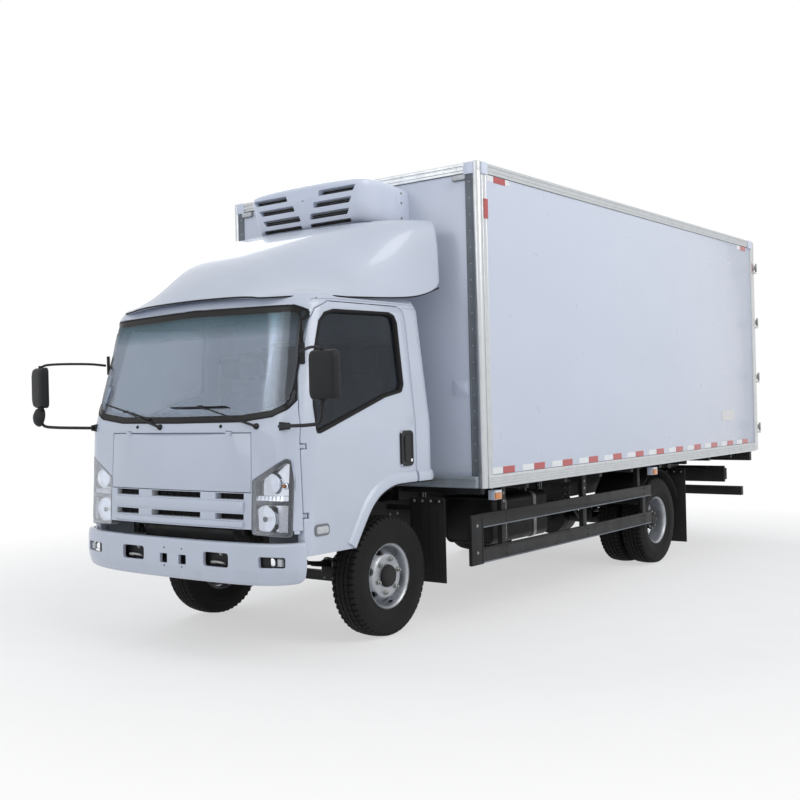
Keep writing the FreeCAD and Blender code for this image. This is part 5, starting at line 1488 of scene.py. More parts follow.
class TRUCK_OT_wipers(bpy.types.Operator):
    """Wiper arms, blades and washer jets under the windscreen"""

    bl_idname = "truck.wipers"
    bl_label = "Wipers"

    # Pivot, arm's end on the blade and the blade's two ends, each (x, z).
    ARMS = (((0.69, 1.413), (0.213, 1.536), (-0.07, 1.535), (0.424, 1.535)),
            ((-0.152, 1.413), (-0.52, 1.514), (-0.78, 1.566), (-0.262, 1.462)))
    JETS = (-0.386, 0.4)

    def execute(self, context):
        skin = Skin("cab_front", "cab_glass", "front_lid")
        place = Laid(skin, "front")
        wipers = Shape()
        for pivot, holder, start, end in self.ARMS:
            foot = place.drop(*pivot, 0.0)
            wipers.turned([(-0.004, 0.02), (0.008, 0.019), (0.016, 0.015), (0.02, 0.013),
                           (0.024, 0.006)], foot, (0, -1, 0.15), 24)
            rise = place.drop(*pivot, 0.016)
            path = [rise]
            for t in (0.1, 0.22, 0.45, 0.7, 0.92, 1.0):
                x = pivot[0] + (holder[0] - pivot[0]) * t
                z = pivot[1] + (holder[1] - pivot[1]) * t
                path.append(place.drop(x, z, 0.019 + 0.012 * math.sin(math.pi * min(1.0, t * 1.1))))
            wipers.tube(smooth_path(path, 3), 0.006, section=rectangle(0.011, 0.007, 0.002, 2))
            wipers.tube([rise, path[2]], 0.008, section=rectangle(0.022, 0.013, 0.004, 2))
            blade = [(start[0] + (end[0] - start[0]) * k / 14,
                      start[1] + (end[1] - start[1]) * k / 14) for k in range(15)]
            wipers.tube([place.drop(*p, 0.0065) for p in blade], 0.003,
                        section=rectangle(0.004, 0.011, 0.001, 2), look=1)
            wipers.tube([place.drop(*p, 0.013) for p in blade], 0.003,
                        section=rectangle(0.011, 0.005, 0.001, 2))
            for k in (2, 5, 9, 12):
                wipers.tube([place.drop(*blade[k], 0.014), place.drop(*blade[(k + 7) // 2], 0.021)],
                            0.0025, section=rectangle(0.007, 0.004, 0.001, 2))
            hold = place.drop(*holder, 0.02)
            wipers.facing(rectangle(0.042, 0.016, 0.004), hold + Vector((0, 0.004, 0)), -0.012)
        for x in self.JETS:
            foot = place.drop(x, 1.415, 0.0)
            wipers.turned([(-0.003, 0.012), (0.004, 0.011), (0.009, 0.006), (0.011, 0.002)], foot,
                          (0, -1, 0.2), 20)
        wipers.piece("wiper_set", "cab", "black_plastic", ("gloss_black", "seal_rubber"),
                     ("wipers",), bevel=0.0006, segments=1)
        return {"FINISHED"}


# ---- roof deflector and refrigeration unit ----------------------------------------------------
class TRUCK_OT_deflector(bpy.types.Operator):
    """Moulded air deflector over the cab roof, with the rubber strip under it and its feet"""

    bl_idname = "truck.deflector"
    bl_label = "Roof deflector"

    # Cross sections: y, then the half section from the foot to the middle as (x, z).
    SECTIONS = ((-0.878, ((0.6, 2.2), (0.56, 2.21), (0.5, 2.216), (0.42, 2.221), (0.3, 2.225),
                          (0.15, 2.228), (0.0, 2.229))),
                (-0.8, ((0.8, 2.203), (0.735, 2.23), (0.65, 2.244), (0.52, 2.272), (0.34, 2.304),
                        (0.17, 2.32), (0.0, 2.325))),
                (-0.69, ((0.88, 2.206), (0.85, 2.238), (0.765, 2.262), (0.63, 2.305), (0.42, 2.398),
                         (0.21, 2.426), (0.0, 2.436))),
                (-0.54, ((0.905, 2.21), (0.885, 2.248), (0.82, 2.28), (0.705, 2.345), (0.51, 2.5),
                         (0.25, 2.535), (0.0, 2.545))),
                (-0.34, ((0.92, 2.218), (0.905, 2.262), (0.85, 2.318), (0.765, 2.455),
                         (0.585, 2.61), (0.3, 2.64), (0.0, 2.65))),
                (-0.1, ((0.935, 2.228), (0.925, 2.276), (0.89, 2.345), (0.83, 2.515), (0.68, 2.7),
                    (0.38, 2.732), (0.0, 2.742))),
                (0.12, ((0.95, 2.24), (0.945, 2.3), (0.925, 2.385), (0.895, 2.575), (0.8, 2.765),
                        (0.69, 2.79), (0.0, 2.798))),
                (0.32, ((0.968, 2.262), (0.965, 2.335), (0.955, 2.43), (0.94, 2.625), (0.89, 2.796),
                        (0.76, 2.815), (0.0, 2.822))),
                (0.505, ((0.982, 2.33), (0.982, 2.4), (0.978, 2.5), (0.972, 2.66), (0.95, 2.8),
                         (0.86, 2.824), (0.0, 2.828))), )
    WALL = 0.012
    NOTCH = (0.68, 0.12)        # half width and front of the opening for the unit
    # The scallop over the foot band is creased along this point of the sections, from y to y.
    SCALLOP = (2, -0.75, 0.2)

    def execute(self, context):
        half, front = self.NOTCH
        shape = Shape()
        rings = []
        for y, section in self.SECTIONS:
            line = [at(x, y, z) for x, z in section]
            rings.append(line + [Vector((-p.x, p.y, p.z)) for p in line[-2::-1]])
        shape.loft(rings, closed=False, caps=False)
        obj = shape.object("roof_deflector_skin")
        self.crease(obj.data)
        modified(obj, "SUBSURF", levels=3, render_levels=3)
        modified(obj, "SOLIDIFY", thickness=self.WALL, offset=-1.0)
        applied(obj)
        carved(obj, Shape().block(at(-half, front, 2.3), at(half, 0.8, 3.0)))
        carved(obj, Shape().sideways([(-0.95, 2.1), (0.56, 2.1), (0.56, 2.215), (-0.72, 2.215),
                                      (-0.83, 2.15), (-0.95, 2.15)], at(-1.1, 0, 0), 2.2))
        finish(obj, "cab", "cab_enamel", ("roof_deflector",), 0.003, 2, 40)
        self.brackets()
        self.gasket()
        return {"FINISHED"}

    def crease(self, mesh):
        """Sharpens the edges along the foot of each scallop."""
        row, front, rear = self.SCALLOP
        line = [at(section[row][0], y, section[row][1]) for y,
                section in self.SECTIONS if front < y < rear]

        def on_line(vertex):
            place = Vector((abs(vertex.co.x), vertex.co.y, vertex.co.z))
            return any((place - p).length < 0.001 for p in line)
        creases = mesh.attributes.new("crease_edge", "FLOAT", "EDGE")
        for edge in mesh.edges:
            if all(on_line(mesh.vertices[i]) for i in edge.vertices):
                creases.data[edge.index].value = 0.75

    def gasket(self):
        """Rubber strip under the edge of the deflector."""
        foot = [at(x, y, z) for y, ((x, z), *_) in self.SECTIONS]
        lip = [at(x, self.SECTIONS[0][0], z) for x, z in self.SECTIONS[0][1]]
        half = foot[:0:-1] + lip
        whole = half + [Vector((-p.x, p.y, p.z)) for p in half[-2::-1]]
        whole = [whole[0] * 2 - whole[1]] + whole + [whole[-1] * 2 - whole[-2]]
        path = []
        for a, b, c, d in zip(whole, whole[1:], whole[2:], whole[3:]):
            for k in range(6):
                t = k / 6
                p = (a * (1 - t) ** 3 + b * (3 * t ** 3 - 6 * t * t + 4)
                     + c * (-3 * t ** 3 + 3 * t * t + 3 * t + 1) + d * t ** 3) / 6
                cut = 2.215 if p.y > at(0, -0.72, 0).y else 2.15
                path.append(Vector((p.x * 0.996, p.y, max(p.z, cut + SINK) - 0.003)))
        strip = Shape()
        strip.tube(path, 0.0055, steps=8)
        strip.piece("deflector_gasket", "cab", "black_plastic", "seal_rubber")

    def brackets(self):
        """Feet that carry the deflector on the roof."""
        feet = Shape()
        for y in (-0.6, -0.2, 0.2):
            feet.block(at(0.845, y - 0.03, 2.17), at(0.9, y + 0.03, 2.225))
        feet.both_sides()
        feet.piece("deflector_feet", "cab", "cab_white", "cab_enamel", bevel=0.002)


class TRUCK_OT_refrigeration(bpy.types.Operator):
    """Nose-mounted refrigeration unit: cover with slots, condenser core, evaporator inside"""

    bl_idname = "truck.refrigeration"
    bl_label = "Refrigeration unit"

    # Sections of the cover from the wall forwards: y, half width at the top and bottom, bottom, top
    # at the side and top in the middle.
    SECTIONS = ((0.69, 0.6, 0.6, 2.802, 3.07, 3.11), (0.56, 0.6, 0.596, 2.802, 3.085, 3.126),
                (0.5, 0.598, 0.588, 2.803, 3.092, 3.134), (0.36, 0.58, 0.552, 2.806, 3.106, 3.146),
                (0.27, 0.556, 0.515, 2.81, 3.106, 3.144), (0.235, 0.53, 0.482, 2.816, 3.09, 3.128),
                (0.215, 0.5, 0.452, 2.83, 3.07, 3.106))
    LEAN = 0.26                   # the front leans forward by this share of its height
    # Slots from top to bottom: inner and outer end, bottom, top.
    SLOTS = ((0.15, 0.5, 3.036, 3.076), (0.09, 0.455, 2.958, 2.999), (0.045, 0.425, 2.88, 2.921),
             (0.04, 0.43, 2.824, 2.85))

    def execute(self, context):
        self.cover()
        self.core()
        self.evaporator()
        return {"FINISHED"}

    def ring(self, y, top_half, low_half, low, side_top, top):
        count = 9
        arc = [(top_half * math.sin(math.pi / 2 * (1 - k / count)),
                side_top + (top - side_top) * (1 - (1 - k / count) ** 2.4)) for k in
               range(count + 1)]
        right = [(0.0, low), (low_half * 0.5, low), (low_half - 0.03, low), (low_half, low + 0.03),
                 (low_half + (top_half - low_half) * 0.5, (low + side_top) / 2.0),
                 (top_half - 0.002, side_top - 0.03)] + [(x * 0.985, z) for x, z in arc]
        whole = right + [(-x, z) for x, z in reversed(right[1:-1])]
        return [at(x, y - self.lean(y, z), z) for x, z in whole]

    def lean(self, y, z):
        share = min(1.0, max(0.0, (0.5 - y) / 0.285))
        return self.LEAN * (z - 3.05) * share * 0.55 + 0.012 * share

    def cover(self):
        shape = Shape()
        shape.loft([self.ring(*section) for section in self.SECTIONS], caps=False)
        front = self.ring(*self.SECTIONS[-1])
        centre = sum(front, Vector()) / len(front)
        layers = [front] + [[centre.lerp(p, k) + Vector((0, -0.006 * (1 - k), 0)) for p in front]
                            for k in (0.9, 0.6, 0.3, 0.02)]
        shape.loft(layers, caps=False)
        back = [Vector((p.x, at(0, 0.6895, 0).y, p.z)) for p in self.ring(*self.SECTIONS[0])]
        shape.add(back, [list(range(len(back)))])
        obj = shape.object("unit_cover", 0.0004)
        modified(obj, "SUBSURF", levels=2, render_levels=2)
        applied(obj)
        slots = Shape()
        for inner, outer, low, high in self.SLOTS:
            lean = (high - low) * 0.7
            outline = rounded([(inner, low), (outer - lean, low), (outer, high),
                               (inner + lean * 0.4, high)], 0.008, 3)
            slots.facing(outline, at(0, -0.1, 0), 0.375)
        slots.both_sides()
        carved(obj, slots)
        seam = Shape()
        for x in (0.635, -0.635):
            seam.block(at(x - 0.04, 0.5485, 2.78), at(x + 0.04, 0.5515, 3.16))
        carved(obj, seam)
        finish(obj, "chassis", "unit_white", ("refrigeration_unit",), 0.0025)

    def core(self):
        """Louvres behind the slots, dark from the fins' painted shade and black bars, screws along
        the seam, drain and hose.
        """
        parts = Shape()
        for inner, outer, low, high in self.SLOTS:
            for side in (1, -1):
                middle_ = (inner + outer) / 2.0 * side
                parts.block(at(middle_ - (outer - inner) / 2 - 0.01, 0.262, low - 0.004),
                            at(middle_ + (outer - inner) / 2 + 0.01, 0.272, high + 0.004))
                for k in range(2):
                    z = low + (high - low) * (k + 1) / 3.0
                    parts.block(at(middle_ - (outer - inner) / 2, 0.24, z - 0.0015),
                                at(middle_ + (outer - inner) / 2, 0.262, z + 0.0015), 1)
        for side in (1, -1):
            for z in (2.87, 2.98, 3.05):
                parts.bolt(at(side * 0.597, 0.6, z), (side, 0, 0), 0.007, 0.006, 2)
            parts.tube(smooth_path([at(side * 0.4, 0.655, 2.81), at(side * 0.4, 0.65, 2.7),
                                    at(side * 0.42, 0.668, 2.45), at(side * 0.42, 0.672, 1.6),
                                    at(side * 0.42, 0.672, 1.02)]), 0.011, 3)
            for z in (1.3, 1.8, 2.3):
                parts.block(at(side * 0.42 - 0.022, 0.66, z - 0.008),
                            at(side * 0.42 + 0.022, 0.69, z + 0.008), 2)
        parts.piece("unit_louvres", "chassis", "unit_white",
                    ("condenser_fins", "black_plastic", "zinc_steel", "flap_rubber"), bevel=0.001,
                    segments=1)

    def evaporator(self):
        refined("evaporator", "unit_white", 0.008)
        fans = Shape()
        for x in (-0.38, 0.0, 0.38):
            centre = at(x, 1.29, 3.02)
            fans.turned([(0, 0.084), (0.01, 0.084), (0.014, 0.08), (0.01, 0.074), (-0.002, 0.074)],
                        centre, (0, 1, 0))
            for radius in (0.025, 0.043, 0.06):
                fans.tube([centre + Vector((radius * math.cos(a), 0.012, radius * math.sin(a)))
                           for a in (math.tau * k / 28 for k in range(29))], 0.0016, 1, 5)
            for k in range(4):
                a = math.pi * k / 4
                reach = Vector((0.076 * math.cos(a), 0, 0.076 * math.sin(a)))
                fans.rod(centre + Vector((0, 0.012, 0)) - reach,
                         centre + Vector((0, 0.012, 0)) + reach, 0.0018, 1, 5)
        fans.piece("evaporator_fans", "chassis", "unit_white", ("black_plastic", "zinc_steel"))


# ---- insulated body ---------------------------------------------------------------------------
WALL_X = BOX_HIGH.x                                      # outer face of a side wall
FRONT_Y = BOX_LOW.y - AXLE_Y                             # outer face of the front wall
FRAME_Y = DOOR_LOW.y - AXLE_Y - 0.036                    # where the side panel meets the rear frame
FLOOR_Z = WALL_LOW.z - SINK                              # foot of the walls
ROOF_Z = BOX_HIGH.z - SINK                               # top of the roof


def rivet(shape, place, axis, look):
    """Domed rivet head."""
    radius = sizes().rivet_radius
    shape.turned([(-0.0005, radius), (radius * 0.25, radius * 0.95), (radius * 0.55, radius * 0.55),
                  (radius * 0.62, 0.0)], place, axis, 8, look, caps=False)


class TRUCK_OT_body_panels(bpy.types.Operator):
    """Walls, roof and floor of the insulated body, with the kick rails and ribbed floor inside"""

    bl_idname = "truck.body_panels"
    bl_label = "Body panels"

    def execute(self, context):
        for node in ("box_front_wall", "box_left_wall", "box_right_wall", "box_roof"):
            refined(node, "body_gel_coat", 0.002)
        floor = refined("box_floor", ("chassis_black", "body_floor"), 0.002)
        painted(floor, lambda c: c.z > FLOOR_Z + 0.02, 1)
        inside = Shape()
        depth = FRAME_Y - FRONT_Y - 0.085
        inside.block(at(-1.119, FRONT_Y + 0.081, 1.0235), at(1.119, FRAME_Y - 0.002, 1.0275), 1)
        for k in range(56):
            x = -1.1 + 0.04 * k
            inside.block(at(x - 0.009, FRONT_Y + 0.083, 1.0265),
                         at(x + 0.009, FRAME_Y - 0.004, 1.034), 1)
        for side in (1, -1):
            a, b = sorted((side * 1.1205, side * 1.1165))
            inside.block(at(a, FRONT_Y + 0.081, 1.03), at(b, FRAME_Y - 0.002, 1.28))
            for z in (1.085, 1.145, 1.205):
                a, b = sorted((side * 1.117, side * 1.112))
                inside.block(at(a, FRONT_Y + 0.083, z - 0.006), at(b, FRAME_Y - 0.004, z + 0.006))
            for z in (1.75, 2.35):
                rail = [(0, -0.045), (0, 0.045), (-0.01, 0.03), (-0.01, 0.012), (-0.005, 0.012),
                        (-0.005, -0.012), (-0.01, -0.012), (-0.01, -0.03)]
                outline = [(side * a, b) for a, b in rail]
                inside.facing(outline, at(side * 1.1203, FRONT_Y + 0.12, z), depth - 0.05)
        inside.block(at(-1.112, FRONT_Y + 0.0795, 1.03), at(1.112, FRONT_Y + 0.0835, 1.28))
        for y in (2.0, 3.6, 5.2):
            inside.lying(rectangle(0.34, 0.075, 0.02), at(0, y, ROOF_Z - 0.0795), -0.03, 2)
        inside.piece("body_lining", "chassis", "box_white",
                     ("aluminium_along", "body_floor", "blank_plate"), bevel=0.001, segments=1)
        return {"FINISHED"}


class TRUCK_OT_body_rails(bpy.types.Operator):
    """Aluminium rails, corner columns and caps round the body, their seams and rivets"""

    bl_idname = "truck.body_rails"
    bl_label = "Body rails"

    # Sections across the side, out from the wall and up from the foot of the wall.
    LOW_RAIL = [(-0.004, -0.004), (0.01, -0.004), (0.0125, 0.004), (0.0125, 0.016), (0.0085, 0.018),
                (0.0085, 0.023), (0.0125, 0.025), (0.0125, 0.036), (0.0085, 0.038), (0.0085, 0.043),
                (0.0125, 0.045), (0.0125, 0.056), (0.0085, 0.058), (0.0085, 0.063), (0.0125, 0.065),
                (0.0125, 0.076), (0.009, 0.082), (0.004, 0.086), (-0.004, 0.086)]
    HATCH = (1.0215, 1.6315)      # middle of the hatch in the front wall
    TOP_RAIL = [(-0.02, 0.002), (0.008, 0.002), (0.0125, -0.003), (0.0125, -0.018),
                (0.0075, -0.021), (0.0075, -0.026), (0.0105, -0.028), (0.0105, -0.048),
                (0.0065, -0.05), (0.0065, -0.066), (0.003, -0.071), (-0.02, -0.071)]

    def execute(self, context):
        self.side_rails()
        self.front_trim()
        self.columns()
        return {"FINISHED"}

    def side_rails(self):
        rails = Shape()
        start, run = FRONT_Y + 0.04, FRAME_Y - FRONT_Y - 0.042
        for section, z in ((self.LOW_RAIL, FLOOR_Z), (self.TOP_RAIL, ROOF_Z)):
            rails.facing(section, at(WALL_X, start, z), run)
        # dark sealant lines beside both rails
        rails.block(at(WALL_X - 0.002, start + 0.05, ROOF_Z - 0.0745),
                    at(WALL_X + 0.0015, FRAME_Y, ROOF_Z - 0.0708), 1)
        rails.block(at(WALL_X - 0.002, start + 0.05, FLOOR_Z + 0.0858),
                    at(WALL_X + 0.001, FRAME_Y, FLOOR_Z + 0.0878), 1)
        pitch = sizes().rivet_pitch
        for k in range(int(run / pitch)):
            y = start + pitch * (k + 0.6)
            rivet(rails, at(WALL_X + 0.0125, y, FLOOR_Z + 0.07), (1, 0, 0), 2)
            rivet(rails, at(WALL_X + 0.0105, y, ROOF_Z - 0.038), (1, 0, 0), 2)
        rails.both_sides()
        rails.piece("body_side_rails", "chassis", "aluminium",
                    ("aluminium_along", "seal_rubber", "rivet_metal"), sharp=25)

    def front_trim(self):
        """Rails and beam on the front wall, the hatch and the two clearance lamps."""
        trim = Shape()
        width = 2 * (WALL_X - 0.105)
        trim.sideways([(-out, up) for out, up in self.TOP_RAIL], at(-width / 2, FRONT_Y, ROOF_Z),
                      width)
        trim.block(at(-width / 2, FRONT_Y - 0.0015, ROOF_Z - 0.0745),
                   at(width / 2, FRONT_Y + 0.002, ROOF_Z - 0.071), 1)
        beam = [(0.004, 0), (-0.044, 0), (-0.05, 0.006), (-0.05, 0.016), (-0.04, 0.022),
                (-0.04, 0.056), (-0.05, 0.062), (-0.05, 0.074), (-0.044, 0.08), (0.004, 0.08)]
        trim.sideways(beam, at(-width / 2 - 0.06, FRONT_Y, FLOOR_Z + 0.001), width + 0.12, 3)
        pitch = sizes().rivet_pitch
        for k in range(int(width / pitch)):
            x = -width / 2 + pitch * (k + 0.5)
            rivet(trim, at(x, FRONT_Y - 0.0105, ROOF_Z - 0.038), (0, -1, 0), 2)
            if k % 3 == 1:
                trim.bolt(at(x, FRONT_Y - 0.04, FLOOR_Z + 0.04), (0, -1, 0), 0.007, 0.006, 2)
        for x in (1.0505, -1.0505):
            # oval lamp: base, lens
            for w, h, out, look in ((0.123, 0.046, 0.01, 4), (0.105, 0.034, 0.02, 5)):
                trim.facing(rectangle(w, h, h * 0.49, 6), at(x, FRONT_Y + 0.001, ROOF_Z - 0.096),
                            -out - 0.001, look)
        # small hatch beside the cab
        x, z = self.HATCH
        trim.facing(rectangle(0.127, 0.107, 0.01), at(x, FRONT_Y + 0.001, z), -0.009, 6)
        trim.facing(rectangle(0.086, 0.066, 0.01), at(x, FRONT_Y - 0.007, z), -0.005, 6)
        for dx in (-0.053, 0.053):
            for dz in (-0.043, 0.043):
                rivet(trim, at(x + dx, FRONT_Y - 0.008, z + dz), (0, -1, 0), 2)
        trim.piece("front_wall_trim", "chassis", "aluminium",
                   ("aluminium_across", "seal_rubber", "rivet_metal", "beam_grey", "bezel_grey",
                    "clear_prisms", "unit_white"), bevel=0.0015, sharp=30)

    def columns(self):
        """Rounded columns on the front corners, flat flanges beside them and white caps on top."""
        post = Shape()
        low, high = FLOOR_Z - 0.002, ROOF_Z - 0.062
        radius = 0.03
        cx, cy = WALL_X - 0.02, FRONT_Y + 0.02
        arc = [(cx + radius * math.cos(a), cy + radius * math.sin(a))
               for a in (math.radians(-125 + 160 * k / 18) for k in range(19))]
        outline = [(cx - 0.028, FRONT_Y + 0.001)] + arc + [(WALL_X - 0.001, cy + 0.028), (cx, cy)]
        post.lying(outline, at(0, 0, low), high - low)
        # flat flange on the front wall, with a rolled inner edge
        flange = [(-0.105, 0.001), (-0.105, -0.002), (-0.1, -0.006), (-0.094, -0.006),
                  (-0.089, -0.002), (-0.052, -0.002), (-0.046, -0.007), (-0.04, -0.007),
                  (-0.036, 0.001)]
        post.lying([(WALL_X + a, FRONT_Y + b) for a, b in flange], at(0, 0, low), high - low, 1)
        # flange on the side wall
        strip = [(-0.001, 0.044), (0.006, 0.046), (0.008, 0.05), (0.0045, 0.055), (0.0045, 0.094),
                 (0.0065, 0.097), (0.0065, 0.101), (0.003, 0.104), (-0.001, 0.104)]
        post.lying([(WALL_X + a, FRONT_Y + b) for a, b in strip], at(0, 0, FLOOR_Z + 0.084),
                   ROOF_Z - FLOOR_Z - 0.155)
        for k in range(int((high - low) / sizes().rivet_pitch)):
            z = low + 0.08 + sizes().rivet_pitch * k
            rivet(post, at(WALL_X - 0.071, FRONT_Y - 0.002, z), (0, -1, 0), 2)
            if FLOOR_Z + 0.12 < z < ROOF_Z - 0.09:
                rivet(post, at(WALL_X + 0.0045, FRONT_Y + 0.078, z), (1, 0, 0), 2)
        # cap: two white cheeks with the column showing between them
        top = ROOF_Z + 0.004
        post.block(at(WALL_X - 0.112, FRONT_Y - 0.012, ROOF_Z - 0.078),
                   at(WALL_X - 0.03, FRONT_Y + 0.05, top), 3)
        post.block(at(WALL_X - 0.05, FRONT_Y + 0.034, ROOF_Z - 0.078),
                   at(WALL_X + 0.0135, FRONT_Y + 0.112, top), 3)
        knob = [(0, radius), (0.08, radius), (0.087, radius * 0.86), (0.09, radius * 0.5)]
        post.turned(knob, at(cx, cy, ROOF_Z - 0.08), (0, 0, 1), 24)
        # the same caps at the rear corners
        post.block(at(WALL_X - 0.1, FRAME_Y - 0.07, ROOF_Z - 0.078),
                   at(WALL_X + 0.0135, FRAME_Y + 0.04, top), 3)
        post.both_sides()
        post.piece("body_corner_posts", "chassis", "aluminium",
                   ("aluminium_up", "grey_paint", "rivet_metal", "unit_white"), bevel=0.003,
                   segments=3, sharp=28)


class TRUCK_OT_body_marks(bpy.types.Operator):
    """Side reflectors, corner tapes, the plain steel plate and the lamps under the body"""

    bl_idname = "truck.body_marks"
    bl_label = "Reflectors and marks"

    FIRST, LAST = 1.012, 5.807        # middles of the first and last reflector
    # Start, end and look of the tapes along the upper edge.
    TOP_TAPES = ((0.895, 1.05, 0), (0.806, 0.893, 1), (1.052, 1.11, 1), (5.8, 5.95, 0),
                 (5.7, 5.798, 1))
    HEIGHT = (1.014, 1.062)

    def execute(self, context):
        marks = Shape()
        count, reach = sizes().reflectors, sizes().reflector_length
        low, high = self.HEIGHT
        for k in range(count):
            y = self.FIRST + (self.LAST - self.FIRST) * k / max(1, count - 1)
            self.tape(marks, y - reach / 2, y + reach / 2, low, high, 0, 0.0028)
            self.tape(marks, y - reach * 1.56, y - reach * 0.53, low + 0.002, high - 0.002, 1,
                      0.0012)
        # tapes in the corners
        self.tape(marks, 0.755, 0.805, 2.815, 2.955, 0, 0.0085)
        for start, end, look in self.TOP_TAPES:
            self.tape(marks, start, end, 3.084, 3.128, look, 0.0022 if look else 0.0028)
        marks.both_sides()
        marks.piece("side_reflectors", "chassis", "box_white", ("red_lens", "reflector_white"),
                    bevel=0.0008, segments=1)
        plate = Shape()
        plate.sideways(rectangle(0.335, 0.108, 0.006), at(WALL_X - 0.001, 5.3275, 1.325), 0.0035)
        for dy in (-0.155, 0.155):
            for dz in (-0.042, 0.042):
                rivet(plate, at(WALL_X + 0.0025, 5.3275 + dy, 1.325 + dz), (1, 0, 0), 1)
        plate.piece("side_steel_plate", "chassis", "aluminium", ("stainless_across", "rivet_metal"),
                    bevel=0.0008, segments=1)
        self.side_lamps()
        return {"FINISHED"}

    def tape(self, shape, start, end, low, high, look, out):
        shape.block(at(WALL_X - 0.001, start, low), at(WALL_X + out, end, high), look)

    def side_lamps(self):
        """Square amber lamps on angle brackets under the edge of the floor."""
        lamps = Shape()
        for y in (0.9, 3.56):
            lamps.block(at(1.12, y - 0.046, 0.828), at(1.172, y + 0.046, 0.896))
            lamps.block(at(1.172, y - 0.042, 0.832), at(1.18, y + 0.042, 0.878), 1)
            lamps.block(at(1.172, y - 0.042, 0.88), at(1.179, y + 0.042, 0.893), 2)
            lamps.block(at(1.1, y - 0.012, 0.85), at(1.122, y + 0.012, 0.926), 3)
            lamps.bolt(at(1.1215, y, 0.905), (1, 0, 0), 0.006, 0.005, 4)
            lamps.tube(smooth_path([at(1.125, y + 0.02, 0.862), at(1.09, y + 0.03, 0.87),
                                    at(1.06, y + 0.02, 0.92)], 5), 0.004, 3, 8)
        lamps.both_sides()
        lamps.piece("side_marker_lamps", "chassis", "lamp_clear",
                    ("unit_white", "amber_lens", "reflector_white", "chassis_black", "zinc_steel"),
                    bevel=0.003)


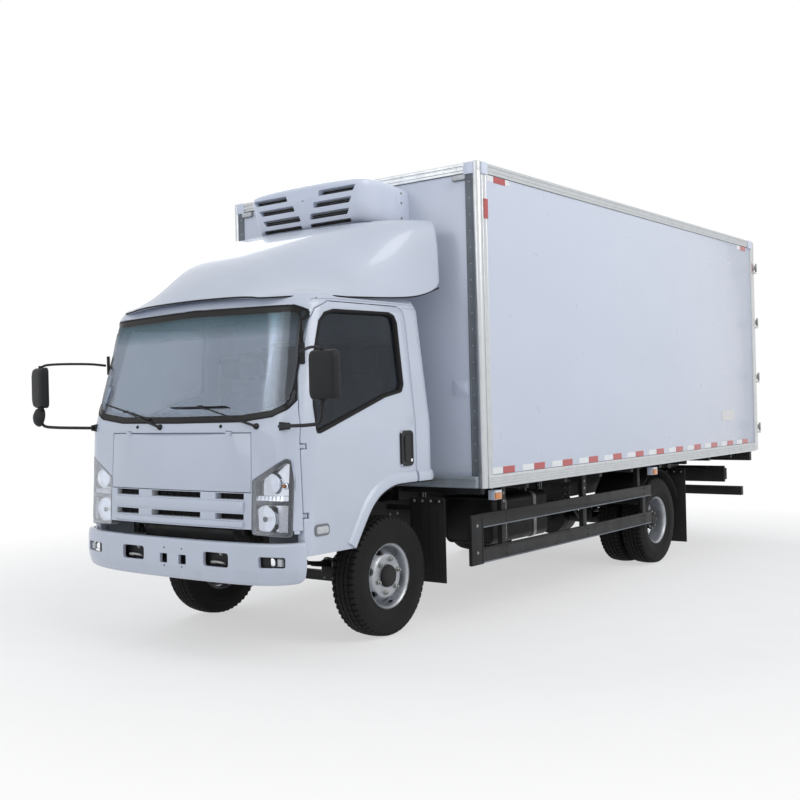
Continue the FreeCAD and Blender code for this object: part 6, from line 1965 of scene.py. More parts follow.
class TRUCK_OT_rear_doors(bpy.types.Operator):
    """Rear frame and doors: seals, lock rods with cams, handles, hinges, hold-backs and lamps"""

    bl_idname = "truck.rear_doors"
    bl_label = "Rear doors"

    BACK = DOOR_HIGH.y - AXLE_Y - 0.06            # outer face of the doors' skins
    FRAME_BACK = BACK + 0.004                      # rear face of the frame
    RODS = (0.22, 0.88)
    TAPE_Z = 1.0975 + SINK

    def execute(self, context):
        refined("box_rear_frame", "stainless_up", 0.002)
        for side, word in SIDES:
            node = word + "_rear_door"
            door = refined(node, ("body_gel_coat", "zinc_steel", "stainless_up"),
                           0.0015)
            painted(door, lambda c: c.y > self.BACK + 0.0005, 1)
            painted(door, lambda c: c.y > self.BACK + 0.013 and abs(c.x) < 1.0, 2)
            self.dress(side, word, node)
        self.frame_fittings()
        return {"FINISHED"}

    def dress(self, side, word, node):
        low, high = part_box("left_rear_door")
        z0, z1 = low[2] - SINK, high[2] - SINK
        x0, x1 = 0.004, 1.129
        back = self.BACK
        fit = Shape()
        # seal round the edge, its lip over the joint
        ring = rectangle(x1 - x0, z1 - z0, 0.02)
        centre = at((x0 + x1) / 2, back, (z0 + z1) / 2)
        outer = [centre + Vector((a, 0, b)) for a, b in ring]
        inner = [centre + Vector((a, 0, b)) for a,
                 b in rectangle(x1 - x0 - 0.052, z1 - z0 - 0.052, 0.012)]
        lift = [Vector((0, k, 0)) for k in (-0.002, 0.003, 0.006)]
        fit.loft([[p + lift[0] for p in outer], [p + lift[2] for p in outer],
                  [p.lerp(q, 0.5) + lift[1] for p, q in zip(outer, inner)],
                  [p + lift[2] for p in inner], [p + lift[0] for p in inner],
                  [p + lift[0] for p in outer]], 0, False)
        # rods, their guides, cams and handle
        for x in self.RODS:
            for z in (1.12, 1.5, 2.1, 2.7, 3.05):
                fit.facing(rectangle(0.078, 0.05, 0.006), at(x, back + 0.0002, z), 0.006, 2)
                for dx in (-0.029, 0.029):
                    fit.bolt(at(x + dx, back + 0.006, z), (0, 1, 0), 0.006, 0.005, 1)
        for x, reach in ((0.22, 0.3), (0.88, -0.3)):
            for z in (z0 + 0.03, z1 - 0.03):
                fit.facing(rectangle(0.056, 0.026, 0.006), at(x, back + 0.014, z), 0.024, 2)
            height = 1.3
            fit.facing(rectangle(0.064, 0.06, 0.012), at(x, back + 0.01, height), 0.033, 2)
            fit.tube(smooth_path([at(x, back + 0.044, height),
                                  at(x + reach * 0.3, back + 0.046, height - 0.004),
                                  at(x + reach * 0.7, back + 0.048, height - 0.006),
                                  at(x + reach, back + 0.044, height - 0.002)], 5), 0.008, 1,
                     section=rectangle(0.022, 0.009, 0.003, 2))
            fit.facing(rectangle(0.06, 0.08, 0.01), at(x + reach * 0.86, back + 0.0002, height),
                       0.034, 2)
            fit.turned([(0, 0.008), (0.01, 0.008)],
                       at(x + reach * 0.86, back + 0.034, height + 0.016), (0, 1, 0), 14, 1)
        # bolts on the hinge blades
        for z in (1.18, 1.73, 2.33, 2.93):
            for dx in (-0.175, -0.12, -0.06):
                fit.bolt(at(x1 + dx, back + 0.0118, z), (0, 1, 0), 0.0075, 0.006, 1)
        # red and white tape low on the door
        length_, width, step = 0.15, 0.048, 0.155
        for k in range(6):
            fit.facing(rectangle(length_, width), at(0.13 + step * k, back - 0.0005, self.TAPE_Z),
                       0.0022, 3 + k % 2)
        for k in range(3):
            fit.facing(rectangle(width, length_), at(1.036, back - 0.0005, 3.0 - step * k), 0.0022,
                       3 if k % 2 == 0 else 4)
        fit.facing(rectangle(0.115, 0.035, 0.006), at(0.56, back - 0.001, 1.42), 0.004, 5)
        # hold-back hook
        fit.tube(smooth_path([at(0.985, back + 0.004, 1.62), at(0.985, back + 0.024, 1.618),
                              at(0.985, back + 0.026, 1.58), at(0.985, back + 0.018, 1.57)], 4),
                 0.005, 1, 8)
        fit.on_side(side).piece(word + "_rear_door_fittings", node, "aluminium",
                                ("seal_rubber", "stainless_up", "zinc_steel", "red_lens",
                                    "reflector_white", "stainless_across"), bevel=0.001, segments=1)

    def frame_fittings(self):
        """Keepers for the cams, top lamps, side marks and bump rubbers on the rear frame."""
        part = Shape()
        rear = self.FRAME_BACK
        for x in self.RODS:
            for z in (FLOOR_Z + 0.085, ROOF_Z - 0.062):
                part.facing(rectangle(0.088, 0.058, 0.006), at(x, rear - 0.001, z), 0.007)
                for dx in (-0.032, 0.032):
                    part.block(at(x + dx - 0.006, rear + 0.005, z - 0.022),
                               at(x + dx + 0.006, rear + 0.034, z + 0.022))
        for x in (1.08, 0.94, 0.1):
            part.facing(rectangle(0.118, 0.046, 0.022, 6), at(x, rear - 0.001, ROOF_Z - 0.048),
                        0.008, 2)
            part.facing(rectangle(0.104, 0.034, 0.016, 6), at(x, rear + 0.006, ROOF_Z - 0.048),
                        0.014, 1)
        for x in (0.6, 1.02):
            part.facing(rectangle(0.12, 0.064, 0.01), at(x, rear - 0.001, FLOOR_Z + 0.04), 0.042, 3)
            part.bolt(at(x, rear + 0.041, FLOOR_Z + 0.04), (0, 1, 0), 0.009, 0.005)
        # dark mark and loop on the side of the frame
        part.block(at(WALL_X - 0.001, rear - 0.105, 2.857), at(WALL_X + 0.0022, rear - 0.045, 2.99),
                   1)
        part.block(at(WALL_X - 0.001, FRAME_Y + 0.004, FLOOR_Z + 0.01),
                   at(WALL_X + 0.005, FRAME_Y + 0.04, ROOF_Z - 0.08), 4)
        part.both_sides()
        part.piece("rear_frame_fittings", "chassis", "aluminium",
                   ("zinc_steel", "red_lens", "bezel_grey", "flap_rubber", "aluminium_up"),
                   bevel=0.0015)


# ---- wheels and running gear ------------------------------------------------------------------
WHEEL_Z = WHEEL.z - SINK
FRONT_TYRE_X = WHEEL.x
TYRE_HALF = (TYRE_HIGH.x - TYRE_LOW.x) / 2.0
REAR_OUT_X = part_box("left_rear_tyres")[1][0] - TYRE_HALF
REAR_IN_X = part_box("left_rear_tyres")[0][0] + TYRE_HALF

# Half section of a tyre from its bead to its middle: distance from the middle plane, radius, and
# how much of the tread's depth a gap between blocks takes away there.
TYRE_SECTION = (
    (0.07, 0.205, 0), (0.0835, 0.214, 0), (0.085, 0.2215, 0), (0.0885, 0.224, 0), (0.09, 0.229, 0),
    (0.0915, 0.24, 0), (0.0965, 0.256, 0), (0.0992, 0.268, 0), (0.1002, 0.27, 0), (0.1014, 0.29, 0),
    (0.102, 0.308, 0), (0.101, 0.324, 0), (0.1, 0.3262, 0), (0.099, 0.34, 0), (0.0972, 0.354, 0),
    (0.0962, 0.3565, 0), (0.0945, 0.365, 0.15), (0.0925, 0.376, 0.6), (0.0895, 0.385, 0.95),
    (0.085, 0.39, 1), (0.076, 0.3932, 1), (0.06, 0.3958, 1), (0.057, 0.394, 0.8),
    (0.056, 0.385, 0), (0.0495, 0.385, 0), (0.0485, 0.3945, 0.2), (0.046, 0.3972, 0.45),
    (0.025, 0.399, 0.45), (0.0225, 0.3965, 0.2), (0.0215, 0.386, 0), (0.016, 0.386, 0),
    (0.015, 0.397, 0), (0.013, 0.3993, 0.35), (0.003, 0.3998, 0.35))
NUT_CIRCLE = 0.111


def on_wheel(x, y, reach, angle):
    """A point at this reach and angle round a wheel's axis."""
    return at(x, y + reach * math.cos(angle), WHEEL_Z + reach * math.sin(angle))


def tyre(shape, x, y, turn=0.0, look=0):
    """Tyre with circumferential grooves and tread blocks, their gaps cut into both shoulders."""
    depth, blocks = sizes().tread_depth, sizes().tread_blocks
    half = list(TYRE_SECTION)
    section = half + [(-a, r, cut) for a, r, cut in reversed(half)]
    rings = []
    for k in range(blocks):
        for share, gap in ((0.0, 1.0), (0.14, 1.0), (0.2, 0.0), (0.6, 0.0), (0.94, 0.0)):
            ring = []
            for a, r, cut in section:
                # the right half of the tread is set off by half a block
                open_ = gap if a > 0 else float(share == 0.6)
                angle = math.tau * (k + share) / blocks + turn
                reach = r * TYRE_RADIUS / 0.4 - depth * cut * open_
                ring.append(on_wheel(x + a, y, reach, angle))
            rings.append(ring)
    shape.loft(rings + [rings[0]], look, caps=False)


def ring_section(shape, profile, x, y, look, steps=72):
    """A closed section of (distance out, radius) turned about a wheel's middle."""
    shape.turned(list(profile) + [profile[0]], at(x, y, WHEEL_Z), (1, 0, 0), steps, look,
                 caps=False)


# Rim from its outer flange inwards and back along the tyre's side.
RIM_SECTION = ((0.082, 0.2135), (0.0845, 0.2165), (0.0835, 0.2188), (0.079, 0.219), (0.075, 0.2165),
               (0.0725, 0.208), (0.07, 0.2038), (0.03, 0.2025), (-0.07, 0.2038), (-0.0725, 0.208),
               (-0.075, 0.2165), (-0.079, 0.219), (-0.0835, 0.2188), (-0.0845, 0.2165),
               (-0.082, 0.2135), (-0.078, 0.205), (-0.065, 0.1985), (-0.03, 0.194), (0.02, 0.1925),
               (0.05, 0.195), (0.066, 0.199), (0.078, 0.206))


class TRUCK_OT_wheels(bpy.types.Operator):
    """Tyres with their tread and sidewall ribs, pressed steel wheels, nuts, valves and hubs"""

    bl_idname = "truck.wheels"
    bl_label = "Wheels"

    def execute(self, context):
        for side, word in SIDES:
            rubber_ = Shape()
            tyre(rubber_, FRONT_TYRE_X, 0.0)
            rubber_.on_side(side).piece(word + "_front_tyre_tread", word + "_front_wheel",
                                        "tyre_rubber", "tyre_rubber", (word + "_front_tyre",),
                                        sharp=28)
            twin = Shape()
            tyre(twin, REAR_OUT_X, WHEELBASE)
            tyre(twin, REAR_IN_X, WHEELBASE, 0.03)
            twin.on_side(side).piece(word + "_rear_tyre_treads", word + "_rear_wheels",
                                     "tyre_rubber", "tyre_rubber", (word + "_rear_tyres",),
                                     sharp=28)
            self.front(side, word)
            self.rear(side, word)
        return {"FINISHED"}

    # Face of a front disc: distance out of the tyre's middle plane and radius, front then back.
    DISC = ((0.066, 0.062), (0.066, 0.126), (0.0645, 0.138), (0.058, 0.146), (0.04, 0.156),
            (0.018, 0.172), (0.008, 0.182), (0.002, 0.193), (-0.012, 0.193), (-0.004, 0.178),
            (0.01, 0.163), (0.032, 0.148), (0.05, 0.136), (0.054, 0.126), (0.054, 0.062))

    def hand_holes(self, radius, x0, x1, y, count=6, turn=0.0, size=(0.023, 0.0155)):
        """Oval openings round a disc."""
        holes = Shape()
        for k in range(count):
            angle = math.tau * k / count + turn
            outline = []
            for a, b in circle(1.0):
                along, out = a * size[0], radius + b * size[1]
                outline.append((out * math.cos(angle) - along * math.sin(angle),
                                out * math.sin(angle) + along * math.cos(angle)))
            holes.sideways(outline, at(x0, y, WHEEL_Z), x1 - x0)
        return holes

    def disc(self, profile, holes):
        shape = Shape()
        shape.turned(list(profile) + [profile[0]], holes[1], (1, 0, 0), 96, caps=False)
        obj = shape.object("disc")
        carved(obj, holes[0])
        modified(obj, "BEVEL", width=0.0012, segments=2, limit_method="ANGLE",
                 angle_limit=math.radians(50))
        applied(obj)
        made = Shape().add([v.co.copy() for v in obj.data.vertices],
                           [list(face.vertices) for face in obj.data.polygons])
        bpy.data.objects.remove(obj)
        return made

    def nuts(self, shape, x, y, circle_radius, count, size, height, look, turn=0.26):
        for k in range(count):
            angle = math.tau * k / count + turn
            place = on_wheel(x, y, circle_radius, angle)
            shape.turned([(0, size * 1.45), (0.003, size * 1.45), (0.0045, size * 1.1)], place,
                         (1, 0, 0), 20, look)
            shape.turned([(0.003, size * 1.12), (height * 0.85, size * 1.12),
                          (height, size * 0.85)], place, (1, 0, 0), 6, look)
            shape.turned([(height, size * 0.62), (height + 0.008, size * 0.6),
                          (height + 0.01, size * 0.45)], place, (1, 0, 0), 12, look)

    def front(self, side, word):
        wheel = Shape()
        x, y = FRONT_TYRE_X, 0.0
        ring_section(wheel, RIM_SECTION, x, y, 0, 96)
        wheel.include(self.disc(self.DISC, (self.hand_holes(0.164, x - 0.05, x + 0.08, y, 6, 0.78,
                                                            (0.034, 0.0195)), at(x, y, WHEEL_Z))))
        self.nuts(wheel, x + 0.066, y, NUT_CIRCLE, 6, 0.0135, 0.02, 1)
        # hub with its grease cap
        ring_section(wheel, ((0.04, 0.04), (0.072, 0.074), (0.078, 0.074), (0.09, 0.066),
                             (0.092, 0.058), (0.092, 0.001), (0.04, 0.001)), x, y, 2, 48)
        wheel.turned([(0.0915, 0.05), (0.0935, 0.05), (0.0945, 0.047), (0.0945, 0.001)],
                     at(x, y, WHEEL_Z), (1, 0, 0), 36, 2)
        for k in range(8):
            angle = math.pi * k / 4 + 0.2
            wheel.bolt(on_wheel(x + 0.0905, y, 0.0585, angle), (1, 0, 0), 0.005, 0.0035, 2)
        # brake disc and its bell, seen through the openings
        ring_section(wheel, ((-0.034, 0.06), (-0.034, 0.168), (-0.022, 0.17), (-0.006, 0.17),
                             (-0.006, 0.11), (0.04, 0.1), (0.04, 0.06)), x, y, 3, 64)
        self.valve(wheel, x + 0.03, y, 0.19)
        wheel.on_side(side).piece(word + "_front_wheel_rim", word + "_front_wheel", "wheel_silver",
                                  ("wheel_silver", "zinc_steel", "chassis_black", "brake_iron",
                                      "seal_rubber"), (word + "_front_rim",), sharp=32)

    def valve(self, wheel, x, y, radius):
        angle = math.radians(-72)
        foot = on_wheel(x, y, radius, angle)
        tip = foot + Vector((0.045, -0.01 * math.cos(angle), -0.01 * math.sin(angle)))
        wheel.rod(foot, foot.lerp(tip, 0.6), 0.0055, 4, 12)
        wheel.rod(foot.lerp(tip, 0.6), tip, 0.0042, 1, 12)

    # The rear disc lies deep in the wheel.
    REAR_DISC = ((-0.1, 0.07), (-0.1, 0.122), (-0.097, 0.136), (-0.088, 0.15), (-0.076, 0.176),
                 (-0.066, 0.186), (-0.05, 0.194), (-0.064, 0.197), (-0.086, 0.19), (-0.1, 0.176),
                 (-0.11, 0.15), (-0.112, 0.122), (-0.112, 0.07))

    def rear(self, side, word):
        wheel = Shape()
        y = WHEELBASE
        for x in (REAR_OUT_X, REAR_IN_X):
            ring_section(wheel, RIM_SECTION, x, y, 0, 96)
        x = REAR_OUT_X
        for disc in (self.REAR_DISC, tuple((-0.236 - a, r) for a, r in self.REAR_DISC)):
            holes = self.hand_holes(0.163, x - 0.18, x - 0.03, y, 6, 0.5, (0.034, 0.019))
            wheel.include(self.disc(disc, (holes, at(x, y, WHEEL_Z))))
        self.nuts(wheel, x - 0.1, y, NUT_CIRCLE, 6, 0.0145, 0.024, 1)
        ring_section(wheel, ((-0.118, 0.045), (-0.118, 0.09), (-0.098, 0.09), (-0.094, 0.082),
                             (0.02, 0.08), (0.026, 0.078), (0.026, 0.092), (0.036, 0.092),
                             (0.038, 0.088), (0.038, 0.06), (0.05, 0.052), (0.061, 0.04),
                             (0.062, 0.001), (0.045, 0.001), (0.045, 0.045)), x, y, 2, 48)
        for k in range(8):
            angle = math.pi * k / 4
            wheel.bolt(on_wheel(x + 0.0375, y, 0.078, angle), (1, 0, 0), 0.0075, 0.008, 1)
        # brake drum
        ring_section(wheel, ((-0.128, 0.07), (-0.128, 0.15), (-0.15, 0.168), (-0.215, 0.168),
                             (-0.22, 0.174), (-0.232, 0.174), (-0.232, 0.16), (-0.15, 0.156),
                             (-0.14, 0.07)), x, y, 3, 64)
        self.valve(wheel, x - 0.05, y, 0.188)
        wheel.on_side(side).piece(word + "_rear_wheel_rims", word + "_rear_wheels", "wheel_silver",
                                  ("wheel_silver", "zinc_steel", "chassis_black", "brake_iron",
                                      "seal_rubber"), (word + "_rear_rims",), sharp=32)


class TRUCK_OT_running_gear(bpy.types.Operator):
    """Axles, leaf springs with their leaves and clips, dampers, steering rods and propshaft"""

    bl_idname = "truck.running_gear"
    bl_label = "Running gear"

    # Each pair of springs: axle's place, half span, height of the seat, leaves.
    SPRINGS = ((0.0, 0.56, WHEEL_Z + 0.037, 5), (WHEELBASE, 0.64, WHEEL_Z + 0.082, 7))
    SPRING_X = 0.39
    EYE_Z = 0.565

    def execute(self, context):
        refined("front_axle", "chassis_black", 0.008, 3)
        refined("rear_axle", "chassis_black", 0.01, 3)
        refined("propshaft", ("chassis_black", "cast_iron"), 0.002)
        for word in ("left", "right"):
            refined(word + "_knuckle", "cast_iron", 0.006, 3)
        self.springs()
        self.axle_fittings()
        return {"FINISHED"}

    def curve(self, seat, share):
        """Height of the top leaf's middle at a share of the half span."""
        crown = seat + 0.034
        return crown + (self.EYE_Z - crown) * abs(share) ** 1.7

    def springs(self):
        springs = Shape()
        x, w = self.SPRING_X, 0.029
        for y, span, seat, count in self.SPRINGS:
            thick = 0.034 / count
            for k in range(count):
                reach = 1.0 - 0.8 * k / count
                rings = []
                for i in range(17):
                    share = reach * (i / 8.0 - 1.0)
                    top = self.curve(seat, share) - thick * k * 1.02
                    rings.append([at(x + a, y + share * span, top + b) for a, b in
                                  ((-w, -thick * 0.9), (w, -thick * 0.9), (w, 0), (-w, 0))])
                springs.loft(rings)
            for s in (1, -1):
                eye = at(x, y + s * span, self.EYE_Z)
                springs.turned([(-0.033, 0.019), (0.033, 0.019)], eye, (1, 0, 0), 24)
                springs.turned([(-0.045, 0.009), (0.045, 0.009)], eye, (1, 0, 0), 14, 1)
                for a in (-0.038, 0.032):
                    springs.block(eye + Vector((a, -0.022, -0.024)),
                                  eye + Vector((a + 0.006, 0.022, 0.075)), 2)
                springs.block(eye + Vector((-0.038, -0.034, 0.05)),
                              eye + Vector((0.038, 0.034, 0.062)), 2)
                # clip round the leaves
                share = s * 0.55
                mid = at(x, y + share * span, self.curve(seat, share) - 0.01)
                springs.block(mid + Vector((-w - 0.005, -0.012, -0.02)),
                              mid + Vector((w + 0.005, 0.012, 0.014)), 2)
            for dy in (-0.055, 0.055):
                for a in (-w - 0.008, w + 0.008):
                    springs.rod(at(x + a, y + dy, seat - 0.085), at(x + a, y + dy, seat + 0.052),
                                0.007, 1, 10)
                springs.tube(smooth_path([at(x - w - 0.008, y + dy, seat + 0.04),
                                          at(x - w * 0.8, y + dy, seat + 0.055),
                                          at(x + w * 0.8, y + dy, seat + 0.055),
                                          at(x + w + 0.008, y + dy, seat + 0.04)], 4), 0.007, 1, 10)
            springs.block(at(x - 0.046, y - 0.075, seat + 0.034),
                          at(x + 0.046, y + 0.075, seat + 0.042), 2)
        springs.both_sides()
        springs.piece("spring_leaves", "chassis", "chassis_black",
                      ("chassis_black", "zinc_steel", "cast_iron"), ("leaf_springs",), bevel=0.001,
                      segments=1)

    def axle_fittings(self):
        parts = Shape()
        # dampers
        for foot, head in (((0.335, 0.085, 0.39), (0.335, 0.3, 0.64)),
                           ((0.33, WHEELBASE - 0.11, 0.39), (0.33, WHEELBASE - 0.42, 0.64))):
            a, b = at(*foot), at(*head)
            parts.rod(a, a.lerp(b, 0.55), 0.022, 0, 18)
            parts.rod(a.lerp(b, 0.4), b, 0.028, 0, 18)
            parts.turned([(-0.02, 0.017), (0.02, 0.017)], a, (1, 0, 0), 16, 2)
            parts.turned([(-0.02, 0.017), (0.02, 0.017)], b, (1, 0, 0), 16, 2)
        parts.both_sides()
        # cover of the final drive, brake pipes on the rear axle
        centre = at(0, WHEELBASE + 0.118, WHEEL_Z)
        parts.turned([(0, 0.15), (0.012, 0.15), (0.03, 0.13), (0.045, 0.09), (0.052, 0.04),
                      (0.053, 0.001)], centre, (0, 1, 0), 40, 1)
        for k in range(10):
            angle = math.tau * k / 10
            parts.bolt(centre + Vector((0.14 * math.cos(angle), 0.01, 0.14 * math.sin(angle))),
                       (0, 1, 0), 0.009, 0.008, 3)
        for side in (1, -1):
            parts.tube(smooth_path([at(side * 0.1, WHEELBASE - 0.02, WHEEL_Z + 0.12),
                                    at(side * 0.3, WHEELBASE - 0.05, WHEEL_Z + 0.068),
                                    at(side * 0.5, WHEELBASE - 0.06, WHEEL_Z + 0.062)]), 0.004, 3,
                       8)
        parts.tube(smooth_path([at(0.05, WHEELBASE - 0.02, WHEEL_Z + 0.15),
                                at(0.12, WHEELBASE - 0.12, WHEEL_Z + 0.21),
                                at(0.2, WHEELBASE - 0.25, WHEEL_Z + 0.27)]), 0.008, 4, 10)
        # joints of the propshaft
        for y, z in ((0.64, 0.595), (2.05, 0.5), (3.44, WHEEL_Z + 0.022)):
            parts.turned([(-0.045, 0.052), (-0.03, 0.06), (0.03, 0.06), (0.045, 0.052)],
                         at(0, y, z), (0, 1, -0.06), 24, 1)
        parts.block(at(-0.075, 2.03, 0.43), at(0.075, 2.07, 0.64))
        parts.piece("axle_fittings", "chassis", "chassis_black",
                    ("chassis_black", "cast_iron", "seal_rubber", "zinc_steel", "flap_rubber"),
                    bevel=0.0015, segments=1)


# ---- chassis and its equipment ----------------------------------------------------------------
RAIL_X = 0.425
UNDERRUN_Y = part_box("underrun_bar")[0][1] - AXLE_Y


class TRUCK_OT_chassis(bpy.types.Operator):
    """Chassis frame with its bolts, pipes and brackets, and the body's clamps"""

    bl_idname = "truck.chassis"
    bl_label = "Chassis frame"

    def execute(self, context):
        refined("chassis_frame", "chassis_black")
        parts = Shape()
        for y in (0.645, 1.525, 2.475, 3.275, 4.425, 5.225):
            for dy in (-0.045, 0.045):
                for z in (0.66, 0.72, 0.78):
                    parts.bolt(at(RAIL_X, y + dy, z), (1, 0, 0), 0.008, 0.007, 1)
            parts.block(at(0.33, y - 0.075, 0.635), at(0.4165, y + 0.075, 0.641))
        # clamps that hold the body on the rails
        for y in (1.0, 1.75, 2.75, 4.05, 4.95, 5.55):
            parts.block(at(RAIL_X + 0.0005, y - 0.035, 0.7), at(RAIL_X + 0.01, y + 0.035, 0.905))
            parts.tube(smooth_path([at(RAIL_X + 0.022, y - 0.016, 0.89),
                                    at(RAIL_X + 0.022, y - 0.016, 0.72), at(RAIL_X + 0.022, y, 0.7),
                                    at(RAIL_X + 0.022, y + 0.016, 0.72),
                                    at(RAIL_X + 0.022, y + 0.016, 0.89)], 4), 0.006, 1, 8)
            for z in (0.74, 0.78, 0.87):
                parts.bolt(at(RAIL_X + 0.009, y - 0.022, z), (1, 0, 0), 0.007, 0.006, 1)
        parts.both_sides()
        # pipes and a cable along the inner face of a rail
        for k, (z, r) in enumerate(((0.7, 0.005), (0.716, 0.005), (0.745, 0.01))):
            x = 0.405
            parts.tube(smooth_path([at(x, 0.75, z), at(x - 0.006, 1.6, z + 0.004),
                                    at(x, 2.6, z - 0.004), at(x - 0.006, 3.9, z + 0.002),
                                    at(x, 5.1, z)], 8), r, 2 if k == 2 else 1, 8)
        # air tank and spare fittings on the right rail
        parts.turned([(-0.3, 0.02), (-0.29, 0.075), (-0.27, 0.098), (-0.24, 0.105), (0.24, 0.105),
                      (0.27, 0.098), (0.29, 0.075), (0.3, 0.02)], at(-0.6, 2.3, 0.6), (0, 1, 0))
        for y in (2.15, 2.45):
            parts.turned([(-0.018, 0.108), (0.018, 0.108)], at(-0.6, y, 0.6), (0, 1, 0), 32, 1)
            parts.block(at(-0.52, y - 0.018, 0.64), at(-0.424, y + 0.018, 0.7))
        parts.turned([(0, 0.01), (0.02, 0.01), (0.022, 0.006), (0.05, 0.006)], at(-0.6, 2.3, 0.497),
                     (0, 0, -1), 12, 1)
        parts.piece("frame_fittings", "chassis", "chassis_black",
                    ("chassis_black", "zinc_steel", "flap_rubber"), bevel=0.0012, segments=1)
        return {"FINISHED"}


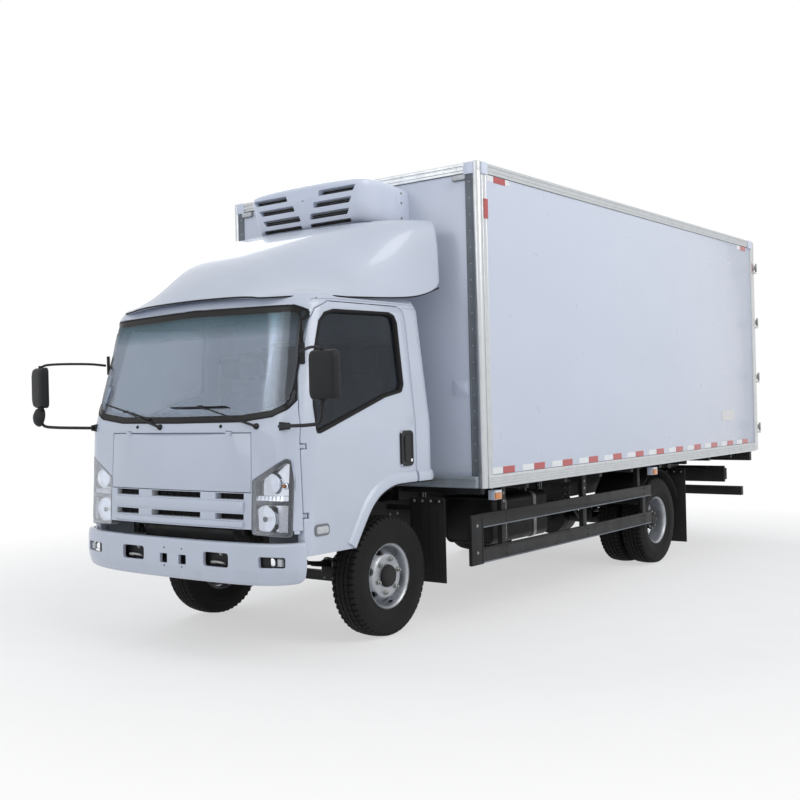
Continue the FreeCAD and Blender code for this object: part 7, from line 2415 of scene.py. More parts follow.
class TRUCK_OT_equipment(bpy.types.Operator):
    """Fuel tank, battery box, exhaust and engine"""

    bl_idname = "truck.equipment"
    bl_label = "Tank, battery, exhaust and engine"

    def execute(self, context):
        refined("fuel_tank", "chassis_black", 0.006, 3)
        refined("battery_box", "black_plastic", 0.012, 3)
        refined("exhaust", ("exhaust_steel", "chassis_black"), 0.008, 3)
        refined("engine_block", "cast_iron", 0.012, 3)
        self.tank()
        self.battery()
        self.exhaust()
        self.engine()
        return {"FINISHED"}

    def tank(self):
        low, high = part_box("fuel_tank")
        x0, x1 = 0.44, high[0]
        y0, y1 = low[1] - AXLE_Y, high[1] - AXLE_Y
        z0, z1 = low[2] - SINK, high[2] - SINK
        parts = Shape()
        for y in (y0 + 0.172, y0 + 0.622):
            outer = rounded([(x0 - 0.004, z0 - 0.004), (x1 + 0.004, z0 - 0.004),
                             (x1 + 0.004, z1 + 0.004), (x0 - 0.004, z1 + 0.004)], 0.059, 8)
            inner = rounded([(x0 + 0.001, z0 + 0.001), (x1 - 0.001, z0 + 0.001),
                             (x1 - 0.001, z1 - 0.001), (x0 + 0.001, z1 - 0.001)], 0.055, 8)
            rings = [[at(x, y + dy, z) for x, z in line] for line, dy in
                     ((outer, -0.022), (outer, 0.022), (inner, 0.022), (inner, -0.022))]
            parts.loft(rings + [rings[0]], 1, caps=False)
            parts.bolt(at(x1 - 0.08, y, z1 + 0.003), (0, 0, 1), 0.008, 0.016, 1)
        # end seams, filler neck and cap
        for y in (y0, y1):
            ring = rounded([(x0 + 0.012, z0 + 0.012), (x1 - 0.012, z0 + 0.012),
                            (x1 - 0.012, z1 - 0.012), (x0 + 0.012, z1 - 0.012)], 0.05, 6)
            parts.tube([at(x, y, z) for x, z in ring + [ring[0]]], 0.005, 0, 8)
        cap = at(x1 - 0.055, y0 + 0.12, z1 - 0.04)
        parts.turned([(0, 0.04), (0.05, 0.04)], cap, (0.6, 0, 1), 24)
        parts.turned([(0.045, 0.046), (0.062, 0.047), (0.07, 0.043), (0.072, 0.001)], cap,
                     (0.6, 0, 1), 30, 2)
        parts.piece("fuel_tank_fittings", "chassis", "chassis_black",
                    ("chassis_black", "zinc_steel", "gloss_black"), bevel=0.001, segments=1)

    def battery(self):
        low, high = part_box("battery_box")
        parts = Shape()
        x0, x1 = low[0], -0.455
        y0, y1 = low[1] - AXLE_Y, high[1] - AXLE_Y
        z1 = high[2] - SINK
        parts.lying(rounded([(x0 - 0.006, y0 - 0.006), (x1 + 0.006, y0 - 0.006),
                             (x1 + 0.006, y1 + 0.006), (x0 - 0.006, y1 + 0.006)], 0.02),
                    at(0, 0, z1 - 0.055), 0.06)
        for y in (y0 + 0.12, y1 - 0.12):
            parts.block(at(x0 - 0.014, y - 0.015, z1 - 0.1), at(x0 - 0.004, y + 0.015, z1 - 0.03),
                        1)
        for k in range(5):
            y = y0 + 0.07 + 0.09 * k
            parts.block(at(x0 - 0.006, y - 0.01, z1 - 0.26), at(x0 + 0.002, y + 0.01, z1 - 0.08))
        parts.piece("battery_box_lid", "chassis", "black_plastic", ("black_plastic", "zinc_steel"),
                    bevel=0.003)

    def exhaust(self):
        pipe = Shape()
        z = 0.525
        for y in (0.95, 1.75):
            pipe.turned([(-0.012, 0.086), (-0.01, 0.0915), (0.01, 0.0915), (0.012, 0.086)],
                        at(0.23, y, z), (0, 1, 0))
        for y in (1.12, 1.58):
            pipe.turned([(-0.014, 0.0905), (0.014, 0.0905)], at(0.23, y, z), (0, 1, 0), 32, 1)
            pipe.block(at(0.222, y - 0.014, z + 0.08), at(0.238, y + 0.014, z + 0.125), 1)
        pipe.tube(smooth_path([at(0.23, 0.955, z), at(0.228, 0.8, z), at(0.205, 0.62, z + 0.02),
                               at(0.19, 0.4, z + 0.05), at(0.19, 0.18, z + 0.06)], 8), 0.03, 0, 18)
        pipe.turned([(0, 0.0335), (0.06, 0.0335), (0.06, 0.03), (0.0, 0.03)], at(0.23, 2.545, z),
                    (0, 1, 0), 28)
        pipe.piece("exhaust_fittings", "chassis", "steel_grey", ("exhaust_steel", "zinc_steel"),
                   bevel=0.001, segments=1)

    def engine(self):
        parts = Shape()
        # ribbed valve cover, inlet, alternator, belt, fan and radiator
        parts.lying(rectangle(0.22, 0.5, 0.05), at(-0.06, -0.19, 1.155), 0.01)
        for k in range(7):
            y = -0.41 + 0.07 * k
            parts.block(at(-0.15, y - 0.006, 1.163), at(0.03, y + 0.006, 1.17))
        parts.turned([(0, 0.032), (0.012, 0.032), (0.014, 0.026)], at(-0.06, -0.32, 1.16),
                     (0, 0, 1), 20, 2)
        parts.tube(smooth_path([at(0.19, 0.05, 0.95), at(0.2, -0.1, 1.02), at(0.2, -0.3, 1.03),
                                at(0.19, -0.44, 0.98)]), 0.04, 1, 18)
        for k in range(4):
            y = -0.36 + 0.12 * k
            parts.tube(smooth_path([at(0.19, y, 1.01), at(0.14, y, 1.05), at(0.08, y, 1.05)], 4),
                       0.022, 1, 14)
        for x, z, r in ((0.0, 0.7, 0.085), (0.0, 0.9, 0.06), (-0.19, 0.96, 0.045),
                        (0.175, 0.8, 0.05)):
            parts.turned([(0, r), (0.006, r), (0.01, r * 0.86), (0.02, r * 0.86), (0.024, r),
                          (0.03, r)], at(x, -0.55, z), (0, 1, 0), 32, 3)
        parts.turned([(0, 0.062), (0.12, 0.062), (0.13, 0.05)], at(-0.235, -0.515, 0.96), (0, 1, 0),
                     28, 1)
        for k in range(8):
            angle = math.pi * k / 4
            blade = [Vector((0.05, 0, 0)), Vector((0.235, 0, 0.035)), Vector((0.235, 0.02, -0.04)),
                     Vector((0.05, 0.012, -0.025))]
            turn = Matrix.Translation(at(0.0, -0.59, 0.87)) @ Matrix.Rotation(angle, 4, "Y")
            vane = Shape().loft([blade, [p + Vector((0, 0.004, 0)) for p in blade]], 2)
            parts.include(vane, turn)
        parts.turned([(0, 0.06), (0.025, 0.06), (0.03, 0.04)], at(0.0, -0.605, 0.87), (0, 1, 0), 24,
                     2)
        parts.block(at(-0.27, -0.69, 0.64), at(0.27, -0.64, 1.08), 4)
        for z0, z1 in ((0.61, 0.645), (1.075, 1.115)):
            parts.block(at(-0.28, -0.695, z0), at(0.28, -0.63, z1), 2)
        for x in (-0.285, 0.275):
            parts.block(at(x, -0.698, 0.61), at(x + 0.01, -0.632, 1.115), 1)
        parts.tube(smooth_path([at(0.15, -0.64, 1.09), at(0.16, -0.59, 1.115),
                                at(0.12, -0.5, 1.1)]), 0.022, 2, 16)
        # gearbox ribs
        for k in range(6):
            y = 0.2 + 0.07 * k
            for x in (0.15, -0.15):
                parts.block(at(min(x, x * 1.06), y - 0.005, 0.56),
                            at(max(x, x * 1.06), y + 0.005, 0.77))
        parts.piece("engine_fittings", "chassis", "cast_iron",
                    ("cast_iron", "aluminium_along", "black_plastic", "zinc_steel",
                     "condenser_fins"), bevel=0.002)


class TRUCK_OT_guards(bpy.types.Operator):
    """Side guards, mudguards with their flaps, and the rear underrun bar with its lamps"""

    bl_idname = "truck.guards"
    bl_label = "Guards and rear lamps"

    def execute(self, context):
        refined("side_guards", "chassis_black", 0.005, 3)
        refined("mudguards", "flap_rubber", 0.0025)
        refined("underrun_bar", "chassis_black", 0.006, 3)
        self.rails()
        self.flaps()
        self.rear_lamps()
        return {"FINISHED"}

    def rails(self):
        """Folded lips along the guard rails, their end caps and bolts."""
        low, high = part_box("side_guards")
        face, start, end = high[0], low[1] - AXLE_Y, high[1] - AXLE_Y
        rails = Shape()
        for z0, z1 in ((0.392, 0.497), (0.64, 0.738)):
            section = [(-0.02, -0.0015), (0.0025, -0.0015), (0.0045, 0.001), (0.0035, 0.006),
                       (0.0005, 0.008), (-0.02, 0.006)]
            rails.facing(section, at(face, start + 0.152, z0), end - start - 0.156, 1)
            groove = [(-0.001, z1 - 0.014), (0.0016, z1 - 0.012), (0.0016, z1 - 0.006),
                      (-0.001, z1 - 0.004)]
            rails.facing(groove, at(face, start + 0.152, 0), end - start - 0.156)
            rails.block(at(face - 0.024, end - 0.001, z0 + 0.004),
                        at(face - 0.002, end + 0.004, z1 - 0.004), 2)
        for y in (1.08, 2.33, end - 0.15):
            for z in (0.42, 0.47, 0.665, 0.712):
                rails.turned([(0, 0.009), (0.002, 0.0085), (0.004, 0.005), (0.0045, 0.0)],
                             at(face, y, z), (1, 0, 0), 14, caps=False)
        # end plate's turned edge and bolts
        rails.block(at(face - 0.001, start + 0.002, 0.4), at(face + 0.003, start + 0.012, 0.728))
        rails.block(at(face - 0.001, start + 0.138, 0.4), at(face + 0.003, start + 0.148, 0.728))
        for z in (0.47, 0.66):
            rails.bolt(at(face, start + 0.075, z), (1, 0, 0), 0.009, 0.006, 3)
        # bolts where the posts meet the floor bearers
        for y in (1.08, 2.33):
            for z in (0.8, 0.86):
                rails.bolt(at(face - 0.026, y, z), (1, 0, 0), 0.008, 0.006, 3)
        rails.both_sides()
        rails.piece("guard_rail_lips", "chassis", "chassis_black",
                    ("chassis_black", "grey_paint", "black_plastic", "zinc_steel"), bevel=0.0008,
                    segments=1)

    def flaps(self):
        """Clamping strips and ribs of the mudflaps, and the lip round the rear mudguards."""
        parts = Shape()
        y = 0.56
        parts.block(at(0.645, y - 0.006, 0.82), at(0.94, y - 0.0005, 0.85), 1)
        for k in range(4):
            parts.bolt(at(0.685 + 0.072 * k, y - 0.006, 0.835), (0, -1, 0), 0.008, 0.006, 2)
            parts.block(at(0.672 + 0.072 * k, y - 0.003, 0.3),
                        at(0.68 + 0.072 * k, y - 0.0005, 0.79))
        y = WHEELBASE + 0.64
        parts.block(at(0.64, y - 0.006, 0.78), at(1.08, y - 0.0005, 0.815), 1)
        for k in range(6):
            parts.bolt(at(0.675 + 0.074 * k, y - 0.006, 0.797), (0, -1, 0), 0.008, 0.006, 2)
            parts.block(at(0.672 + 0.074 * k, y + 0.0075, 0.15),
                        at(0.68 + 0.074 * k, y + 0.011, 0.76))
        radius = TYRE_RADIUS + 0.07
        for x in (0.636, 1.083):
            arc = []
            for k in range(25):
                angle = math.radians(26 + 128 * k / 24)
                arc.append(on_wheel(x, WHEELBASE, radius - 0.003, angle))
            arc = [p for p in arc if p.z < at(0, 0, 0.812).z]
            left = [p for p in arc if p.y > at(0, WHEELBASE, 0).y]
            right = [p for p in arc if p.y <= at(0, WHEELBASE, 0).y]
            for part in (left, right):
                if len(part) > 2:
                    parts.tube(part, 0.005, 0, 8)
        parts.both_sides()
        parts.piece("mudflap_fittings", "chassis", "black_plastic",
                    ("flap_rubber", "chassis_black", "zinc_steel"), bevel=0.0008, segments=1)

    def rear_lamps(self):
        """Three-part lamps on the upper bar, round reflectors, plate panel and marking tape."""
        y, z = UNDERRUN_Y + 0.075, 0.679
        lamps = Shape()
        lamps.block(at(0.676, y - 0.046, z - 0.061), at(0.944, y - 0.0005, z + 0.061))
        for x0, x1, look in ((0.688, 0.742, 3), (0.75, 0.826, 2), (0.834, 0.932, 1)):
            outline = rectangle(x1 - x0, 0.098, 0.008)
            lamps.facing(outline, at((x0 + x1) / 2, y - 0.001, z), 0.01, look)
        for x in (0.681, 0.939):
            lamps.bolt(at(x, y - 0.001, z), (0, 1, 0), 0.004, 0.003, 4)
        lamps.turned([(0, 0.038), (0.006, 0.038), (0.009, 0.034), (0.009, 0.001)],
                     at(0.59, UNDERRUN_Y + 0.03, z), (0, 1, 0), 28, 1)
        lamps.tube(smooth_path([at(0.8, y - 0.046, z), at(0.74, y - 0.075, 0.72),
                                at(0.56, y - 0.1, 0.74), at(0.4, y - 0.12, 0.72)]), 0.007, 5, 8)
        for k in range(6):
            start = 0.07 + 0.172 * k
            lamps.block(at(start, UNDERRUN_Y + 0.0595, 0.478),
                        at(start + 0.157, UNDERRUN_Y + 0.0615, 0.525), 1 if k % 2 else 6)
        lamps.both_sides()
        lamps.block(at(-0.26, UNDERRUN_Y + 0.029, 0.624), at(0.26, UNDERRUN_Y + 0.033, 0.734), 7)
        lamps.piece("rear_lamp_lenses", "chassis", "chassis_black",
                    ("black_plastic", "red_lens", "amber_lens", "clear_prisms", "zinc_steel",
                        "flap_rubber", "reflector_white", "blank_plate"), bevel=0.0015)


# ---- cab interior -----------------------------------------------------------------------------
SEATS = (("right", -0.56, 0.235), ("left", 0.56, 0.235), ("middle", 0.09, 0.205))
CUSHION = [(-0.3, 1.252), (0.085, 1.252), (0.062, 1.402), (-0.262, 1.424), (-0.3, 1.38)]
BACKREST = [(0.1, 1.262), (0.212, 1.262), (0.238, 1.732), (0.154, 1.738), (0.068, 1.402)]
HEAD_REST = [(0.158, 1.762), (0.232, 1.762), (0.232, 1.896), (0.16, 1.896)]
STEERING = (-0.42, -0.56, 1.4)
STEERING_RIM = 0.205
COLUMN = Vector((0, -0.62, -0.785)).normalized()
DASH_FACE = -0.64               # rear face of the dashboard


def dip(distance, width=0.006):
    """1 at a seam, falling off to either side of it."""
    return math.exp(-(distance / width) ** 2)


class Padding(Shape):
    """An upholstered form: a rounded section drawn across, crowned, sewn and pulled in."""

    def __init__(self, section, half, face, roll=0.028, crown=0.01, bolster=0.0, channels=(),
                 sew=0.007):
        super().__init__()
        outline = [Vector(p) for p in spaced(rounded(section, roll), 0.0085)]
        count = len(outline)
        face = Vector(face).normalized()
        run = Vector((-face.y, face.x))
        along = [p.dot(run) for p in outline]
        low, high = min(along), max(along)
        normals = [(outline[(k + 1) % count] - outline[k - 1]).normalized() for k in range(count)]
        normals = [Vector((n.y, -n.x)) for n in normals]
        edge = half - roll
        flat = [-edge + 2 * edge * k / round(2 * edge / 0.0085) for k in
                range(round(2 * edge / 0.0085) + 1)]
        turns = [math.radians(a) for a in (12, 28, 44, 60, 76)]
        ends = [(edge + roll * math.cos(a), roll * (1 - math.sin(a)) * 0.9) for a in turns]
        stations = [(-x, inset) for x, inset in ends] + [(x, 0.0) for x in flat] + ends[::-1]
        self.rims = []
        rings = []
        for x, inset in stations:
            ring = []
            for p, normal, s in zip(outline, normals, along):
                t = (s - low) / (high - low) * 2 - 1
                weight = max(0.0, normal.dot(face)) ** 0.7
                rise = crown * (1 - (x / half) ** 2) * (1 - t * t)
                if bolster:
                    outer = max(0.0, min(1.0, (abs(x) - bolster) / (half - bolster)))
                    rise += 0.012 * math.sin(math.pi * outer) - sew * dip(abs(x) - bolster)
                    inside = 1.0 if abs(x) < bolster else 0.0
                else:
                    inside = 1.0
                rise -= sew * inside * sum(dip(s - low - c * (high - low)) for c in channels)
                pull = 1 - 0.035 * (1 - t * t) * (abs(x) / half) ** 4
                crease = noise.noise(Vector((x * 9, p.x * 9, p.y * 9))) * 0.0022
                point = p + normal * (rise * weight + crease - inset)
                ring.append((x * pull, point.x, point.y))
            rings.append(ring)
            if abs(abs(x) - (edge + roll * math.cos(turns[2]))) < 1e-6:
                self.rims.append(ring)
        self.loft(rings)
        for ring in self.rims:
            self.tube(ring + ring[:1], 0.0034, 1, 6)

    def put(self, x):
        """Moves the form to its place in the truck."""
        self.points = [at(p.x + x, p.y, p.z) for p in self.points]
        return self


class TRUCK_OT_seats(bpy.types.Operator):
    """Three seats: crowned, channelled cushions and backs, head rests, plinths and belts"""

    bl_idname = "truck.seats"
    bl_label = "Seats"

    def execute(self, context):
        looks = ("seat_cloth", "seat_vinyl")
        for word, x, half in SEATS:
            bolster = half - 0.075
            forms = (("cushion", Padding(CUSHION, half, (0, 1), 0.03, 0.012, bolster,
                                         (0.2, 0.38, 0.56, 0.74)), 0.7),
                     ("back", Padding(BACKREST, half, (-1, 0.12), 0.03, 0.012, bolster,
                         (0.18, 0.34, 0.5, 0.66, 0.82)), 0.7),
                     ("head_rest", Padding(HEAD_REST, 0.11, (-1, 0.0), 0.03, 0.006, 0.0, (0.5,),
                          0.003), 0.8))
            for part, form, fill in forms:
                made = form.put(x).piece(f"{word}_seat_{part}", "cab", "seat_fabric", looks,
                                         ("seats",), sharp=60)
        self.frames()
        self.belts()
        return {"FINISHED"}

    def frames(self):
        """Plinths with slides, recliner levers and head rest stems."""
        frames = Shape()
        for _, x, half in SEATS:
            foot = CAB_FLOOR if abs(x) > 0.3 else CAB_SHELF
            low, high = at(x - half + 0.03, -0.25, foot), at(x + half - 0.03, 0.092, 1.232)
            if abs(x) > 0.3:
                frames.block(low, high)
                for side in (-1, 1):
                    rail = x + side * (half - 0.06)
                    frames.block(at(rail - 0.014, -0.275, 1.232), at(rail + 0.014, 0.1, 1.249), 1)
            else:
                frames.block(low, at(x + half - 0.03, 0.092, 1.25))
            for side in (-1, 1):
                frames.rod(at(x + side * 0.055, 0.196, 1.715), at(x + side * 0.055, 0.196, 1.775),
                           0.006, 1, 12)
            out = x + math.copysign(half + 0.004, x)
            frames.turned([(0, 0.03), (0.01, 0.03), (0.016, 0.022)],
                          at(out - math.copysign(0.012, x), 0.095, 1.285),
                          (math.copysign(1, x), 0, 0), 20)
            frames.block(at(min(out, out + math.copysign(0.008, x)), -0.04, 1.277),
                         at(max(out, out + math.copysign(0.008, x)), 0.09, 1.293))
        frames.piece("seat_frames", "cab", "black_plastic", ("black_plastic", "zinc_steel"),
                     ("seats",), bevel=0.003)

    def belts(self):
        """Lap and shoulder belts parked on the rear pillars, with their loops and buckles."""
        belt = Laid(Skin("cab_back_wall", "cab_roof"), "inside_left")
        path = spaced([(0.205, 1.21), (0.198, 1.3), (0.178, 1.88)], 0.03, False)
        belt.moulding(path, [(-0.023, 0.004), (0.023, 0.004), (0.023, 0.0055), (-0.023, 0.0055)],
                      closed=False)
        loop = rounded([(0.14, 1.872), (0.216, 1.872), (0.2, 1.93), (0.156, 1.93)], 0.012)
        belt.pad(spaced(loop, 0.01), 0.018, 0.002, look=1, rings=3)
        reel = rounded([(0.15, 1.12), (0.262, 1.12), (0.25, 1.225), (0.162, 1.225)], 0.014)
        belt.pad(spaced(reel, 0.012), 0.035, 0.0, look=1, rings=4)
        tongue = rounded([(0.164, 1.425), (0.216, 1.425), (0.212, 1.47), (0.168, 1.47)], 0.006)
        belt.pad(spaced(tongue, 0.01), 0.0085, 0.003, look=2, rings=3)
        belt.both_sides()
        belt.piece("belts", "cab", "seat_fabric", ("belt_webbing", "black_plastic", "zinc_steel"),
                   bevel=0.0006, segments=1)
        buckles = Shape()
        for x in (-0.302, 0.302, -0.138):
            buckles.tube([at(x, 0.05, 1.25), at(x, 0.04, 1.34), at(x, 0.03, 1.38)], 0.008)
            buckles.block(at(x - 0.012, 0.01, 1.375), at(x + 0.012, 0.052, 1.44))
            buckles.block(at(x - 0.009, 0.018, 1.44), at(x + 0.009, 0.044, 1.4425), 1)
        buckles.piece("belt_buckles", "cab", "black_plastic", ("black_plastic", "red_lens"),
                      bevel=0.002)


class TRUCK_OT_dashboard(bpy.types.Operator):
    """Dashboard with instruments, air vents, centre panel and glove box"""

    bl_idname = "truck.dashboard"
    bl_label = "Dashboard"

    def execute(self, context):
        refined("dashboard", "dash_grey", 0.014, 4)
        self.instruments()
        self.centre_panel()
        self.vents()
        self.boxes()
        return {"FINISHED"}

    def instruments(self):
        """A hooded binnacle in front of the driver with two dials and warning lamps."""
        x = STEERING[0]
        hood = Shape()
        outer, inner = [], []
        for k in range(25):
            a = math.pi * k / 24
            outer.append((0.195 * math.cos(a), 0.07 * math.sin(a) ** 0.6))
            inner.append((0.18 * math.cos(a), 0.058 * math.sin(a) ** 0.6))
        arch = outer + inner[::-1]
        hood.loft([[at(x + a, -0.7 + b * 0.15, 1.392 + b) for a, b in arch],
                   [at(x + a * 0.92, -0.835, 1.392 + b * 0.55) for a, b in arch]])
        face = [at(x + a * 0.98, -0.728 - b * 0.25, 1.39 + b) for a, b in inner]
        hood.loft([face, [p + Vector((0, -0.012, 0)) for p in face]], 1)
        tilt = Vector((0, 0.97, 0.24)).normalized()
        for middle_, radius in ((-0.085, 0.044), (0.085, 0.044), (0.0, 0.02)):
            centre = at(x + middle_, -0.7335, 1.416)
            hood.turned([(0, radius), (0.006, radius), (0.006, radius * 0.93),
                         (0.002, radius * 0.92)], centre, tilt, 36, 2, caps=False)
            for k in range(13):
                a = math.radians(-40 + 260 * k / 12)
                out = Vector((math.cos(a), 0, math.sin(a)))
                hood.rod(centre + out * radius * 0.72 + tilt * 0.0035,
                         centre + out * radius * 0.86 + tilt * 0.0035, 0.0008, 3, 6)
            aim = Vector((math.cos(2.6), 0, math.sin(2.6)))
            hood.rod(centre + tilt * 0.005, centre + aim * radius * 0.78 + tilt * 0.005, 0.0011, 4,
                     6)
        hood.piece("instrument_binnacle", "cab", "interior_grey",
                   ("dash_dark", "screen_dark", "bezel_silver", "reflector_white", "red_lens"),
                   bevel=0.002)

    def centre_panel(self):
        """Raised dark panel with a blank screen, knobs and switches."""
        panel = Shape()
        y = DASH_FACE
        panel.facing(rectangle(0.33, 0.165, 0.018), at(0.03, y - 0.004, 1.262), 0.013)
        panel.facing(rectangle(0.186, 0.08, 0.006), at(0.03, y + 0.008, 1.292), 0.004, 1)
        for k in range(3):
            place = at(-0.045 + 0.075 * k, y + 0.009, 1.215)
            panel.turned([(0, 0.019), (0.014, 0.018), (0.016, 0.015)], place, (0, 1, 0), 24, 2)
            panel.block(place + Vector((-0.0015, 0.014, 0.002)),
                        place + Vector((0.0015, 0.0175, 0.016)), 3)
        for side in (-1, 1):
            for k in range(3):
                switch = rectangle(0.026, 0.019, 0.003)
                panel.facing(switch, at(0.03 + side * 0.128, y + 0.008, 1.312 - 0.026 * k), 0.006,
                             2)
        for k in range(4):
            panel.facing(rectangle(0.032, 0.022, 0.003), at(-0.235, y - 0.002, 1.315 - 0.03 * k),
                         0.008, 2)
        panel.piece("centre_panel", "cab", "interior_grey",
                    ("dash_dark", "screen_dark", "black_plastic", "reflector_white"), bevel=0.0015)

    def layer(self, place, lean):
        """What lays flat points on a plane that leans so, raised off it."""
        out = Vector((1, 0, 0)).cross(lean) * -1

        def lay(points, rise):
            return [place + Vector((1, 0, 0)) * a + lean * b + out * rise for a, b in points]
        return lay

    def vents(self):
        """Louvred air vents on the face and demisting slots along the top, with near-black painted
        shade inside the vents and slots.
        """
        vents = Shape()
        for x in (-0.8, -0.165, 0.225, 0.8):
            place, lean = at(x, DASH_FACE - 0.004, 1.334), Vector((0, 0, 1))
            if abs(x) < 0.5:
                place, lean = at(x, -0.672, 1.369), Vector((0, -0.7, 0.6)).normalized()
            lay = self.layer(place, lean)
            width, height = 0.128, 0.058
            outer, inner = rectangle(width, height, 0.012), rectangle(width - 0.016, height - 0.014,
                    0.008)
            vents.loft([lay(outer, -0.004), lay(outer, 0.008), lay(inner, 0.009),
                        lay(inner, -0.004)])
            # near-black plate behind the louvres: painted shade
            vents.loft([lay(inner, -0.003), lay(inner, -0.001)], 1)
            for k in range(4):
                row = (k - 1.5) * 0.0105
                vents.loft([lay([(-width / 2 + 0.009, row), (width / 2 - 0.009, row),
                                 (width / 2 - 0.009, row + 0.0022),
                                 (-width / 2 + 0.009, row + 0.0022)], 0.0),
                            lay([(-width / 2 + 0.009, row - 0.004),
                                (width / 2 - 0.009, row - 0.004), (width / 2 - 0.009, row - 0.002),
                                (-width / 2 + 0.009, row - 0.002)], 0.008)], 2)
        top = Laid(Skin("dashboard"), "top")
        for x in (-0.5, 0.0, 0.5):
            top.moulding([(x - 0.19, -0.875), (x + 0.19, -0.875)],
                         [(-0.014, -0.002), (0.014, -0.002), (0.012, 0.003), (-0.012, 0.003)],
                         closed=False, look=2)
            # each demisting slot is a near-black strip: painted shade
            for k in range(19):
                slot_x = x - 0.18 + 0.02 * k
                top.moulding([(slot_x, -0.885), (slot_x, -0.865)],
                             [(-0.003, 0.0), (0.003, 0.0), (0.003, 0.0036), (-0.003, 0.0036)],
                             closed=False, look=1)
        vents.include(top)
        vents.piece("dash_vents", "cab", "interior_grey", ("dash_dark", "dark_void", "dash_dark"),
                    bevel=0.0008, segments=1)

    def boxes(self):
        """Glove box lid and the driver's fuse lid."""
        lids = Shape()
        for x, width in ((0.57, 0.42), (-0.42, 0.3)):
            outline = rectangle(width, 0.118, 0.016)
            lids.facing(outline, at(x, DASH_FACE - 0.004, 1.255), 0.008)
            lids.facing(rectangle(0.08, 0.018, 0.008), at(x, DASH_FACE + 0.003, 1.292), 0.0035, 1)
        lids.piece("glove_box_lids", "cab", "interior_grey", ("dash_grey", "dash_dark"),
                   bevel=0.002)


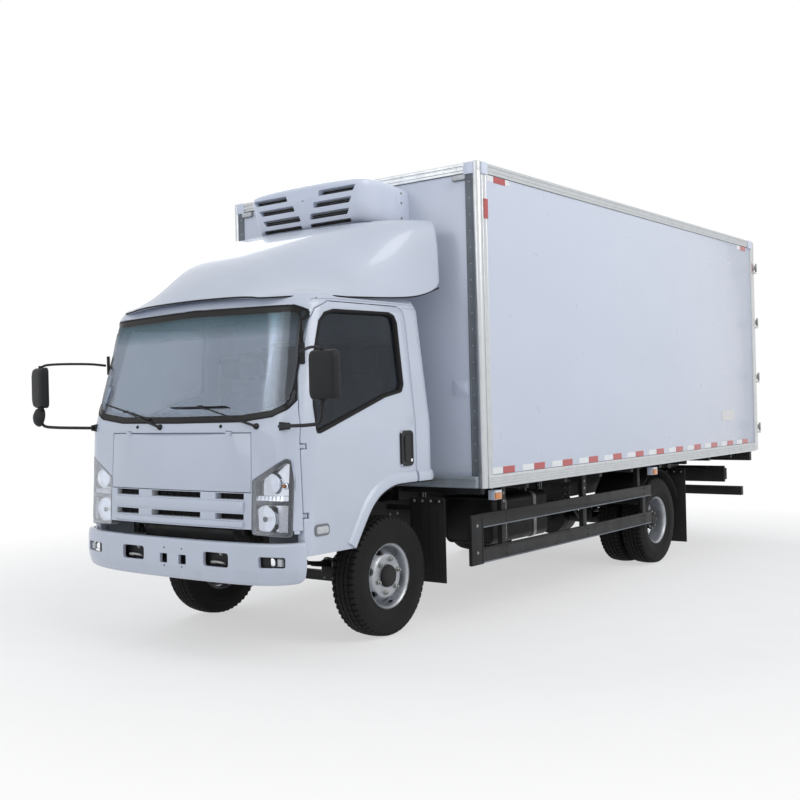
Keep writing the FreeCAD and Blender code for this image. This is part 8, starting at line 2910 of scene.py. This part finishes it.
class TRUCK_OT_steering(bpy.types.Operator):
    """Steering wheel with its column cowl and stalks, the pedals and the levers"""

    bl_idname = "truck.steering"
    bl_label = "Steering wheel and controls"

    def execute(self, context):
        self.wheel()
        self.column()
        self.pedals()
        self.levers()
        return {"FINISHED"}

    def wheel(self):
        wheel = Shape()
        middle_ = at(*STEERING)
        grip = [(0.0145 * math.sin(a), STEERING_RIM + 0.0135 * math.cos(a))
                for a in (math.tau * k / 14 for k in range(15))]
        wheel.turned(grip, middle_, COLUMN, 72, caps=False)
        down = Vector((0, 0.785, -0.62)).normalized()
        for angle in (90, 210, 330):
            a = math.radians(angle)
            out = Vector((1, 0, 0)) * math.cos(a) + down * math.sin(a)
            bend = [middle_ + COLUMN * 0.02 + out * 0.035, middle_ + COLUMN * 0.012 + out * 0.11,
                    middle_ + out * (STEERING_RIM - 0.006)]
            wheel.tube(smooth_path(bend, 5), 0.0, section=rectangle(0.03, 0.012, 0.005))
        wheel.turned([(0.036, 0.05), (0.026, 0.066), (0.01, 0.07), (-0.002, 0.062), (-0.01, 0.04),
                      (-0.012, 0.012)], middle_, COLUMN, 40)
        wheel.turned([(-0.008, 0.046), (-0.012, 0.04), (-0.0145, 0.024), (-0.0152, 0.004)], middle_,
                     COLUMN, 36, 1)
        wheel.piece("steering_wheel_rim", "cab", "black_plastic", ("dash_grey", "dash_dark"),
                    ("steering_wheel",), bevel=0.001, segments=1)

    def column(self):
        cowl = Shape()
        middle_ = at(*STEERING)
        down = Vector((0, 0.785, -0.62)).normalized()
        rings = []
        for along, size in ((0.036, 0.078), (0.045, 0.088), (0.11, 0.098), (0.19, 0.104)):
            rings.append([middle_ + COLUMN * along + Vector((1, 0, 0)) * a + down * b
                          for a, b in rectangle(size, size * 0.86, 0.016)])
        cowl.loft(rings)
        for side in (-1, 1):
            start = middle_ + COLUMN * 0.075 + Vector((side * 0.04, 0, 0))
            tip = start + Vector((side * 0.13, 0.0, 0.01)) - COLUMN * 0.03
            cowl.tube(smooth_path([start, start.lerp(tip, 0.5) + COLUMN * 0.008, tip], 5), 0.0055,
                      1)
            cowl.rod(tip, tip + Vector((side * 0.03, 0, 0.002)), 0.0085, 1)
        cowl.turned([(0, 0.013), (0.012, 0.013), (0.014, 0.01)],
                    middle_ + COLUMN * 0.12 + Vector((0.048, 0, 0)), (1, 0, 0), 20, 2)
        cowl.piece("column_cowl", "cab", "black_plastic",
                   ("dash_dark", "black_plastic", "zinc_steel"), ("steering_wheel",), bevel=0.002)

    def pedals(self):
        pedals = Shape()
        for x, width, y in ((-0.545, 0.058, -0.8), (-0.425, 0.066, -0.8), (-0.32, 0.046, -0.79)):
            pad = at(x, y, 1.125)
            lean = Vector((0, -0.5, 0.86)).normalized()
            pedals.tube([at(x, -0.8, 1.24), at(x, y - 0.045, 1.19), pad - Vector((0, 0.012, 0))],
                        0.007, 1, 10)
            out = Vector((0, 0.86, 0.5)).normalized()
            pedals.prism(rectangle(width, 0.066, 0.006), pad, (1, 0, 0), lean, out * 0.01)
            for k in range(5):
                pedals.prism(rectangle(width - 0.01, 0.004),
                             pad + lean * (0.011 * (k - 2)) + out * 0.01, (1, 0, 0), lean,
                             out * 0.002)
        pedals.piece("pedals", "cab", "black_plastic", ("seal_rubber", "chassis_black"),
                     bevel=0.0015)

    def levers(self):
        levers = Shape()
        base = at(-0.15, -0.5, CAB_SHELF)
        path = smooth_path([base, base + Vector((0, 0.01, 0.1)), base + Vector((0.004, 0.03, 0.2)),
                            base + Vector((0.004, 0.045, 0.265))])
        levers.tube(path, 0.0065, 1)
        levers.turned([(-0.02, 0.012), (-0.008, 0.02), (0.01, 0.024), (0.024, 0.019),
                       (0.032, 0.006)], path[-1], (0, 0.1, 1), 28)
        bellows = [(0.004 + 0.01 * k, 0.064 - 0.0075 * k - (0.006 if k % 2 else 0.0)) for k in
                   range(8)]
        levers.turned([(0.0, 0.068)] + bellows, base, (0, 0.08, 1))
        brake = at(-0.272, -0.33, CAB_SHELF)
        levers.block(brake + Vector((-0.018, -0.06, 0)), brake + Vector((0.018, 0.06, 0.03)))
        levers.tube(smooth_path([brake + Vector((0, 0.02, 0.025)),
                                 brake + Vector((0, -0.08, 0.075)),
                                 brake + Vector((0, -0.19, 0.12))]), 0.009, 1)
        levers.tube([brake + Vector((0, -0.12, 0.0935)), brake + Vector((0, -0.215, 0.13))], 0.014,
                    0, 16)
        levers.piece("gear_and_brake_levers", "cab", "black_plastic",
                     ("black_plastic", "zinc_steel"), bevel=0.001, segments=1)


class TRUCK_OT_cabin(bpy.types.Operator):
    """Cab floor with mats, rear and roof linings, sun visors and the inside mirror"""

    bl_idname = "truck.cabin"
    bl_label = "Cabin linings"

    MAT_TOP = 1.066

    def execute(self, context):
        refined("cab_floor", "grey_paint")
        self.mats()
        self.linings()
        self.visors()
        return {"FINISHED"}

    def mats(self):
        mats = Shape()
        for side in (-1, 1):
            low, high = sorted((side * 0.345, side * 0.63))
            mats.block(at(low, -0.86, CAB_FLOOR), at(high, -0.27, self.MAT_TOP))
            for k in range(12):
                x = low + 0.02 + k * 0.0235
                mats.block(at(x, -0.8, self.MAT_TOP), at(x + 0.006, -0.3, self.MAT_TOP + 0.002))
            low, high = sorted((side * 0.635, side * 0.905))
            mats.block(at(low, -0.505, CAB_FLOOR), at(high, -0.27, self.MAT_TOP))
            low, high = sorted((side * 0.68, side * 0.9))
            mats.block(at(low, -0.84, 0.6752), at(high, -0.56, 0.681))
            for k in range(8):
                x = low + 0.014 + k * 0.026
                mats.block(at(x, -0.83, 0.681), at(x + 0.008, -0.57, 0.684))
        mats.block(at(-0.325, -0.555, CAB_SHELF), at(0.325, -0.27, 1.245))
        mats.piece("floor_mats", "cab", "black_plastic", "flap_rubber", bevel=0.0012, segments=1)

    def linings(self):
        ceiling = Laid(Skin("cab_roof", "cab_front"), "ceiling")
        outline = rounded([(-0.8, -0.5), (0.8, -0.5), (0.8, 0.24), (-0.8, 0.24)], 0.06)
        ceiling.pad(spaced(outline, 0.03), 0.014, 0.002, rings=7, edge=0.006)
        ceiling.piece("headliner_panel", "cab", "interior_grey", "headliner")
        back = Laid(Skin("cab_back_wall"), "inside_back")
        lower = rounded([(-0.82, 1.27), (0.82, 1.27), (0.82, 1.525), (-0.82, 1.525)], 0.03)
        back.pad(spaced(lower, 0.03), 0.01, 0.001, edge=0.004)
        frame_ = spaced(rounded(BACK_WINDOW, 0.06), 0.03)
        back.moulding(beside(frame_, -0.02), [(-0.016, 0.0), (0.016, 0.0), (0.013, 0.008),
                                              (-0.013, 0.008)])
        back.piece("rear_lining", "cab", "interior_grey", "dash_grey", bevel=0.001)

    def visors(self):
        visors = Laid(Skin("cab_roof", "cab_front"), "ceiling")
        for x in (-0.44, 0.44):
            outline = rounded([(x - 0.2, -0.565), (x + 0.2, -0.565), (x + 0.2, -0.43),
                               (x - 0.2, -0.43)], 0.02)
            visors.pad(spaced(outline, 0.02), 0.036, 0.018, rings=5, edge=0.006)
        visors.piece("sun_visors", "cab", "interior_grey", "headliner", bevel=0.001)
        mirror = Shape()
        top = Laid(Skin("cab_roof", "cab_front"), "ceiling").drop(0.0, -0.56, 0.0)
        head = top + Vector((0, -0.04, -0.13))
        mirror.tube(smooth_path([top, top + Vector((0, -0.02, -0.06)), head], 5), 0.006)
        mirror.prism(rectangle(0.23, 0.066, 0.022), head + Vector((0, -0.008, 0)), (1, 0, 0),
                     (0, -0.1, 0.995), (0, 0.02, 0.003))
        mirror.prism(rectangle(0.216, 0.054, 0.018), head + Vector((0, 0.0122, 0.002)), (1, 0, 0),
                     (0, -0.1, 0.995), (0, 0.001, 0), 1)
        mirror.piece("inside_mirror", "cab", "black_plastic", ("black_plastic", "mirror_glass"),
                     bevel=0.001, segments=1)


# ---- camera, floor and light ------------------------------------------------------------------
CAMERA_PLACE = (5.3324, -5.6745, 1.5292)
CAMERA_YAW, CAMERA_PITCH, CAMERA_ROLL = 0.6519387, 0.0033015, -0.0241723
CAMERA_LENS = 48.9
CAMERA_REACH = 200.0
STAGE_REACH = 60.0
FLOOR_FADE = (3.6, 6.5)          # where the floor starts to turn white, and where it is white
# Name, place, aim, power for each unit of the key strength, and colour of the soft lights.
LIGHTS = (("key", (11.0, 1.0, 9.0), (0.0, 2.4, 1.4), 330.0, (1.0, 0.985, 0.96)),
          ("front_fill", (-3.0, -11.0, 5.5), (0.0, -0.5, 1.4), 120.0, (0.94, 0.97, 1.0)),
          ("back_fill", (-9.0, 9.0, 8.0), (0.0, 2.0, 1.4), 190.0, (0.96, 0.98, 1.0)))
LIGHT_SIZE = 7.0


class TRUCK_OT_stage(bpy.types.Operator):
    """Sets the camera, a plain pale floor, the white surroundings and soft studio light"""

    bl_idname = "truck.stage"
    bl_label = "Stage"

    def execute(self, context):
        scene = context.scene
        scene.view_settings.view_transform = "Standard"
        self.camera(scene)
        self.floor()
        self.surroundings(scene)
        self.lamps()
        return {"FINISHED"}

    def camera(self, scene):
        data = bpy.data.cameras.new("camera")
        data.lens = CAMERA_LENS
        data.clip_end = CAMERA_REACH
        look = Vector((-math.sin(CAMERA_YAW) * math.cos(CAMERA_PITCH),
                       math.cos(CAMERA_YAW) * math.cos(CAMERA_PITCH), math.sin(CAMERA_PITCH)))
        right = look.cross(Vector((0, 0, 1))).normalized()
        up = right.cross(look)
        turn = Matrix.Rotation(-CAMERA_ROLL, 3, look)
        right, up = turn @ right, turn @ up
        obj = linked("camera", data)
        obj.matrix_world = Matrix.Translation(at(*CAMERA_PLACE)) @ Matrix((right, up,
                -look)).transposed().to_4x4()
        scene.camera = obj

    def floor(self):
        floor = Shape()
        reach = STAGE_REACH
        floor.add([(-reach, -reach, 0), (reach, -reach, 0), (reach, reach, 0), (-reach, reach, 0)],
                  [[0, 1, 2, 3]])
        mesh = bpy.data.meshes.new("floor")
        mesh.from_pydata(floor.points, [], floor.faces)
        obj = linked("floor", mesh)
        f = Finish("pale_floor")
        grain = f.noise(3.0, 3.0)
        matt = f.surface(base_color=f.mix(f.between(grain, 0.4, 0.6), (0.78, 0.78, 0.79),
                                          (0.8, 0.8, 0.81)), roughness=0.75, specular_ior_level=0.2)
        glow = f.node("ShaderNodeEmission", {}, {"Color": (1, 1, 1, 1), "Strength": 1.0})
        far = f.node("ShaderNodeVectorMath", {"operation": "LENGTH"}, {0: f.place}, 1)
        seen = self.seen(f)
        fade = f.between(far, *FLOOR_FADE)
        shader = f.node("ShaderNodeMixShader", {},
                        {0: seen * (0.55 + fade * 0.45), 1: matt, 2: glow})
        f.done(shader)
        obj.data.materials.append(FINISHES["pale_floor"])

    @staticmethod
    def seen(f):
        """1 for rays that come straight from the camera, off a mirror or through glass."""
        path = f.tree.nodes.new("ShaderNodeLightPath")
        seen = [Socket(f, path.outputs[name]) for name in
                ("Is Camera Ray", "Is Glossy Ray", "Is Transmission Ray")]
        return f.node("ShaderNodeMath", {"operation": "MINIMUM"},
                      {0: seen[0] + seen[1] + seen[2], 1: 1.0})

    def surroundings(self, scene):
        world = bpy.data.worlds.new("studio")
        scene.world = world
        world.use_nodes = True
        nodes, links = world.node_tree.nodes, world.node_tree.links
        nodes.clear()
        path = nodes.new("ShaderNodeLightPath")
        sky = nodes.new("ShaderNodeBackground")
        sky.inputs["Color"].default_value = (0.93, 0.96, 1.0, 1.0)
        sky.inputs["Strength"].default_value = sizes().sky_strength
        white = nodes.new("ShaderNodeBackground")
        white.inputs["Color"].default_value = (1.0, 1.0, 1.0, 1.0)
        white.inputs["Strength"].default_value = 1.0
        pick = nodes.new("ShaderNodeMixShader")
        seen = [path.outputs[name] for name in
                ("Is Camera Ray", "Is Glossy Ray", "Is Transmission Ray")]
        total = None
        for socket in seen:
            if total is None:
                total = socket
                continue
            add = nodes.new("ShaderNodeMath")
            add.operation = "ADD"
            add.use_clamp = True
            links.new(total, add.inputs[0])
            links.new(socket, add.inputs[1])
            total = add.outputs[0]
        links.new(total, pick.inputs[0])
        links.new(sky.outputs[0], pick.inputs[1])
        links.new(white.outputs[0], pick.inputs[2])
        out = nodes.new("ShaderNodeOutputWorld")
        links.new(pick.outputs[0], out.inputs["Surface"])

    def lamps(self):
        key = sizes().key_strength
        for name, place, aim, power, tint in LIGHTS:
            data = bpy.data.lights.new(name, "AREA")
            data.energy = power * key
            data.size = LIGHT_SIZE
            data.color = tint
            lamp = linked(name, data)
            start, end = at(*place), at(*aim)
            lamp.location = start
            lamp.rotation_euler = (start - end).to_track_quat("Z", "Y").to_euler()


STEPS = (TRUCK_OT_cab_shell, TRUCK_OT_grille, TRUCK_OT_glazing, TRUCK_OT_headlamps,
         TRUCK_OT_bumper, TRUCK_OT_doors, TRUCK_OT_mirrors, TRUCK_OT_wipers, TRUCK_OT_deflector,
         TRUCK_OT_refrigeration, TRUCK_OT_body_panels, TRUCK_OT_body_rails, TRUCK_OT_body_marks,
         TRUCK_OT_rear_doors, TRUCK_OT_wheels, TRUCK_OT_running_gear, TRUCK_OT_chassis,
         TRUCK_OT_equipment, TRUCK_OT_guards, TRUCK_OT_dashboard, TRUCK_OT_steering,
         TRUCK_OT_seats, TRUCK_OT_cabin, TRUCK_OT_stage)


# ---- panel and registration -------------------------------------------------------------------
class TRUCK_PT_panel(bpy.types.Panel):
    bl_idname = "TRUCK_PT_panel"
    bl_label = "Refrigerated truck"
    bl_space_type = "VIEW_3D"
    bl_region_type = "UI"
    bl_category = "Truck"

    def draw(self, context):
        for group in (context.scene.truck_sizes, context.scene.truck_colours):
            column = self.layout.column(align=True)
            for name in group.bl_rna.properties.keys():
                if name not in ("rna_type", "name"):
                    column.prop(group, name)
        column = self.layout.column(align=True)
        for step in STEPS:
            column.operator(step.bl_idname)


CLASSES = (TruckColours, TruckSizes, *STEPS, TRUCK_PT_panel)


def register():
    for made in CLASSES:
        bpy.utils.register_class(made)
    bpy.types.Scene.truck_colours = PointerProperty(type=TruckColours)
    bpy.types.Scene.truck_sizes = PointerProperty(type=TruckSizes)


def unregister():
    del bpy.types.Scene.truck_sizes
    del bpy.types.Scene.truck_colours
    for made in reversed(CLASSES):
        bpy.utils.unregister_class(made)


def main():
    register()
    make_finishes()
    for step in STEPS:
        category, name = step.bl_idname.split(".")
        getattr(getattr(bpy.ops, category), name)()
    bpy.context.view_layer.update()


if __name__ == "__main__":
    main()
